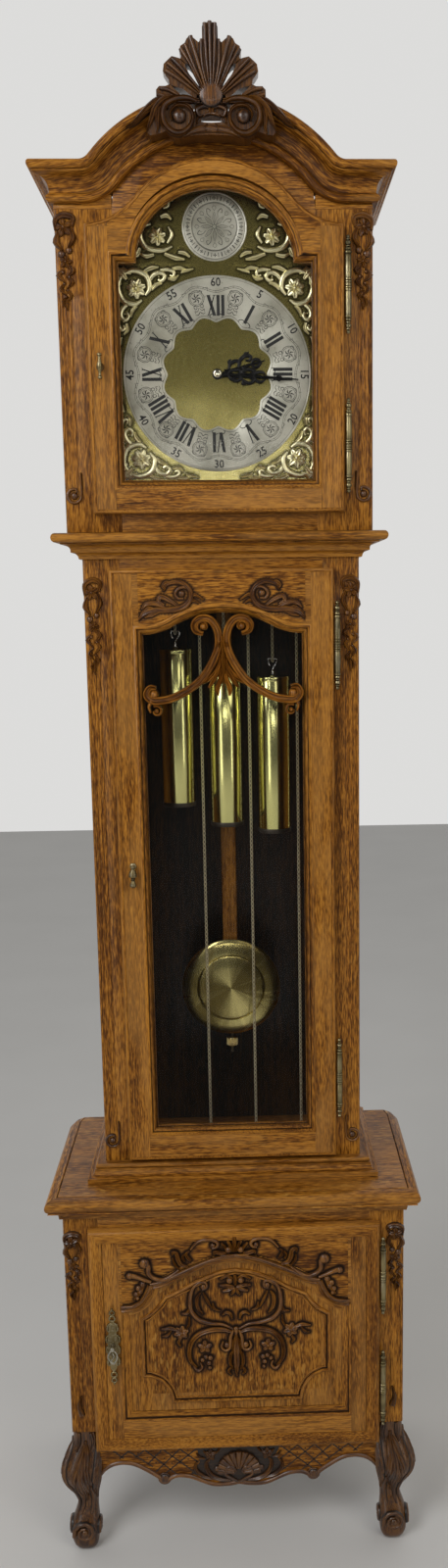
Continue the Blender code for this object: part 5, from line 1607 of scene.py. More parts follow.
footLook = {
    # x, y, half width, half depth, height
    "rings": [(0.229, -0.134, 0.011, 0.0105, 0.0), (0.23, -0.134, 0.0165, 0.016, 0.004), (0.2308, -0.133,
            0.0195, 0.019, 0.012),
              (0.2312, -0.131, 0.0205, 0.0205, 0.022), (0.2312, -0.1285, 0.0205, 0.0205, 0.032), (0.2306,
                      -0.1262, 0.0192, 0.019, 0.042),
              (0.2292, -0.1235, 0.0168, 0.0165, 0.052), (0.2276, -0.1195, 0.015, 0.0145, 0.062), (0.2278,
                      -0.118, 0.0152, 0.0148, 0.072),
              (0.2298, -0.1182, 0.0175, 0.0172, 0.082), (0.2322, -0.1195, 0.0212, 0.0208, 0.094), (0.2342,
                      -0.1212, 0.0246, 0.0236, 0.106),
              (0.235, -0.122, 0.0265, 0.025, 0.116), (0.2342, -0.1205, 0.0262, 0.0246, 0.127), (0.2318,
                      -0.1175, 0.024, 0.0228, 0.139),
              (0.2292, -0.114, 0.0215, 0.021, 0.15), (0.2272, -0.1112, 0.0196, 0.0194, 0.16), (0.2268,
                      -0.1105, 0.0194, 0.0194, 0.182)]}


def footSurface(z, side, turn):
    # a point on the front foot's skin; turn 0 faces outwards, 90 faces the front
    rings = np.array(footLook["rings"])
    x, y, wide, deep = [float(np.interp(z, rings[:, 4], rings[:, k])) for k in range(4)]
    t = math.radians(turn)
    c, s = math.cos(t), math.sin(t)
    bulge = (abs(c) ** 3.2 + abs(s) ** 3.2) ** (-1 / 3.2)
    return Vector((side * (x + wide * bulge * c), y - deep * bulge * s, z)), Vector((side * c, -s, 0.0))


def skinStroke(build, side, points, widths, height, kind="round", steps=4):
    # a carved limb that follows the foot's skin; points are (turn, z)
    line = smoothLine(points, steps)
    count = len(line)
    stations = []
    for i, (turn, z) in enumerate(line):
        here, out = footSurface(z, side, turn)
        before = footSurface(line[max(i - 1, 0)][1], side, line[max(i - 1, 0)][0])[0]
        after = footSurface(line[min(i + 1, count - 1)][1], side, line[min(i + 1, count - 1)][0])[0]
        way = (after - before).normalized()
        cross = way.cross(out).normalized()
        out = cross.cross(way).normalized()
        t = i / (count - 1)
        half = 0.5 * float(np.interp(t, np.linspace(0, 1, len(widths)), widths))
        tall = 1.4 * height * (0.55 + 0.45 * math.sin(math.pi * min(1.0, 1.15 * t)))
        stations.append([tuple(here + cross * u * half + out * (tall * v - 0.0004)) for u,
                v in sections[kind]])
    loftBody(build, stations, 3, 0, False, [reliefShading(v) for _, v in sections[kind]])


def buildFeet():
    for label, side in (("left", -1), ("right", 1)):
        build = Build(86 + side)
        top = Box("foot_front_" + label).z1
        stations = []
        for level in list(np.linspace(0.0, 0.16, 49)) + [top]:
            stations.append([tuple(footSurface(level, side, turn)[0]) for turn in range(0, 360, 10)])
        loftBody(build, stations, 2)
        # toe scroll: a volute on the front and one on each cheek
        for turn, size in ((90, 0.019), (0, 0.016), (180, 0.015)):
            middle, out = footSurface(0.029, side, turn)
            across = Vector((0, 0, 1)).cross(out).normalized()
            path = [(0.88 - 0.52 * k / 12, math.radians(200 - 40 * k)) for k in range(13)]
            rings = []
            for index, (r, t) in enumerate(path):
                centre = middle + across * size * r * math.cos(t) + Vector((0, 0,
                        1)) * size * r * math.sin(t)
                radial = (across * math.cos(t) + Vector((0, 0, 1)) * math.sin(t))
                width = size * (0.2 - 0.007 * index)
                rings.append([tuple(centre + radial * width * u + out * (0.0042 * v - 0.0012)) for u,
                        v in sections["round"]])
            loftBody(build, rings, 3, 0, False, [reliefShading(v) for _, v in sections["round"]])
            latheBody(build, [(0.0, -0.002), (0.26 * size, -0.002), (0.27 * size, 0.001), (0.2 * size,
                    0.003), (0.0, 0.004)], middle,
                      out, 12)
        # acanthus over the knee, and long leaves down the ankle
        for centre, spread in ((90, 1.0), (20, 0.9), (150, 0.8)):
            skinStroke(build, side, [(centre, 0.168), (centre, 0.13), (centre, 0.096), (centre, 0.072)],
                    [0.005, 0.012, 0.011, 0.004],
                       0.0032, "leaf", 5)
            for k, (a, b) in enumerate(((16, 0.14), (22, 0.122), (20, 0.104))):
                for way in (-1, 1):
                    skinStroke(build, side, [(centre + way * 3, b + 0.022),
                            (centre + way * a * 0.7 * spread, b + 0.008),
                                             (centre + way * a * spread, b - 0.01),
                                             (centre + way * a * 0.8 * spread, b - 0.022)],
                               [0.004, 0.01, 0.0095, 0.003], 0.003, "leaf", 4)
        for turn in (48, 120, 70):
            skinStroke(build, side, [(turn, 0.1), (turn + 4, 0.08), (turn, 0.064), (turn - 4, 0.052)],
                    [0.003, 0.007, 0.006, 0.003],
                       0.0024, "round", 4)
        for turn in (60, 118):
            skinStroke(build, side, [(turn, 0.181), (turn + 4, 0.168), (turn, 0.152)], [0.0085, 0.007,
                    0.003], 0.0028, "leaf", 4)
        build.piece("footFront" + label.title(), "case", ("foot",), ("foot_front_" + label,), 0.0, 50)
    for label in ("left", "right"):
        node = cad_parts["foot_rear_" + label]
        node.data.materials.clear()
        node.data.materials.append(mats["footPlain"])


buildCrest()
buildCornerCarving()
buildApronCarving()
buildFeet()
print("clock: carving made")

# dial
dialLook = {"x": 0.0, "z": 0.5 * sum(corner[2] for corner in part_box("chapter_ring")), "outer": 0.125,
        "inner": 0.066, "cusp": 0.007,
            "track": 0.1088, "wave": 0.0044, "numeral": (0.0745, 0.0998), "minute": 0.1158}


def ringPoint(radius, degrees):
    # clockwise from twelve
    t = math.radians(degrees)
    return radius * math.sin(t), dialLook["z"] + radius * math.cos(t)


def scallop(degrees):
    return dialLook["inner"] + dialLook["cusp"] * (0.5 - 0.5 * math.cos(math.radians(12.0 * degrees))) ** 0.75


def trackRadius(degrees):
    return dialLook["track"] - dialLook["wave"] * math.cos(math.radians(12.0 * degrees))


def buildDialPlate():
    box = Box("dial_plate")
    build = Build(91)
    outline = archedLine(0.1395, box.z0, 1.8375, 0.117, box.z1)
    plateBody(build, outline, box.y0, box.y1, 0)
    build.piece("dialPlate", "case", ("matBrass",), ("dial_plate",), 0.0, 30)
    # cast scrollwork in the corners and beside the boss
    plane = box.y0
    build = Build(92)
    for sx in (-1, 1):
        for sz in (-1, 1):
            def at(u, v):
                # u runs along the top edge towards the middle, v down the side, from the plate's corner
                return sx * (0.1345 - u), dialLook["z"] + sz * (0.137 - v)
            def limb(points, widths, height, kind="round", steps=4):
                stroke(build, [at(*p) for p in points], [1.5 * w for w in widths], [0.6 * height, height,
                        height, 0.5 * height], plane, kind, steps)
            rosette(build, *at(0.03, 0.0285), 0.0125, plane, 0.0034, 7)
            limb([(0.012, 0.012), (0.026, 0.006), (0.043, 0.012), (0.048, 0.027), (0.042, 0.037)],
                 [0.002, 0.005, 0.0056, 0.005, 0.002], 0.0034)
            limb([(0.012, 0.012), (0.006, 0.026), (0.012, 0.043), (0.027, 0.048), (0.037, 0.043)],
                 [0.002, 0.005, 0.0056, 0.005, 0.002], 0.0034)
            limb([(0.004, 0.004), (0.01, 0.008), (0.018, 0.017)], [0.004, 0.0075, 0.003], 0.0032, "leaf")
            limb([(0.002, 0.013), (0.007, 0.017), (0.01, 0.024)], [0.003, 0.005, 0.002], 0.0026, "leaf")
            limb([(0.013, 0.002), (0.017, 0.007), (0.024, 0.01)], [0.003, 0.005, 0.002], 0.0026, "leaf")
            for flip in (False, True):
                def turned(points):
                    return [(v, u) for u, v in points] if flip else points
                limb(turned([(0.046, 0.02), (0.054, 0.011), (0.063, 0.009), (0.068, 0.014), (0.064,
                        0.019), (0.059, 0.017)]),
                     [0.004, 0.0046, 0.0042, 0.0036, 0.003], 0.0032)
                limb(turned([(0.04, 0.008), (0.05, 0.003), (0.06, 0.002)]), [0.003, 0.005, 0.002], 0.0026,
                     "leaf")
                limb(turned([(0.05, 0.03), (0.056, 0.024), (0.064, 0.022)]), [0.003, 0.0046, 0.002],
                     0.0026, "leaf")
                limb(turned([(0.062, 0.006), (0.072, 0.005), (0.08, 0.008), (0.079, 0.013), (0.0745,
                        0.012)]),
                     [0.003, 0.004, 0.0036, 0.003, 0.002], 0.0028)
                limb(turned([(0.078, 0.004), (0.088, 0.003), (0.096, 0.005)]), [0.003, 0.0042, 0.0015],
                     0.0024, "leaf")
                limb(turned([(0.072, 0.016), (0.08, 0.017), (0.086, 0.012)]), [0.0026, 0.004, 0.0016],
                     0.0024, "leaf")
                limb(turned([(0.09, 0.008), (0.098, 0.006), (0.106, 0.004)]), [0.0024, 0.0032, 0.0012],
                     0.002, "leaf")
                for k in range(5):
                    dome(build, *at(*turned([(0.05 + 0.01 * k, 0.0155 - 0.0016 * k)])[0]), plane, 0.0013,
                         0.002, 6)
    for sx in (-1, 1):
        def at(x, z):
            return sx * x, z
        def limb(points, widths, height, kind="round", steps=4):
            stroke(build, [at(*p) for p in points], [1.5 * w for w in widths], [0.6 * height, height,
                    height, 0.5 * height], plane, kind, steps)
        rosette(build, sx * 0.075, 1.864, 0.011, plane, 0.0034, 7)
        limb([(0.056, 1.852), (0.07, 1.847), (0.088, 1.85), (0.097, 1.862), (0.094, 1.876), (0.083,
                1.88)],
             [0.002, 0.0045, 0.0052, 0.0052, 0.0045, 0.002], 0.0034)
        limb([(0.06, 1.876), (0.056, 1.866), (0.062, 1.856)], [0.002, 0.0044, 0.002], 0.003)
        limb([(0.092, 1.88), (0.085, 1.893), (0.074, 1.904), (0.062, 1.91), (0.06, 1.902), (0.066,
                1.899)],
             [0.003, 0.0048, 0.0048, 0.0044, 0.0034, 0.002], 0.0034)
        limb([(0.056, 1.908), (0.048, 1.918), (0.038, 1.925), (0.03, 1.927)], [0.003, 0.0048, 0.0044,
                0.0015], 0.0028, "leaf")
        limb([(0.07, 1.888), (0.062, 1.89), (0.056, 1.885)], [0.003, 0.005, 0.002], 0.0028, "leaf")
        limb([(0.086, 1.898), (0.08, 1.91), (0.07, 1.916)], [0.003, 0.0048, 0.002], 0.0026, "leaf")
        limb([(0.064, 1.916), (0.056, 1.924), (0.046, 1.929)], [0.0026, 0.0044, 0.002], 0.0024, "leaf")
        limb([(0.098, 1.85), (0.102, 1.842), (0.108, 1.84)], [0.003, 0.005, 0.002], 0.0026, "leaf")
        limb([(0.04, 1.836), (0.052, 1.838), (0.066, 1.843)], [0.002, 0.005, 0.003], 0.0026, "leaf")
        limb([(0.048, 1.845), (0.04, 1.844), (0.033, 1.839)], [0.003, 0.0044, 0.002], 0.0024, "leaf")
        limb([(0.08, 1.842), (0.09, 1.84), (0.098, 1.843)], [0.003, 0.0044, 0.002], 0.0024, "leaf")
    build.piece("dialSpandrels", "case", ("castBrass",), (), 0.0, 55)
    shadowSkin("dialGround", "case", build, (-0.1385, 0.1385, box.z0 + 0.001, box.z1 - 0.001), 0.0016,
            plane, "matBrass", outline,
             0.003, 0.9, 0)


def buildChapterRing():
    box = Box("chapter_ring")
    front = box.y0
    build = Build(93)
    steps = 288
    stations = []
    for i in range(steps):
        degrees = 360.0 * i / steps
        inner, outer = scallop(degrees), dialLook["outer"]
        section = [(inner, box.y1), (inner, front + 0.0003), (inner + 0.0006, front), (outer - 0.0022,
                front),
                   (outer - 0.0018, front + 0.0003), (outer - 0.0012, front), (outer - 0.0004,
                           front + 0.0001),
                   (outer, front + 0.0005), (outer, box.y1)]
        stations.append([(ringPoint(r, degrees)[0], y, ringPoint(r, degrees)[1]) for r, y in section])
    loftBody(build, stations, 0, 0, True)
    build.piece("chapterRing", "case", ("silver",), ("chapter_ring",), 0.0, 30)

    ink = Build(94)
    fine = 0.00042

    def mark(points, width, steps=1, tall=0.00012):
        stroke(ink, points, width, tall, front, "line", steps)

    for shift in (-0.0011, 0.0011):
        for part in range(12):
            angles = np.linspace(30 * part, 30 * part + 30.5, 20)
            mark([ringPoint(trackRadius(a) + shift, a) for a in angles], fine)
    for part in range(12):
        angles = np.linspace(30 * part, 30 * part + 30.5, 26)
        mark([ringPoint(scallop(a) + 0.003, a) for a in angles], fine)
        mark([ringPoint(dialLook["outer"] - 0.0032, a) for a in angles], 0.0003)
    for hour in range(12):
        degrees = 30.0 * hour
        # hour lines by the minute figures
        for side in (-1, 1):
            mark([ringPoint(0.11, degrees + 5.4 * side), ringPoint(0.11, degrees + 9.2 * side)], 0.0005)
        # shaped medallion between two numerals, its scrolls and the sprig below it
        middle = degrees + 15.0
        def local(u, v):
            r = 0.099 + v
            t = math.radians(middle)
            return u * math.cos(t) + r * math.sin(t), dialLook["z"] - u * math.sin(t) + r * math.cos(t)
        for radius, width in ((0.0098, 0.0007), (0.008, 0.0005)):
            mark([local(radius * 1.02 * math.cos(a), radius * math.sin(a)) for a in np.linspace(0,
                    math.tau, 22)], width)
        for k in range(6):
            a = math.tau * k / 6 + 0.5
            mark([local(r * math.cos(a + b), r * math.sin(a + b)) for r, b in ((0.0008, 0), (0.0036, 0.5),
                    (0.0066, 0.1))],
                 [0.0006, 0.0017, 0.0004], 3)
        for side in (-1, 1):
            mark([local(side * u, v) for u, v in ((0.002, -0.0072), (0.006, -0.0092), (0.0052, -0.013),
                    (0.0024, -0.0118),
                                                 (0.003, -0.0098))], [0.0005, 0.0009, 0.0007, 0.0004], 3)
            mark([local(side * u, v) for u, v in ((0.003, 0.0068), (0.0066, 0.0085), (0.009, 0.0062),
                    (0.0076, 0.0042))],
                 [0.0004, 0.0008, 0.0005], 3)
            mark([local(side * u, v) for u, v in ((0.0004, -0.0125), (0.003, -0.016), (0.0064, -0.015),
                    (0.0058, -0.0182))],
                 [0.0005, 0.0009, 0.0005], 3)
            mark([local(side * u, v) for u, v in ((0.0002, -0.0175), (0.0034, -0.0205), (0.007,
                    -0.0195))], [0.0008, 0.0009, 0.0003], 3)
        # small flourish under each numeral
        for side in (-1, 1):
            points = []
            for u, v in ((0.0005, 0.0), (0.0036, 0.0016), (0.007, 0.0004), (0.0086, -0.002), (0.007,
                    -0.003)):
                t = math.radians(degrees)
                r = 0.0752 + v
                points.append((side * u * math.cos(t) + r * math.sin(t),
                        dialLook["z"] - side * u * math.sin(t) + r * math.cos(t)))
            mark(points, [0.0009, 0.0011, 0.0006], 3)
    numerals = ["XII", "I", "II", "III", "IIII", "V", "VI", "VII", "VIII", "IX", "X", "XI"]
    for hour, text in enumerate(numerals):
        drawNumeral(ink, text, 30.0 * hour, front)
    ink.piece("dialMarks", "case", ("black",), (), 0.0, 30)


def drawNumeral(ink, text, degrees, front):
    # Roman figures of thick and thin strokes, their feet towards the middle
    low, high = dialLook["numeral"]
    tall, pitch = high - low, {"I": 0.0062, "V": 0.0118, "X": 0.0118}
    width = sum(pitch[letter] for letter in text)
    t = math.radians(degrees)

    def spot(u, v):
        r = low + v
        return u * math.cos(t) + r * math.sin(t), dialLook["z"] - u * math.sin(t) + r * math.cos(t)

    cursor = -0.5 * width
    for letter in text:
        span = pitch[letter]
        thick, thin = 0.0041, 0.0014
        if letter == "I":
            limbs = [((0.5 * span, 0.0), (0.5 * span, tall), thick)]
            feet = [(0.5 * span, 0.0), (0.5 * span, tall)]
        elif letter == "V":
            limbs = [((0.16 * span, tall), (0.5 * span, 0.0), thick), ((0.86 * span, tall),
                    (0.54 * span, 0.0), thin)]
            feet = [(0.16 * span, tall), (0.86 * span, tall)]
        else:
            limbs = [((0.16 * span, tall), (0.84 * span, 0.0), thick), ((0.84 * span, tall),
                    (0.16 * span, 0.0), thin)]
            feet = [(0.16 * span, tall), (0.84 * span, tall), (0.16 * span, 0.0), (0.84 * span, 0.0)]
        for start, end, wide in limbs:
            stroke(ink, [spot(cursor + start[0], start[1]), spot(cursor + end[0], end[1])], wide, 0.00014,
                   front, "line", 1)
        for u, v in feet:
            stroke(ink, [spot(cursor + u - 0.0021, v), spot(cursor + u + 0.0021, v)], 0.0006, 0.00013,
                   front, "line", 1)
        cursor += span


def buildMinuteFigures():
    # figures for every fifth minute, set as text and made a mesh
    front = Box("chapter_ring").y0
    parts = []
    for count in range(1, 13):
        curve = bpy.data.curves.new("figure", "FONT")
        curve.body = str(5 * count)
        curve.size = 0.0148
        curve.align_x = "CENTER"
        curve.align_y = "CENTER"
        curve.extrude = 0.00012
        curve.offset = 0.00022
        curve.resolution_u = 2
        carrier = bpy.data.objects.new("figure", curve)
        bpy.context.scene.collection.objects.link(carrier)
        mesh = bpy.data.meshes.new_from_object(carrier.evaluated_get(bpy.context.evaluated_depsgraph_get()))
        degrees = 30.0 * count
        upright = degrees if not 100 < degrees < 260 else degrees - 180
        x, z = ringPoint(dialLook["minute"], degrees)
        turn = Matrix.Rotation(math.radians(upright), 4, "Y") @ Matrix.Rotation(math.radians(90), 4, "X")
        mesh.transform(Matrix.Translation((x, front, z)) @ turn @ Matrix.Diagonal((0.92, 1.0, 1.0, 1.0)))
        parts.append(mesh)
        bpy.data.objects.remove(carrier)
    whole = bmesh.new()
    for mesh in parts:
        whole.from_mesh(mesh)
    mesh = bpy.data.meshes.new("minuteFigures")
    bmesh.ops.remove_doubles(whole, verts=whole.verts, dist=1e-6)
    bmesh.ops.recalc_face_normals(whole, faces=whole.faces)
    whole.to_mesh(mesh)
    whole.free()
    mesh.materials.append(mats["black"])
    made = bpy.data.objects.new("minuteFigures", mesh)
    bpy.context.scene.collection.objects.link(made)
    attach(made, "case")


def geometryTree(name, inputs):
    tree = bpy.data.node_groups.new(name, "GeometryNodeTree")
    sockets = {}
    for label, kind, value in inputs:
        item = tree.interface.new_socket(label, in_out="INPUT", socket_type=kind)
        if value is not None:
            item.default_value = value
        sockets[label] = item.identifier
    tree.interface.new_socket("Geometry", in_out="OUTPUT", socket_type="NodeSocketGeometry")
    return tree, sockets


def runTree(name, base, tree, sockets, values, body):
    # evaluates a tree on a base mesh and keeps the plain result
    carrier = bpy.data.objects.new(name + "Carrier", base)
    bpy.context.scene.collection.objects.link(carrier)
    modifier = carrier.modifiers.new("repeat", "NODES")
    modifier.node_group = tree
    for label, value in values.items():
        modifier[sockets[label]] = value
    mesh = bpy.data.meshes.new_from_object(carrier.evaluated_get(bpy.context.evaluated_depsgraph_get()))
    carrier.modifiers.remove(modifier)
    bpy.data.objects.remove(carrier)
    shape = bmesh.new()
    shape.from_mesh(mesh)
    bmesh.ops.recalc_face_normals(shape, faces=shape.faces)
    shape.to_mesh(mesh)
    shape.free()
    mesh.shade_smooth()
    mesh.set_sharp_from_angle(angle=math.radians(40))
    made = bpy.data.objects.new(name, mesh)
    bpy.context.scene.collection.objects.link(made)
    if body:
        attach(made, body)
    return made


def buildTicks():
    # a fine line for each minute, instanced on points that carry their own turn
    front = Box("chapter_ring").y0
    tree, sockets = geometryTree("minuteLines", [("Geometry", "NodeSocketGeometry", None), ("Length",
            "NodeSocketFloat", 0.003),
                                                 ("Width", "NodeSocketFloat", 0.0005), ("Height",
                                                         "NodeSocketFloat", 0.0003),
                                                 ("Material", "NodeSocketMaterial", None)])
    nodes, links = tree.nodes, tree.links
    start, end = nodes.new("NodeGroupInput"), nodes.new("NodeGroupOutput")
    size = nodes.new("ShaderNodeCombineXYZ")
    cube = nodes.new("GeometryNodeMeshCube")
    turn = nodes.new("GeometryNodeInputNamedAttribute")
    turn.data_type = "FLOAT_VECTOR"
    turn.inputs["Name"].default_value = "turn"
    points = nodes.new("GeometryNodeInstanceOnPoints")
    real, paint = nodes.new("GeometryNodeRealizeInstances"), nodes.new("GeometryNodeSetMaterial")
    for source, target in ((start.outputs["Width"], size.inputs[0]), (start.outputs["Height"],
            size.inputs[1]),
                           (start.outputs["Length"], size.inputs[2]), (size.outputs[0],
                                   cube.inputs["Size"]),
                           (start.outputs["Geometry"], points.inputs["Points"]), (cube.outputs["Mesh"],
                                   points.inputs["Instance"]),
                           (turn.outputs["Attribute"], points.inputs["Rotation"]), (points.outputs[0],
                                   real.inputs[0]),
                           (real.outputs[0], paint.inputs["Geometry"]), (start.outputs["Material"],
                                   paint.inputs["Material"]),
                           (paint.outputs[0], end.inputs[0])):
        links.new(source, target)
    mesh = bpy.data.meshes.new("minutePoints")
    angles = [6.0 * i for i in range(60)]
    spots = [ringPoint(trackRadius(a), a) for a in angles]
    mesh.from_pydata([(x, front, z) for x, z in spots], [], [])
    layer = mesh.attributes.new("turn", "FLOAT_VECTOR", "POINT")
    layer.data.foreach_set("vector", [value for a in angles for value in (0.0, math.radians(a), 0.0)])
    runTree("minuteLines", mesh, tree, sockets, {"Length": 0.0034, "Width": 0.0004, "Height": 0.00026,
            "Material": mats["black"]}, "case")


def buildBossAndCentre():
    box = Box("arch_boss")
    front = box.y0
    middle = (box.midX, front, box.midZ)
    build = Build(95)
    radius = box.half
    profile = [(0.0, box.y1 - front), (radius, box.y1 - front), (radius, 0.0006), (radius - 0.0012,
            0.0001), (radius - 0.0022, 0.0004),
               (radius - 0.003, 0.0001), (0.03, 0.0001), (0.0294, 0.0004), (0.0288, 0.0), (0.0, 0.0)]
    latheBody(build, profile, middle, (0, 1, 0), 72)
    build.piece("archBoss", "case", ("silver",), ("arch_boss",), 0.0, 30)
    ink = Build(96)

    def polar(radius, degrees):
        t = math.radians(degrees)
        return box.midX + radius * math.cos(t), box.midZ + radius * math.sin(t)

    def mark(points, width, steps=3):
        stroke(ink, points, width, 0.00012, front, "line", steps)

    for radius in (0.029, 0.03, 0.0398):
        for start in (0, 120, 240):
            mark([polar(radius, a) for a in np.linspace(start, start + 120.5, 30)], 0.0004, 1)
    for k in range(48):
        a = 7.5 * k
        if k % 4 == 0:
            for b in (0, 90, 180, 270):
                x, z = polar(0.035, a)
                t = math.radians(a + b)
                mark([(x, z), (x + 0.0022 * math.cos(t), z + 0.0022 * math.sin(t))], [0.0003, 0.0014], 2)
        else:
            mark([polar(0.0322, a), polar(0.0376, a)], 0.0007 if k % 2 else 0.0012, 1)
    for k in range(8):
        a = 45.0 * k
        mark([polar(0.003, a), polar(0.01, a + 12), polar(0.018, a), polar(0.01, a - 12), polar(0.003,
                a)], 0.00042)
        mark([polar(0.005, a), polar(0.015, a)], 0.0003)
        mark([polar(0.012, a + 22.5), polar(0.0185, a + 30), polar(0.024, a + 22.5), polar(0.0205,
                a + 14), polar(0.019, a + 20)],
             [0.0004, 0.0009, 0.0004])
        mark([polar(0.0195, a), polar(0.0235, a + 6), polar(0.0255, a), polar(0.0235, a - 6),
              polar(0.0195, a)], 0.0004)
    mark([polar(0.0026, a) for a in np.linspace(0, 362, 14)], 0.0006)
    face = Box("dial_plate").y0

    def cut(points, width, steps=4):
        stroke(ink, [(x, dialLook["z"] + z) for x, z in points], width, 0.00012, face, "line", steps, 1)

    for s in (-1, 1):
        for x in (0.0, 0.0022, 0.0044):
            cut([(s * x, 0.01), (s * x, 0.029)], 0.0003, 1)
            cut([(s * x, -0.01), (s * x, -0.022)], 0.0003, 1)
        cut([(s * 0.0, 0.039), (s * 0.012, 0.039)], 0.0003, 1)
        cut([(s * 0.0, 0.042), (s * 0.008, 0.045), (s * 0.006, 0.051), (0.0, 0.053)], 0.0004)
        cut([(s * 0.0, -0.024), (s * 0.014, -0.024), (s * 0.015, -0.028)], 0.0004)
        cut([(s * 0.0, -0.045), (s * 0.015, -0.044), (s * 0.028, -0.038)], [0.0014, 0.0007, 0.0004])
        cut([(s * 0.003, -0.056), (s * 0.014, -0.059), (s * 0.023, -0.053), (s * 0.02, -0.047),
             (s * 0.014, -0.05)],
            [0.0004, 0.001, 0.0008, 0.0004])
        cut([(s * 0.022, -0.052), (s * 0.03, -0.048), (s * 0.032, -0.041), (s * 0.026, -0.042)], [0.0004,
                0.0009, 0.0004])
        cut([(s * 0.03, -0.03), (s * 0.04, -0.026), (s * 0.044, -0.018), (s * 0.038, -0.016)], [0.0004,
                0.0007, 0.0004])
        cut([(s * 0.034, 0.01), (s * 0.044, 0.018), (s * 0.04, 0.03), (s * 0.03, 0.028), (s * 0.032,
                0.021)],
            [0.0004, 0.0007, 0.0004])
        cut([(s * 0.02, 0.018), (s * 0.026, 0.033), (s * 0.018, 0.044)], [0.0003, 0.0006, 0.0003])
        cut([(s * 0.008, -0.03), (s * 0.018, -0.033), (s * 0.026, -0.03)], [0.0003, 0.0006, 0.0003])
        cut([(s * 0.02, -0.008), (s * 0.03, -0.014), (s * 0.036, -0.006), (s * 0.03, -0.002)], [0.0003,
                0.0006, 0.0003])
    ink.piece("dialEngraving", "case", ("black", "engraved"), (), 0.0, 30)


def buildHands():
    middle = (0.0, dialLook["z"])
    plans = (
        ("hour_hand", 75.0, [([(0, 0.01), (0, 0.018), (0, 0.048), (0, 0.066)], [0.004, 0.0022, 0.0018,
                0.0006]),
                             ([(0.001, 0.016), (0.0078, 0.02), (0.01, 0.028), (0.006, 0.033), (0.003,
                                     0.029)],
                              [0.0018, 0.0026, 0.0024, 0.0014]),
                             ([(0.001, 0.03), (0.009, 0.034), (0.0128, 0.042), (0.01, 0.049), (0.0056,
                                     0.046), (0.007, 0.041)],
                              [0.0018, 0.0028, 0.0026, 0.002, 0.0012]),
                             ([(0.01, 0.04), (0.015, 0.043), (0.016, 0.048)], [0.0016, 0.0026, 0.001]),
                             ([(0.0008, 0.047), (0.0048, 0.052), (0.003, 0.058), (0.0006, 0.06)], [0.0014,
                                     0.0024, 0.0012]),
                             ([(0.006, 0.021), (0.011, 0.019), (0.0135, 0.023)], [0.0012, 0.0022,
                                     0.0008])], 0.0068),
        ("minute_hand", 94.0, [([(0, 0.007), (0, 0.02), (0, 0.06), (0, 0.108)], [0.004, 0.0026, 0.0022,
                0.0007]),
                               ([(0.0008, 0.014), (0.0056, 0.019), (0.007, 0.027), (0.0036, 0.031),
                                 (0.002, 0.027)],
                                [0.0014, 0.0022, 0.002, 0.001]),
                               ([(0.0008, 0.03), (0.007, 0.036), (0.0086, 0.044), (0.0048, 0.049), (0.003,
                                       0.044)],
                                [0.0014, 0.0024, 0.0022, 0.001]),
                               ([(0.0008, 0.048), (0.0056, 0.053), (0.006, 0.06), (0.003, 0.064)],
                                [0.0014, 0.0022, 0.0018, 0.0008]),
                               ([(0.006, 0.035), (0.01, 0.034), (0.0112, 0.039)], [0.001, 0.002, 0.0008]),
                               ([(0.0006, 0.078), (0.003, 0.082), (0.0006, 0.086)], [0.001, 0.0016,
                                       0.0008])], 0.0058))
    for node, degrees, limbs, hub in plans:
        box = Box(node)
        build = Build(97)
        t = math.radians(degrees)
        for points, widths in limbs:
            for s in (-1, 1):
                line = [(s * u * math.cos(t) + v * math.sin(t), middle[1] - s * u * math.sin(t)
                        + v * math.cos(t)) for u, v in points]
                stroke(build, line, [1.9 * w for w in widths], 0.0009, box.y1 - 0.0003, "round", 4)
        thick = box.y1 - box.y0
        latheBody(build, [(0.0, thick), (hub, thick), (hub, 0.0003), (hub - 0.0004, 0.0), (0.6 * hub,
                0.0), (0.55 * hub, 0.0002), (0.0, 0.0002)],
                  (0.0, box.y0, middle[1]), (0, 1, 0), 32)
        build.piece("hourHand" if node == "hour_hand" else "minuteHand", node, ("blueSteel",), (node,),
                0.0, 50)
    tip = Box("minute_hand").y0
    nut = Build(98)
    latheBody(nut, [(0.0, 0.0), (0.0046, 0.0), (0.0048, 0.001), (0.0036, 0.0014), (0.0038, 0.0034),
            (0.003, 0.0044), (0.0, 0.0048)],
              (0.0, tip, middle[1]), (0, -1, 0), 24)
    nut.piece("handNut", "minute_hand", ("brightBrass",), (), 0.0, 40)


buildDialPlate()
buildChapterRing()
buildMinuteFigures()
buildTicks()
buildBossAndCentre()
buildHands()
print("clock: dial made")

# weights, chains, pendulum
goingLook = {"linkPitch": 0.0064, "linkWire": 0.0008, "linkHalf": (0.0019, 0.0042), "wheelX": 0.035}


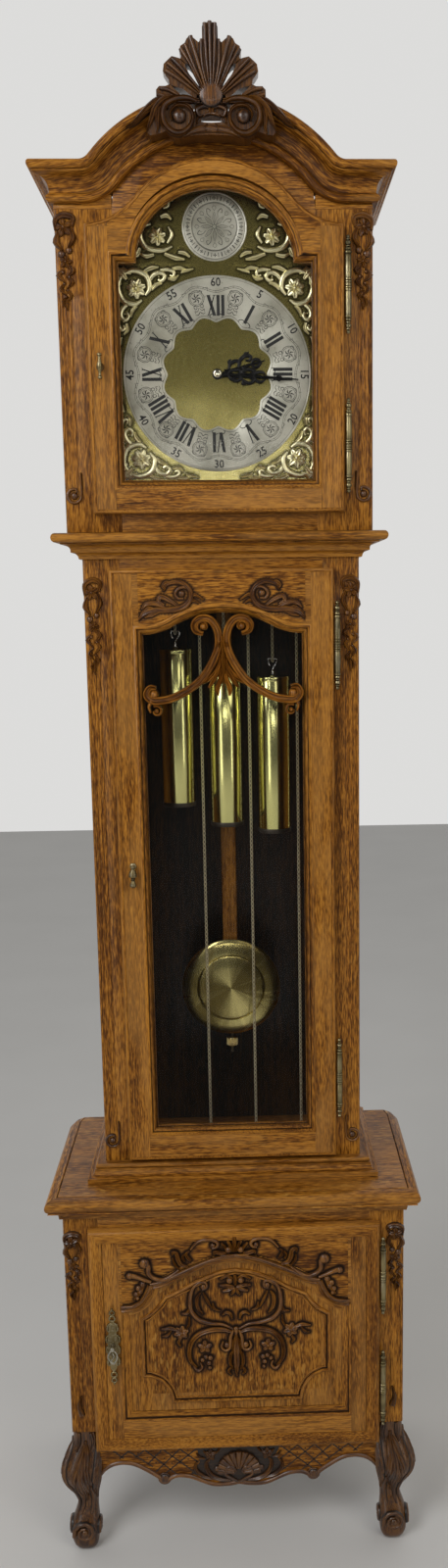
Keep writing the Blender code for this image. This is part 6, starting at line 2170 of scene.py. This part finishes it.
def chainTree():
    tree, sockets = geometryTree("chainLinks", [("Geometry", "NodeSocketGeometry", None), ("Pitch",
            "NodeSocketFloat", 0.0056),
                                                ("Link", "NodeSocketObject", None), ("Material",
                                                        "NodeSocketMaterial", None)])
    nodes, links = tree.nodes, tree.links
    start, end = nodes.new("NodeGroupInput"), nodes.new("NodeGroupOutput")
    curve = nodes.new("GeometryNodeMeshToCurve")
    resample = nodes.new("GeometryNodeResampleCurve")
    resample.mode = "LENGTH"
    points = nodes.new("GeometryNodeInstanceOnPoints")
    link = nodes.new("GeometryNodeObjectInfo")
    index = nodes.new("GeometryNodeInputIndex")
    odd, angle = nodes.new("ShaderNodeMath"), nodes.new("ShaderNodeMath")
    turn = nodes.new("ShaderNodeCombineXYZ")
    odd.operation, angle.operation = "MODULO", "MULTIPLY"
    odd.inputs[1].default_value = 2.0
    angle.inputs[1].default_value = 0.5 * math.pi
    shift = nodes.new("ShaderNodeMath")
    shift.operation = "ADD"
    shift.inputs[1].default_value = 0.25 * math.pi
    real, paint = nodes.new("GeometryNodeRealizeInstances"), nodes.new("GeometryNodeSetMaterial")
    for source, target in ((start.outputs["Geometry"], curve.inputs["Mesh"]), (curve.outputs[0],
            resample.inputs["Curve"]),
                           (start.outputs["Pitch"], resample.inputs["Length"]), (resample.outputs[0],
                                   points.inputs["Points"]),
                           (start.outputs["Link"], link.inputs["Object"]), (link.outputs["Geometry"],
                                   points.inputs["Instance"]),
                           (index.outputs[0], odd.inputs[0]), (odd.outputs[0], angle.inputs[0]),
                           (angle.outputs[0], shift.inputs[0]),
                           (shift.outputs[0], turn.inputs[2]), (turn.outputs[0],
                                   points.inputs["Rotation"]),
                           (points.outputs[0], real.inputs[0]), (real.outputs[0],
                                   paint.inputs["Geometry"]),
                           (start.outputs["Material"], paint.inputs["Material"]), (paint.outputs[0],
                                   end.inputs[0])):
        links.new(source, target)
    return tree, sockets


def linkObject():
    # one oval link of round wire, long in Z
    build = Build(101)
    wide, tall = goingLook["linkHalf"]
    wire = goingLook["linkWire"]
    stations = []
    for i in range(10):
        t = math.tau * i / 10
        centre = Vector((wide * math.cos(t), 0.0, tall * math.sin(t)))
        out = Vector((math.cos(t) / wide, 0.0, math.sin(t) / tall)).normalized()
        stations.append([tuple(centre + out * wire * math.cos(a) + Vector((0, 1, 0)) * wire * math.sin(a))
                         for a in (0.785, 2.356, 3.927, 5.498)])
    loftBody(build, stations, 3, 0, True)
    mesh = build.mesh("chainLink", ("chain",), 0.0, 60)
    made = bpy.data.objects.new("chainLink", mesh)
    bpy.context.scene.collection.objects.link(made)
    return made


def buildWeights():
    tree, sockets = chainTree()
    link = linkObject()
    top = Box("movement").z0 + 0.0715
    for label in ("left", "centre", "right"):
        box = Box("weight_" + label)
        node = "weight_" + label
        x, y = box.midX, box.midY
        radius = 0.0237
        low, high = box.z0, box.z0 + 0.229
        build = Build(102)
        profile = [(0.0, 0.0), (0.0235, 0.0), (0.0243, 0.0012), (0.0243, 0.0058), (0.0239, 0.0064)]
        latheBody(build, profile + [(0.0, 0.0064)], (x, y, low), (0, 0, 1), 48, 1)
        shellProfile = [(0.0, 0.0062), (radius - 0.0004, 0.0062), (radius, 0.0068), (radius, 0.2222),
                (radius - 0.0004, 0.2228), (0.0, 0.2228)]
        latheBody(build, shellProfile, (x, y, low), (0, 0, 1), 64, 0)
        latheBody(build, [(0.0, 0.2226), (0.0238, 0.2226), (0.0242, 0.2236), (0.0242, 0.2272), (0.0234,
                0.2286), (0.006, 0.229),
                          (0.0, 0.229)], (x, y, low), (0, 0, 1), 48, 0)
        latheBody(build, [(0.0, 0.2286), (0.0042, 0.2286), (0.0046, 0.23), (0.0026, 0.2316), (0.0022,
                0.236), (0.0, 0.2372)],
                  (x, y, low), (0, 0, 1), 16, 2)
        # bent wire hook
        base = low + 0.236
        hook = [(0.0, 0.0), (0.0, 0.003), (0.005, 0.011), (0.0062, 0.0165), (0.004, 0.0182), (-0.003,
                0.0186), (-0.006, 0.0176),
                (-0.0058, 0.013), (-0.0036, 0.008)]
        wireBody(build, [(x + u, y, base + v) for u, v in hook], 0.001, 2)
        build.piece("weight" + label.title(), node, ("weightBrass", "endCap", "silverWire"), (node,), 0.0,
                40)
        # links run from the wheel down to the hook; the free side hangs beside them
        chain = Box("chain_" + label)
        near = x
        line = bpy.data.meshes.new("run")
        line.from_pydata([(near, y, high + 0.024), (near, y, top)], [(0, 1)], [])
        made = runTree("chain" + label.title() + "Loaded", line, tree, sockets,
                       {"Pitch": goingLook["linkPitch"], "Link": link, "Material": mats["chain"]}, None)
        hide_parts("chain_" + label)
        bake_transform(made)
        far = chain.x1 - 0.0026
        spots = [(near, y, top)] + [(0.5 * (near + far) - 0.5 * (far - near) * math.cos(t), y, top
                + 0.5 * (far - near) * math.sin(t))
                                    for t in np.linspace(0.0, math.pi, 13)] + [(far, y, chain.z0 + 0.004)]
        line = bpy.data.meshes.new("run")
        line.from_pydata(spots, [(i, i + 1) for i in range(len(spots) - 1)], [])
        runTree("chain" + label.title() + "Free", line, tree, sockets,
                {"Pitch": goingLook["linkPitch"], "Link": link, "Material": mats["chain"]}, "case")
    bpy.data.objects.remove(link)


def wireBody(build, path, radius, slot=0, sides=8, steps=4):
    # round wire along points in space
    line = [Vector(p) for p in smoothLine(path, steps)]
    stations = []
    for i, point in enumerate(line):
        way = (line[min(i + 1, len(line) - 1)] - line[max(i - 1, 0)]).normalized()
        side = way.cross(Vector((0, 1, 0)))
        side = side.normalized() if side.length > 0.05 else Vector((1, 0, 0))
        up = way.cross(side)
        stations.append([tuple(point + side * radius * math.cos(a) + up * radius * math.sin(a))
                         for a in np.linspace(0, math.tau, sides, endpoint=False)])
    loftBody(build, stations, 3, slot)


def buildPendulum():
    rod, bob = Box("pendulum_rod"), Box("pendulum_bob")
    y = rod.midY
    centre = (bob.midX, 0.5 * (bob.z0 + bob.z1))
    build = Build(103)
    half = min(rod.half, 0.011)
    section = [(-half, 0.0), (-half, -0.0022), (-half + 0.0012, -0.0032), (half - 0.0012, -0.0032), (half,
            -0.0022), (half, 0.0022),
               (half - 0.0012, 0.0032), (-half + 0.0012, 0.0032), (-half, 0.0022)]
    low = centre[1] - 0.065
    loftBody(build, [[(u, y + v, z) for u, v in section[1:]] for z in (low, 1.568)], 2)
    build.piece("pendulumRod", "pendulum", ("rod",), (), 0.0, 30)
    metal = Build(104)
    boardBody(metal, (-half - 0.0006, half + 0.0006), (y - 0.0038, y + 0.0038), (1.546, 1.5705), 2)
    boardBody(metal, (-0.0045, 0.0045), (y - 0.0004, y + 0.0004), (1.5705, rod.z1 - 0.004), 2)
    latheBody(metal, [(0.0, -0.0085), (0.0018, -0.0085), (0.0018, 0.0085), (0.0, 0.0085)], (0.0, y,
            rod.z1 - 0.0022), (0, 1, 0), 12)
    boardBody(metal, (-half - 0.0005, half + 0.0005), (y - 0.0036, y + 0.0036), (low - 0.006,
            low + 0.012), 2)
    level = rod.z0
    turns = int((low - 0.006 - level) / 0.0008)
    profile = [(0.0, level), (0.0012, level)]
    for k in range(turns):
        profile += [(0.0019, level + 0.0008 * k + 0.0003), (0.0014, level + 0.0008 * k + 0.0007)]
    profile += [(0.0019, low - 0.0058), (0.0, low - 0.0058)]
    latheBody(metal, profile, (0.0, y, 0.0), (0, 0, 1), 12)
    metal.piece("pendulumFittings", "pendulum", ("oldBrass",), ("pendulum_rod",), 0.0, 30)
    disc = Build(105)
    radius = 0.5 * (bob.z1 - bob.z0)
    front, back = bob.y0, bob.y1
    thick = back - front
    profile = [(0.0, thick), (0.05, thick), (radius - 0.003, thick - 0.002), (radius - 0.0005,
            thick * 0.55), (radius, thick * 0.48),
               (radius - 0.001, thick * 0.42), (radius - 0.006, 0.0042), (0.056, 0.0026), (0.0522,
                       0.0025), (0.0512, 0.0036),
               (0.0502, 0.0024), (0.048, 0.0016), (0.03, 0.0004), (0.012, 0.0), (0.0, 0.0)]
    latheBody(disc, profile, (centre[0], front, centre[1]), (0, 1, 0), 96)
    disc.piece("pendulumBob", "pendulum", ("bob",), ("pendulum_bob",), 0.0, 25)
    nut = Box("rating_nut")
    build = Build(106)
    tall = nut.z1 - nut.z0
    profile = [(0.0022, 0.0), (0.006, 0.0), (0.0072, 0.001), (0.008, 0.0022), (0.008, tall - 0.0022),
            (0.0072, tall - 0.001),
               (0.005, tall), (0.0022, tall), (0.0022, 0.0)]
    latheBody(build, profile, (0.0, nut.midY, nut.z0), (0, 0, 1), 32)
    for k in range(24):
        t = math.tau * k / 24
        latheBody(build, [(0.0, 0.0018), (0.0007, 0.002), (0.0007, tall - 0.002), (0.0, tall - 0.0018)],
                  (0.0082 * math.cos(t), nut.midY + 0.0082 * math.sin(t), nut.z0), (0, 0, 1), 6)
    build.piece("ratingNut", "rating_nut", ("brass",), ("rating_nut",), 0.0, 40)


# hinges, knob, pull and key
hingeProfile = [(0.0, 0.061), (0.0011, 0.0606), (0.0022, 0.0596), (0.0027, 0.0582), (0.0022, 0.0568),
        (0.0014, 0.056),
                (0.003, 0.0552), (0.003, 0.0544), (0.0017, 0.0538), (0.0036, 0.0526), (0.0042, 0.0508),
                (0.0036, 0.049),
                (0.0018, 0.048), (0.0034, 0.0472), (0.0034, 0.0464), (0.0019, 0.0458), (0.004, 0.0446),
                (0.0044, 0.0434),
                (0.004, 0.0422), (0.0026, 0.0414), (0.0045, 0.0406), (0.0048, 0.0396), (0.0048, 0.0384),
                (0.004, 0.0376),
                (0.0042, 0.03), (0.0046, 0.02), (0.0044, 0.012), (0.004, 0.008), (0.0048, 0.0072),
                (0.0048, 0.0058),
                (0.0038, 0.005), (0.0048, 0.0042), (0.0048, 0.0028), (0.004, 0.002), (0.0047, 0.0012),
                (0.0047, 0.0002), (0.0, 0.0002)]


def buildHinges():
    for door in ("hood", "trunk", "base"):
        for level in ("low", "high"):
            stem = door + "_door_hinge_" + level
            pin = Box(stem + "_pin")
            sleeve = Box(stem + "_sleeve")
            middle = (sleeve.midX, 0.5 * (sleeve.y0 + sleeve.y1), sleeve.z0 - 0.00015)
            build = Build(111)
            latheBody(build, [(r, -h) for r, h in hingeProfile], middle, (0, 0, 1), 20)
            boardBody(build, (middle[0] - 0.0012, middle[0] + 0.0012), (middle[1], pin.y1),
                    (middle[2] - 0.038, middle[2] - 0.006), 2)
            build.piece(door + "Hinge" + level.title() + "Pin", "case", ("hinge",), (stem + "_pin",), 0.0,
                    35)
            build = Build(112)
            latheBody(build, hingeProfile, middle, (0, 0, 1), 20)
            build.piece(door + "Hinge" + level.title() + "Sleeve", door + "_door", ("hinge",),
                    (stem + "_sleeve",), 0.0, 35)


def buildHandles():
    knob = Box("hood_door_knob")
    x, z = knob.midX, 0.5 * (knob.z0 + knob.z1)
    front = knob.y0 + 0.0036
    build = Build(113)
    bar = [(0.0, -0.0165), (0.0018, -0.0162), (0.003, -0.0148), (0.003, -0.0132), (0.0019, -0.012),
           (0.0018, -0.0085),
           (0.0024, -0.005), (0.0036, -0.002), (0.0038, 0.0)]
    bar += [(r, -h) for r, h in reversed(bar[:-1])]
    latheBody(build, bar, (x, front, z), (0, 0, 1), 20)
    depth = knob.y1 - front
    latheBody(build, [(0.0, 0.0), (0.0024, 0.0), (0.002, depth * 0.5), (0.0034, depth * 0.72), (0.005,
            depth * 0.9), (0.0052, depth),
                      (0.0, depth)], (x, front, z), (0, 1, 0), 20)
    build.piece("hoodDoorKnob", "hood_knob", ("oldBrass",), ("hood_door_knob",), 0.0, 40)

    pull = Box("trunk_door_pull")
    x, top = pull.midX, pull.z1 - 0.0028
    y = pull.y0 + 0.0058
    build = Build(114)
    bell = [(0.0, 0.0028), (0.002, 0.0022), (0.0028, 0.0002), (0.002, -0.0022), (0.0028, -0.0034),
            (0.0046, -0.006), (0.0054, -0.0092),
            (0.0058, -0.0128), (0.0056, -0.0138), (0.003, -0.0142), (0.0022, -0.016), (0.0036, -0.0172),
            (0.0024, -0.0186),
            (0.0034, -0.0215), (0.0046, -0.0252), (0.0044, -0.0276), (0.0026, -0.0294), (0.0, -0.03)]
    latheBody(build, bell, (x, y, top), (0, 0, 1), 24)
    depth = pull.y1 - y
    latheBody(build, [(0.0, 0.0), (0.0017, 0.0), (0.0017, depth * 0.7), (0.0044, depth * 0.86), (0.0046,
            depth), (0.0, depth)], (x, y, top),
              (0, 1, 0), 16)
    build.piece("trunkDoorPull", "trunk_pull", ("oldBrass",), ("trunk_door_pull",), 0.0, 40)

    plate = Box("base_door_escutcheon")
    x, z, front = plate.midX, plate.midZ, plate.y1
    build = Build(115)

    def limb(points, widths, height, kind="round"):
        for s in (-1, 1):
            stroke(build, [(x + s * u, z + v) for u, v in points], widths, [0.7 * height, height,
                    0.7 * height], front, kind, 4)

    core = mirrored([(0.0, -0.04), (0.0044, -0.034), (0.0062, -0.02), (0.0074, -0.006), (0.0078, 0.008),
            (0.0056, 0.022),
                     (0.005, 0.034), (0.0, 0.04)])
    plateBody(build, [(x + u, z + v) for u, v in core], plate.y0, plate.y1, 2)
    for end in (-1, 1):
        stroke(build, [(x + 0.0034 * math.cos(t), z + end * 0.0535 + 0.0034 * math.sin(t))
                for t in np.linspace(0, math.tau, 13)],
               0.0024, 0.0013, front, "round", 2)
        stroke(build, [(x + 0.004 * math.cos(t), z + end * 0.0445 + 0.004 * math.sin(t))
                for t in np.linspace(0, math.tau, 13)],
               0.0026, 0.0014, front, "round", 2)
        dome(build, x, z + end * 0.059, front, 0.0016, 0.0013, 8)
    limb([(0.001, 0.039), (0.006, 0.034), (0.0074, 0.027), (0.0046, 0.023)], [0.002, 0.0034, 0.003,
            0.0016], 0.0016)
    limb([(0.003, 0.03), (0.002, 0.023), (0.001, 0.018)], [0.002, 0.0034, 0.0014], 0.0015, "leaf")
    limb([(0.004, 0.02), (0.009, 0.015), (0.0088, 0.008), (0.0056, 0.007)], [0.002, 0.0034, 0.0032,
            0.0018], 0.0016)
    limb([(0.005, 0.004), (0.0088, -0.002), (0.008, -0.01), (0.005, -0.011)], [0.002, 0.0034, 0.0032,
            0.0018], 0.0016)
    limb([(0.004, -0.014), (0.0078, -0.02), (0.0076, -0.028), (0.0044, -0.03)], [0.002, 0.0034, 0.0032,
            0.0016], 0.0016)
    limb([(0.002, -0.025), (0.0018, -0.032), (0.001, -0.04)], [0.0018, 0.0034, 0.0014], 0.0015, "leaf")
    latheBody(build, [(0.004, 0.0), (0.0054, 0.0004), (0.005, 0.0014), (0.004, 0.0016)], (x, front,
            z + 0.002), (0, -1, 0), 24)
    build.piece("baseDoorEscutcheon", "base_door", ("oldBrass",), ("base_door_escutcheon",), 0.0, 45)

    key = Box("base_door_key")
    pivotZ = 0.331
    pivotX = -0.179
    build = Build(116)
    depth = key.y1 - key.y0 - 0.0002
    latheBody(build, [(0.0, 0.0), (0.0026, 0.0), (0.0032, 0.0008), (0.0026, 0.0016), (0.003, 0.003),
            (0.0024, 0.0044), (0.0024, depth - 0.002),
                      (0.0034, depth - 0.001), (0.0034, depth), (0.0, depth)], (pivotX, key.y0, pivotZ),
              (0, 1, 0), 20)
    for s in (-1, 1):
        bow = []
        for t in np.linspace(0.0, 1.0, 9):
            angle = math.pi * t
            bow.append((pivotX + s * (0.0066 * math.sin(angle) * (1.0 - 0.25 * t) + 0.0008), key.y0
                    + 0.0026 + 0.001 * s * math.sin(2 * angle),
                        pivotZ - 0.001 - 0.0225 * t))
        wireBody(build, bow, 0.0014, 0, 10, 3)
    wireBody(build, [(pivotX, key.y0 + 0.0026, pivotZ - 0.006), (pivotX + 0.002, key.y0 + 0.0024,
            pivotZ - 0.012),
                     (pivotX - 0.0018, key.y0 + 0.0028, pivotZ - 0.017), (pivotX, key.y0 + 0.0026,
                             pivotZ - 0.022)], 0.001, 0, 8, 4)
    build.piece("baseDoorKey", "base_key", ("keyMetal",), ("base_door_key",), 0.0, 45)


buildWeights()
buildPendulum()
buildHinges()
buildHandles()
print("clock: weights, pendulum and fittings made")



# stage
viewLook = {"place": (0.0287, -1.8602, 1.3974), "yaw": 0.0363, "pitch": 0.1805, "roll": -0.0111,
            "lens": 29.53, "shift": (-0.044, 0.031), "room": (0.1, 0.72)}


def buildStage():
    yaw, pitch, roll = viewLook["yaw"], viewLook["pitch"], viewLook["roll"]
    ahead = Vector((math.sin(yaw) * math.cos(pitch), math.cos(yaw) * math.cos(pitch), -math.sin(pitch)))
    right = Vector((math.cos(yaw), -math.sin(yaw), 0.0))
    up = right.cross(ahead)
    tiltRight = right * math.cos(roll) + up * math.sin(roll)
    tiltUp = up * math.cos(roll) - right * math.sin(roll)
    data = bpy.data.cameras.new("camera")
    data.lens = viewLook["lens"]
    data.sensor_width = 36.0
    data.shift_x, data.shift_y = viewLook["shift"]
    camera = bpy.data.objects.new("camera", data)
    turn = Matrix((tiltRight, tiltUp, -ahead)).transposed().to_4x4()
    camera.matrix_world = Matrix.Translation(viewLook["place"]) @ turn
    bpy.context.scene.collection.objects.link(camera)
    bpy.context.scene.camera = camera
    lamps = (("window", (-1.7, -1.9, 2.8), (0.0, 0.0, 1.3), 1.5, 44.0, (0.97, 0.98, 1.0)),
             ("room", (1.6, -2.1, 2.7), (0.0, 0.0, 1.2), 2.0, 22.0, (1.0, 0.96, 0.9)),
             ("tallLeft", (-1.5, -2.3, 0.95), (0.0, 0.0, 1.0), (0.62, 1.7), 7.0, (1.0, 0.98, 0.95)),
             ("tallRight", (1.9, -2.0, 0.95), (0.0, 0.0, 1.0), (0.22, 1.7), 4.0, (1.0, 0.98, 0.95)),
             ("strip", (0.0, -3.0, 1.86), (0.0, 0.0, 1.6), (1.5, 0.16), 4.0, (1.0, 0.98, 0.92)))
    for name, place, target, size, power, colour in lamps:
        lamp = bpy.data.lights.new(name, "AREA")
        if isinstance(size, tuple):
            lamp.shape = "RECTANGLE"
            lamp.size, lamp.size_y = size
        else:
            lamp.size = size
        lamp.energy = power
        lamp.color = colour
        made = bpy.data.objects.new(name, lamp)
        way = Vector(target) - Vector(place)
        made.matrix_world = Matrix.Translation(place) @ way.to_track_quat("-Z", "Y").to_matrix().to_4x4()
        bpy.context.scene.collection.objects.link(made)
    world = bpy.data.worlds.new("studio")
    world.use_nodes = True
    tree = world.node_tree
    coordinates = tree.nodes.new("ShaderNodeTexCoord")
    parts = tree.nodes.new("ShaderNodeSeparateXYZ")
    level = tree.nodes.new("ShaderNodeMapRange")
    level.interpolation_type = "SMOOTHSTEP"
    for socket, value in zip(list(level.inputs)[1:5], (-0.35, 0.55, *viewLook["room"])):
        socket.default_value = value
    tree.links.new(coordinates.outputs["Generated"], parts.inputs[0])
    tree.links.new(parts.outputs[1], level.inputs[0])
    tree.links.new(level.outputs[0], tree.nodes["Background"].inputs[1])
    tree.nodes["Background"].inputs[0].default_value = (1.0, 0.995, 0.98, 1.0)
    bpy.context.scene.world = world
    bpy.context.scene.view_settings.view_transform = "Standard"
    mesh = bpy.data.meshes.new("floor")
    mesh.from_pydata([(-6, -6, 0), (6, -6, 0), (6, 6, 0), (-6, 6, 0)], [], [(0, 1, 2, 3)])
    mesh.materials.append(mats["floor"])
    floor = bpy.data.objects.new("floor", mesh)
    floor.location.z = -0.0005
    bpy.context.scene.collection.objects.link(floor)


buildStage()
print("clock: scene ready")
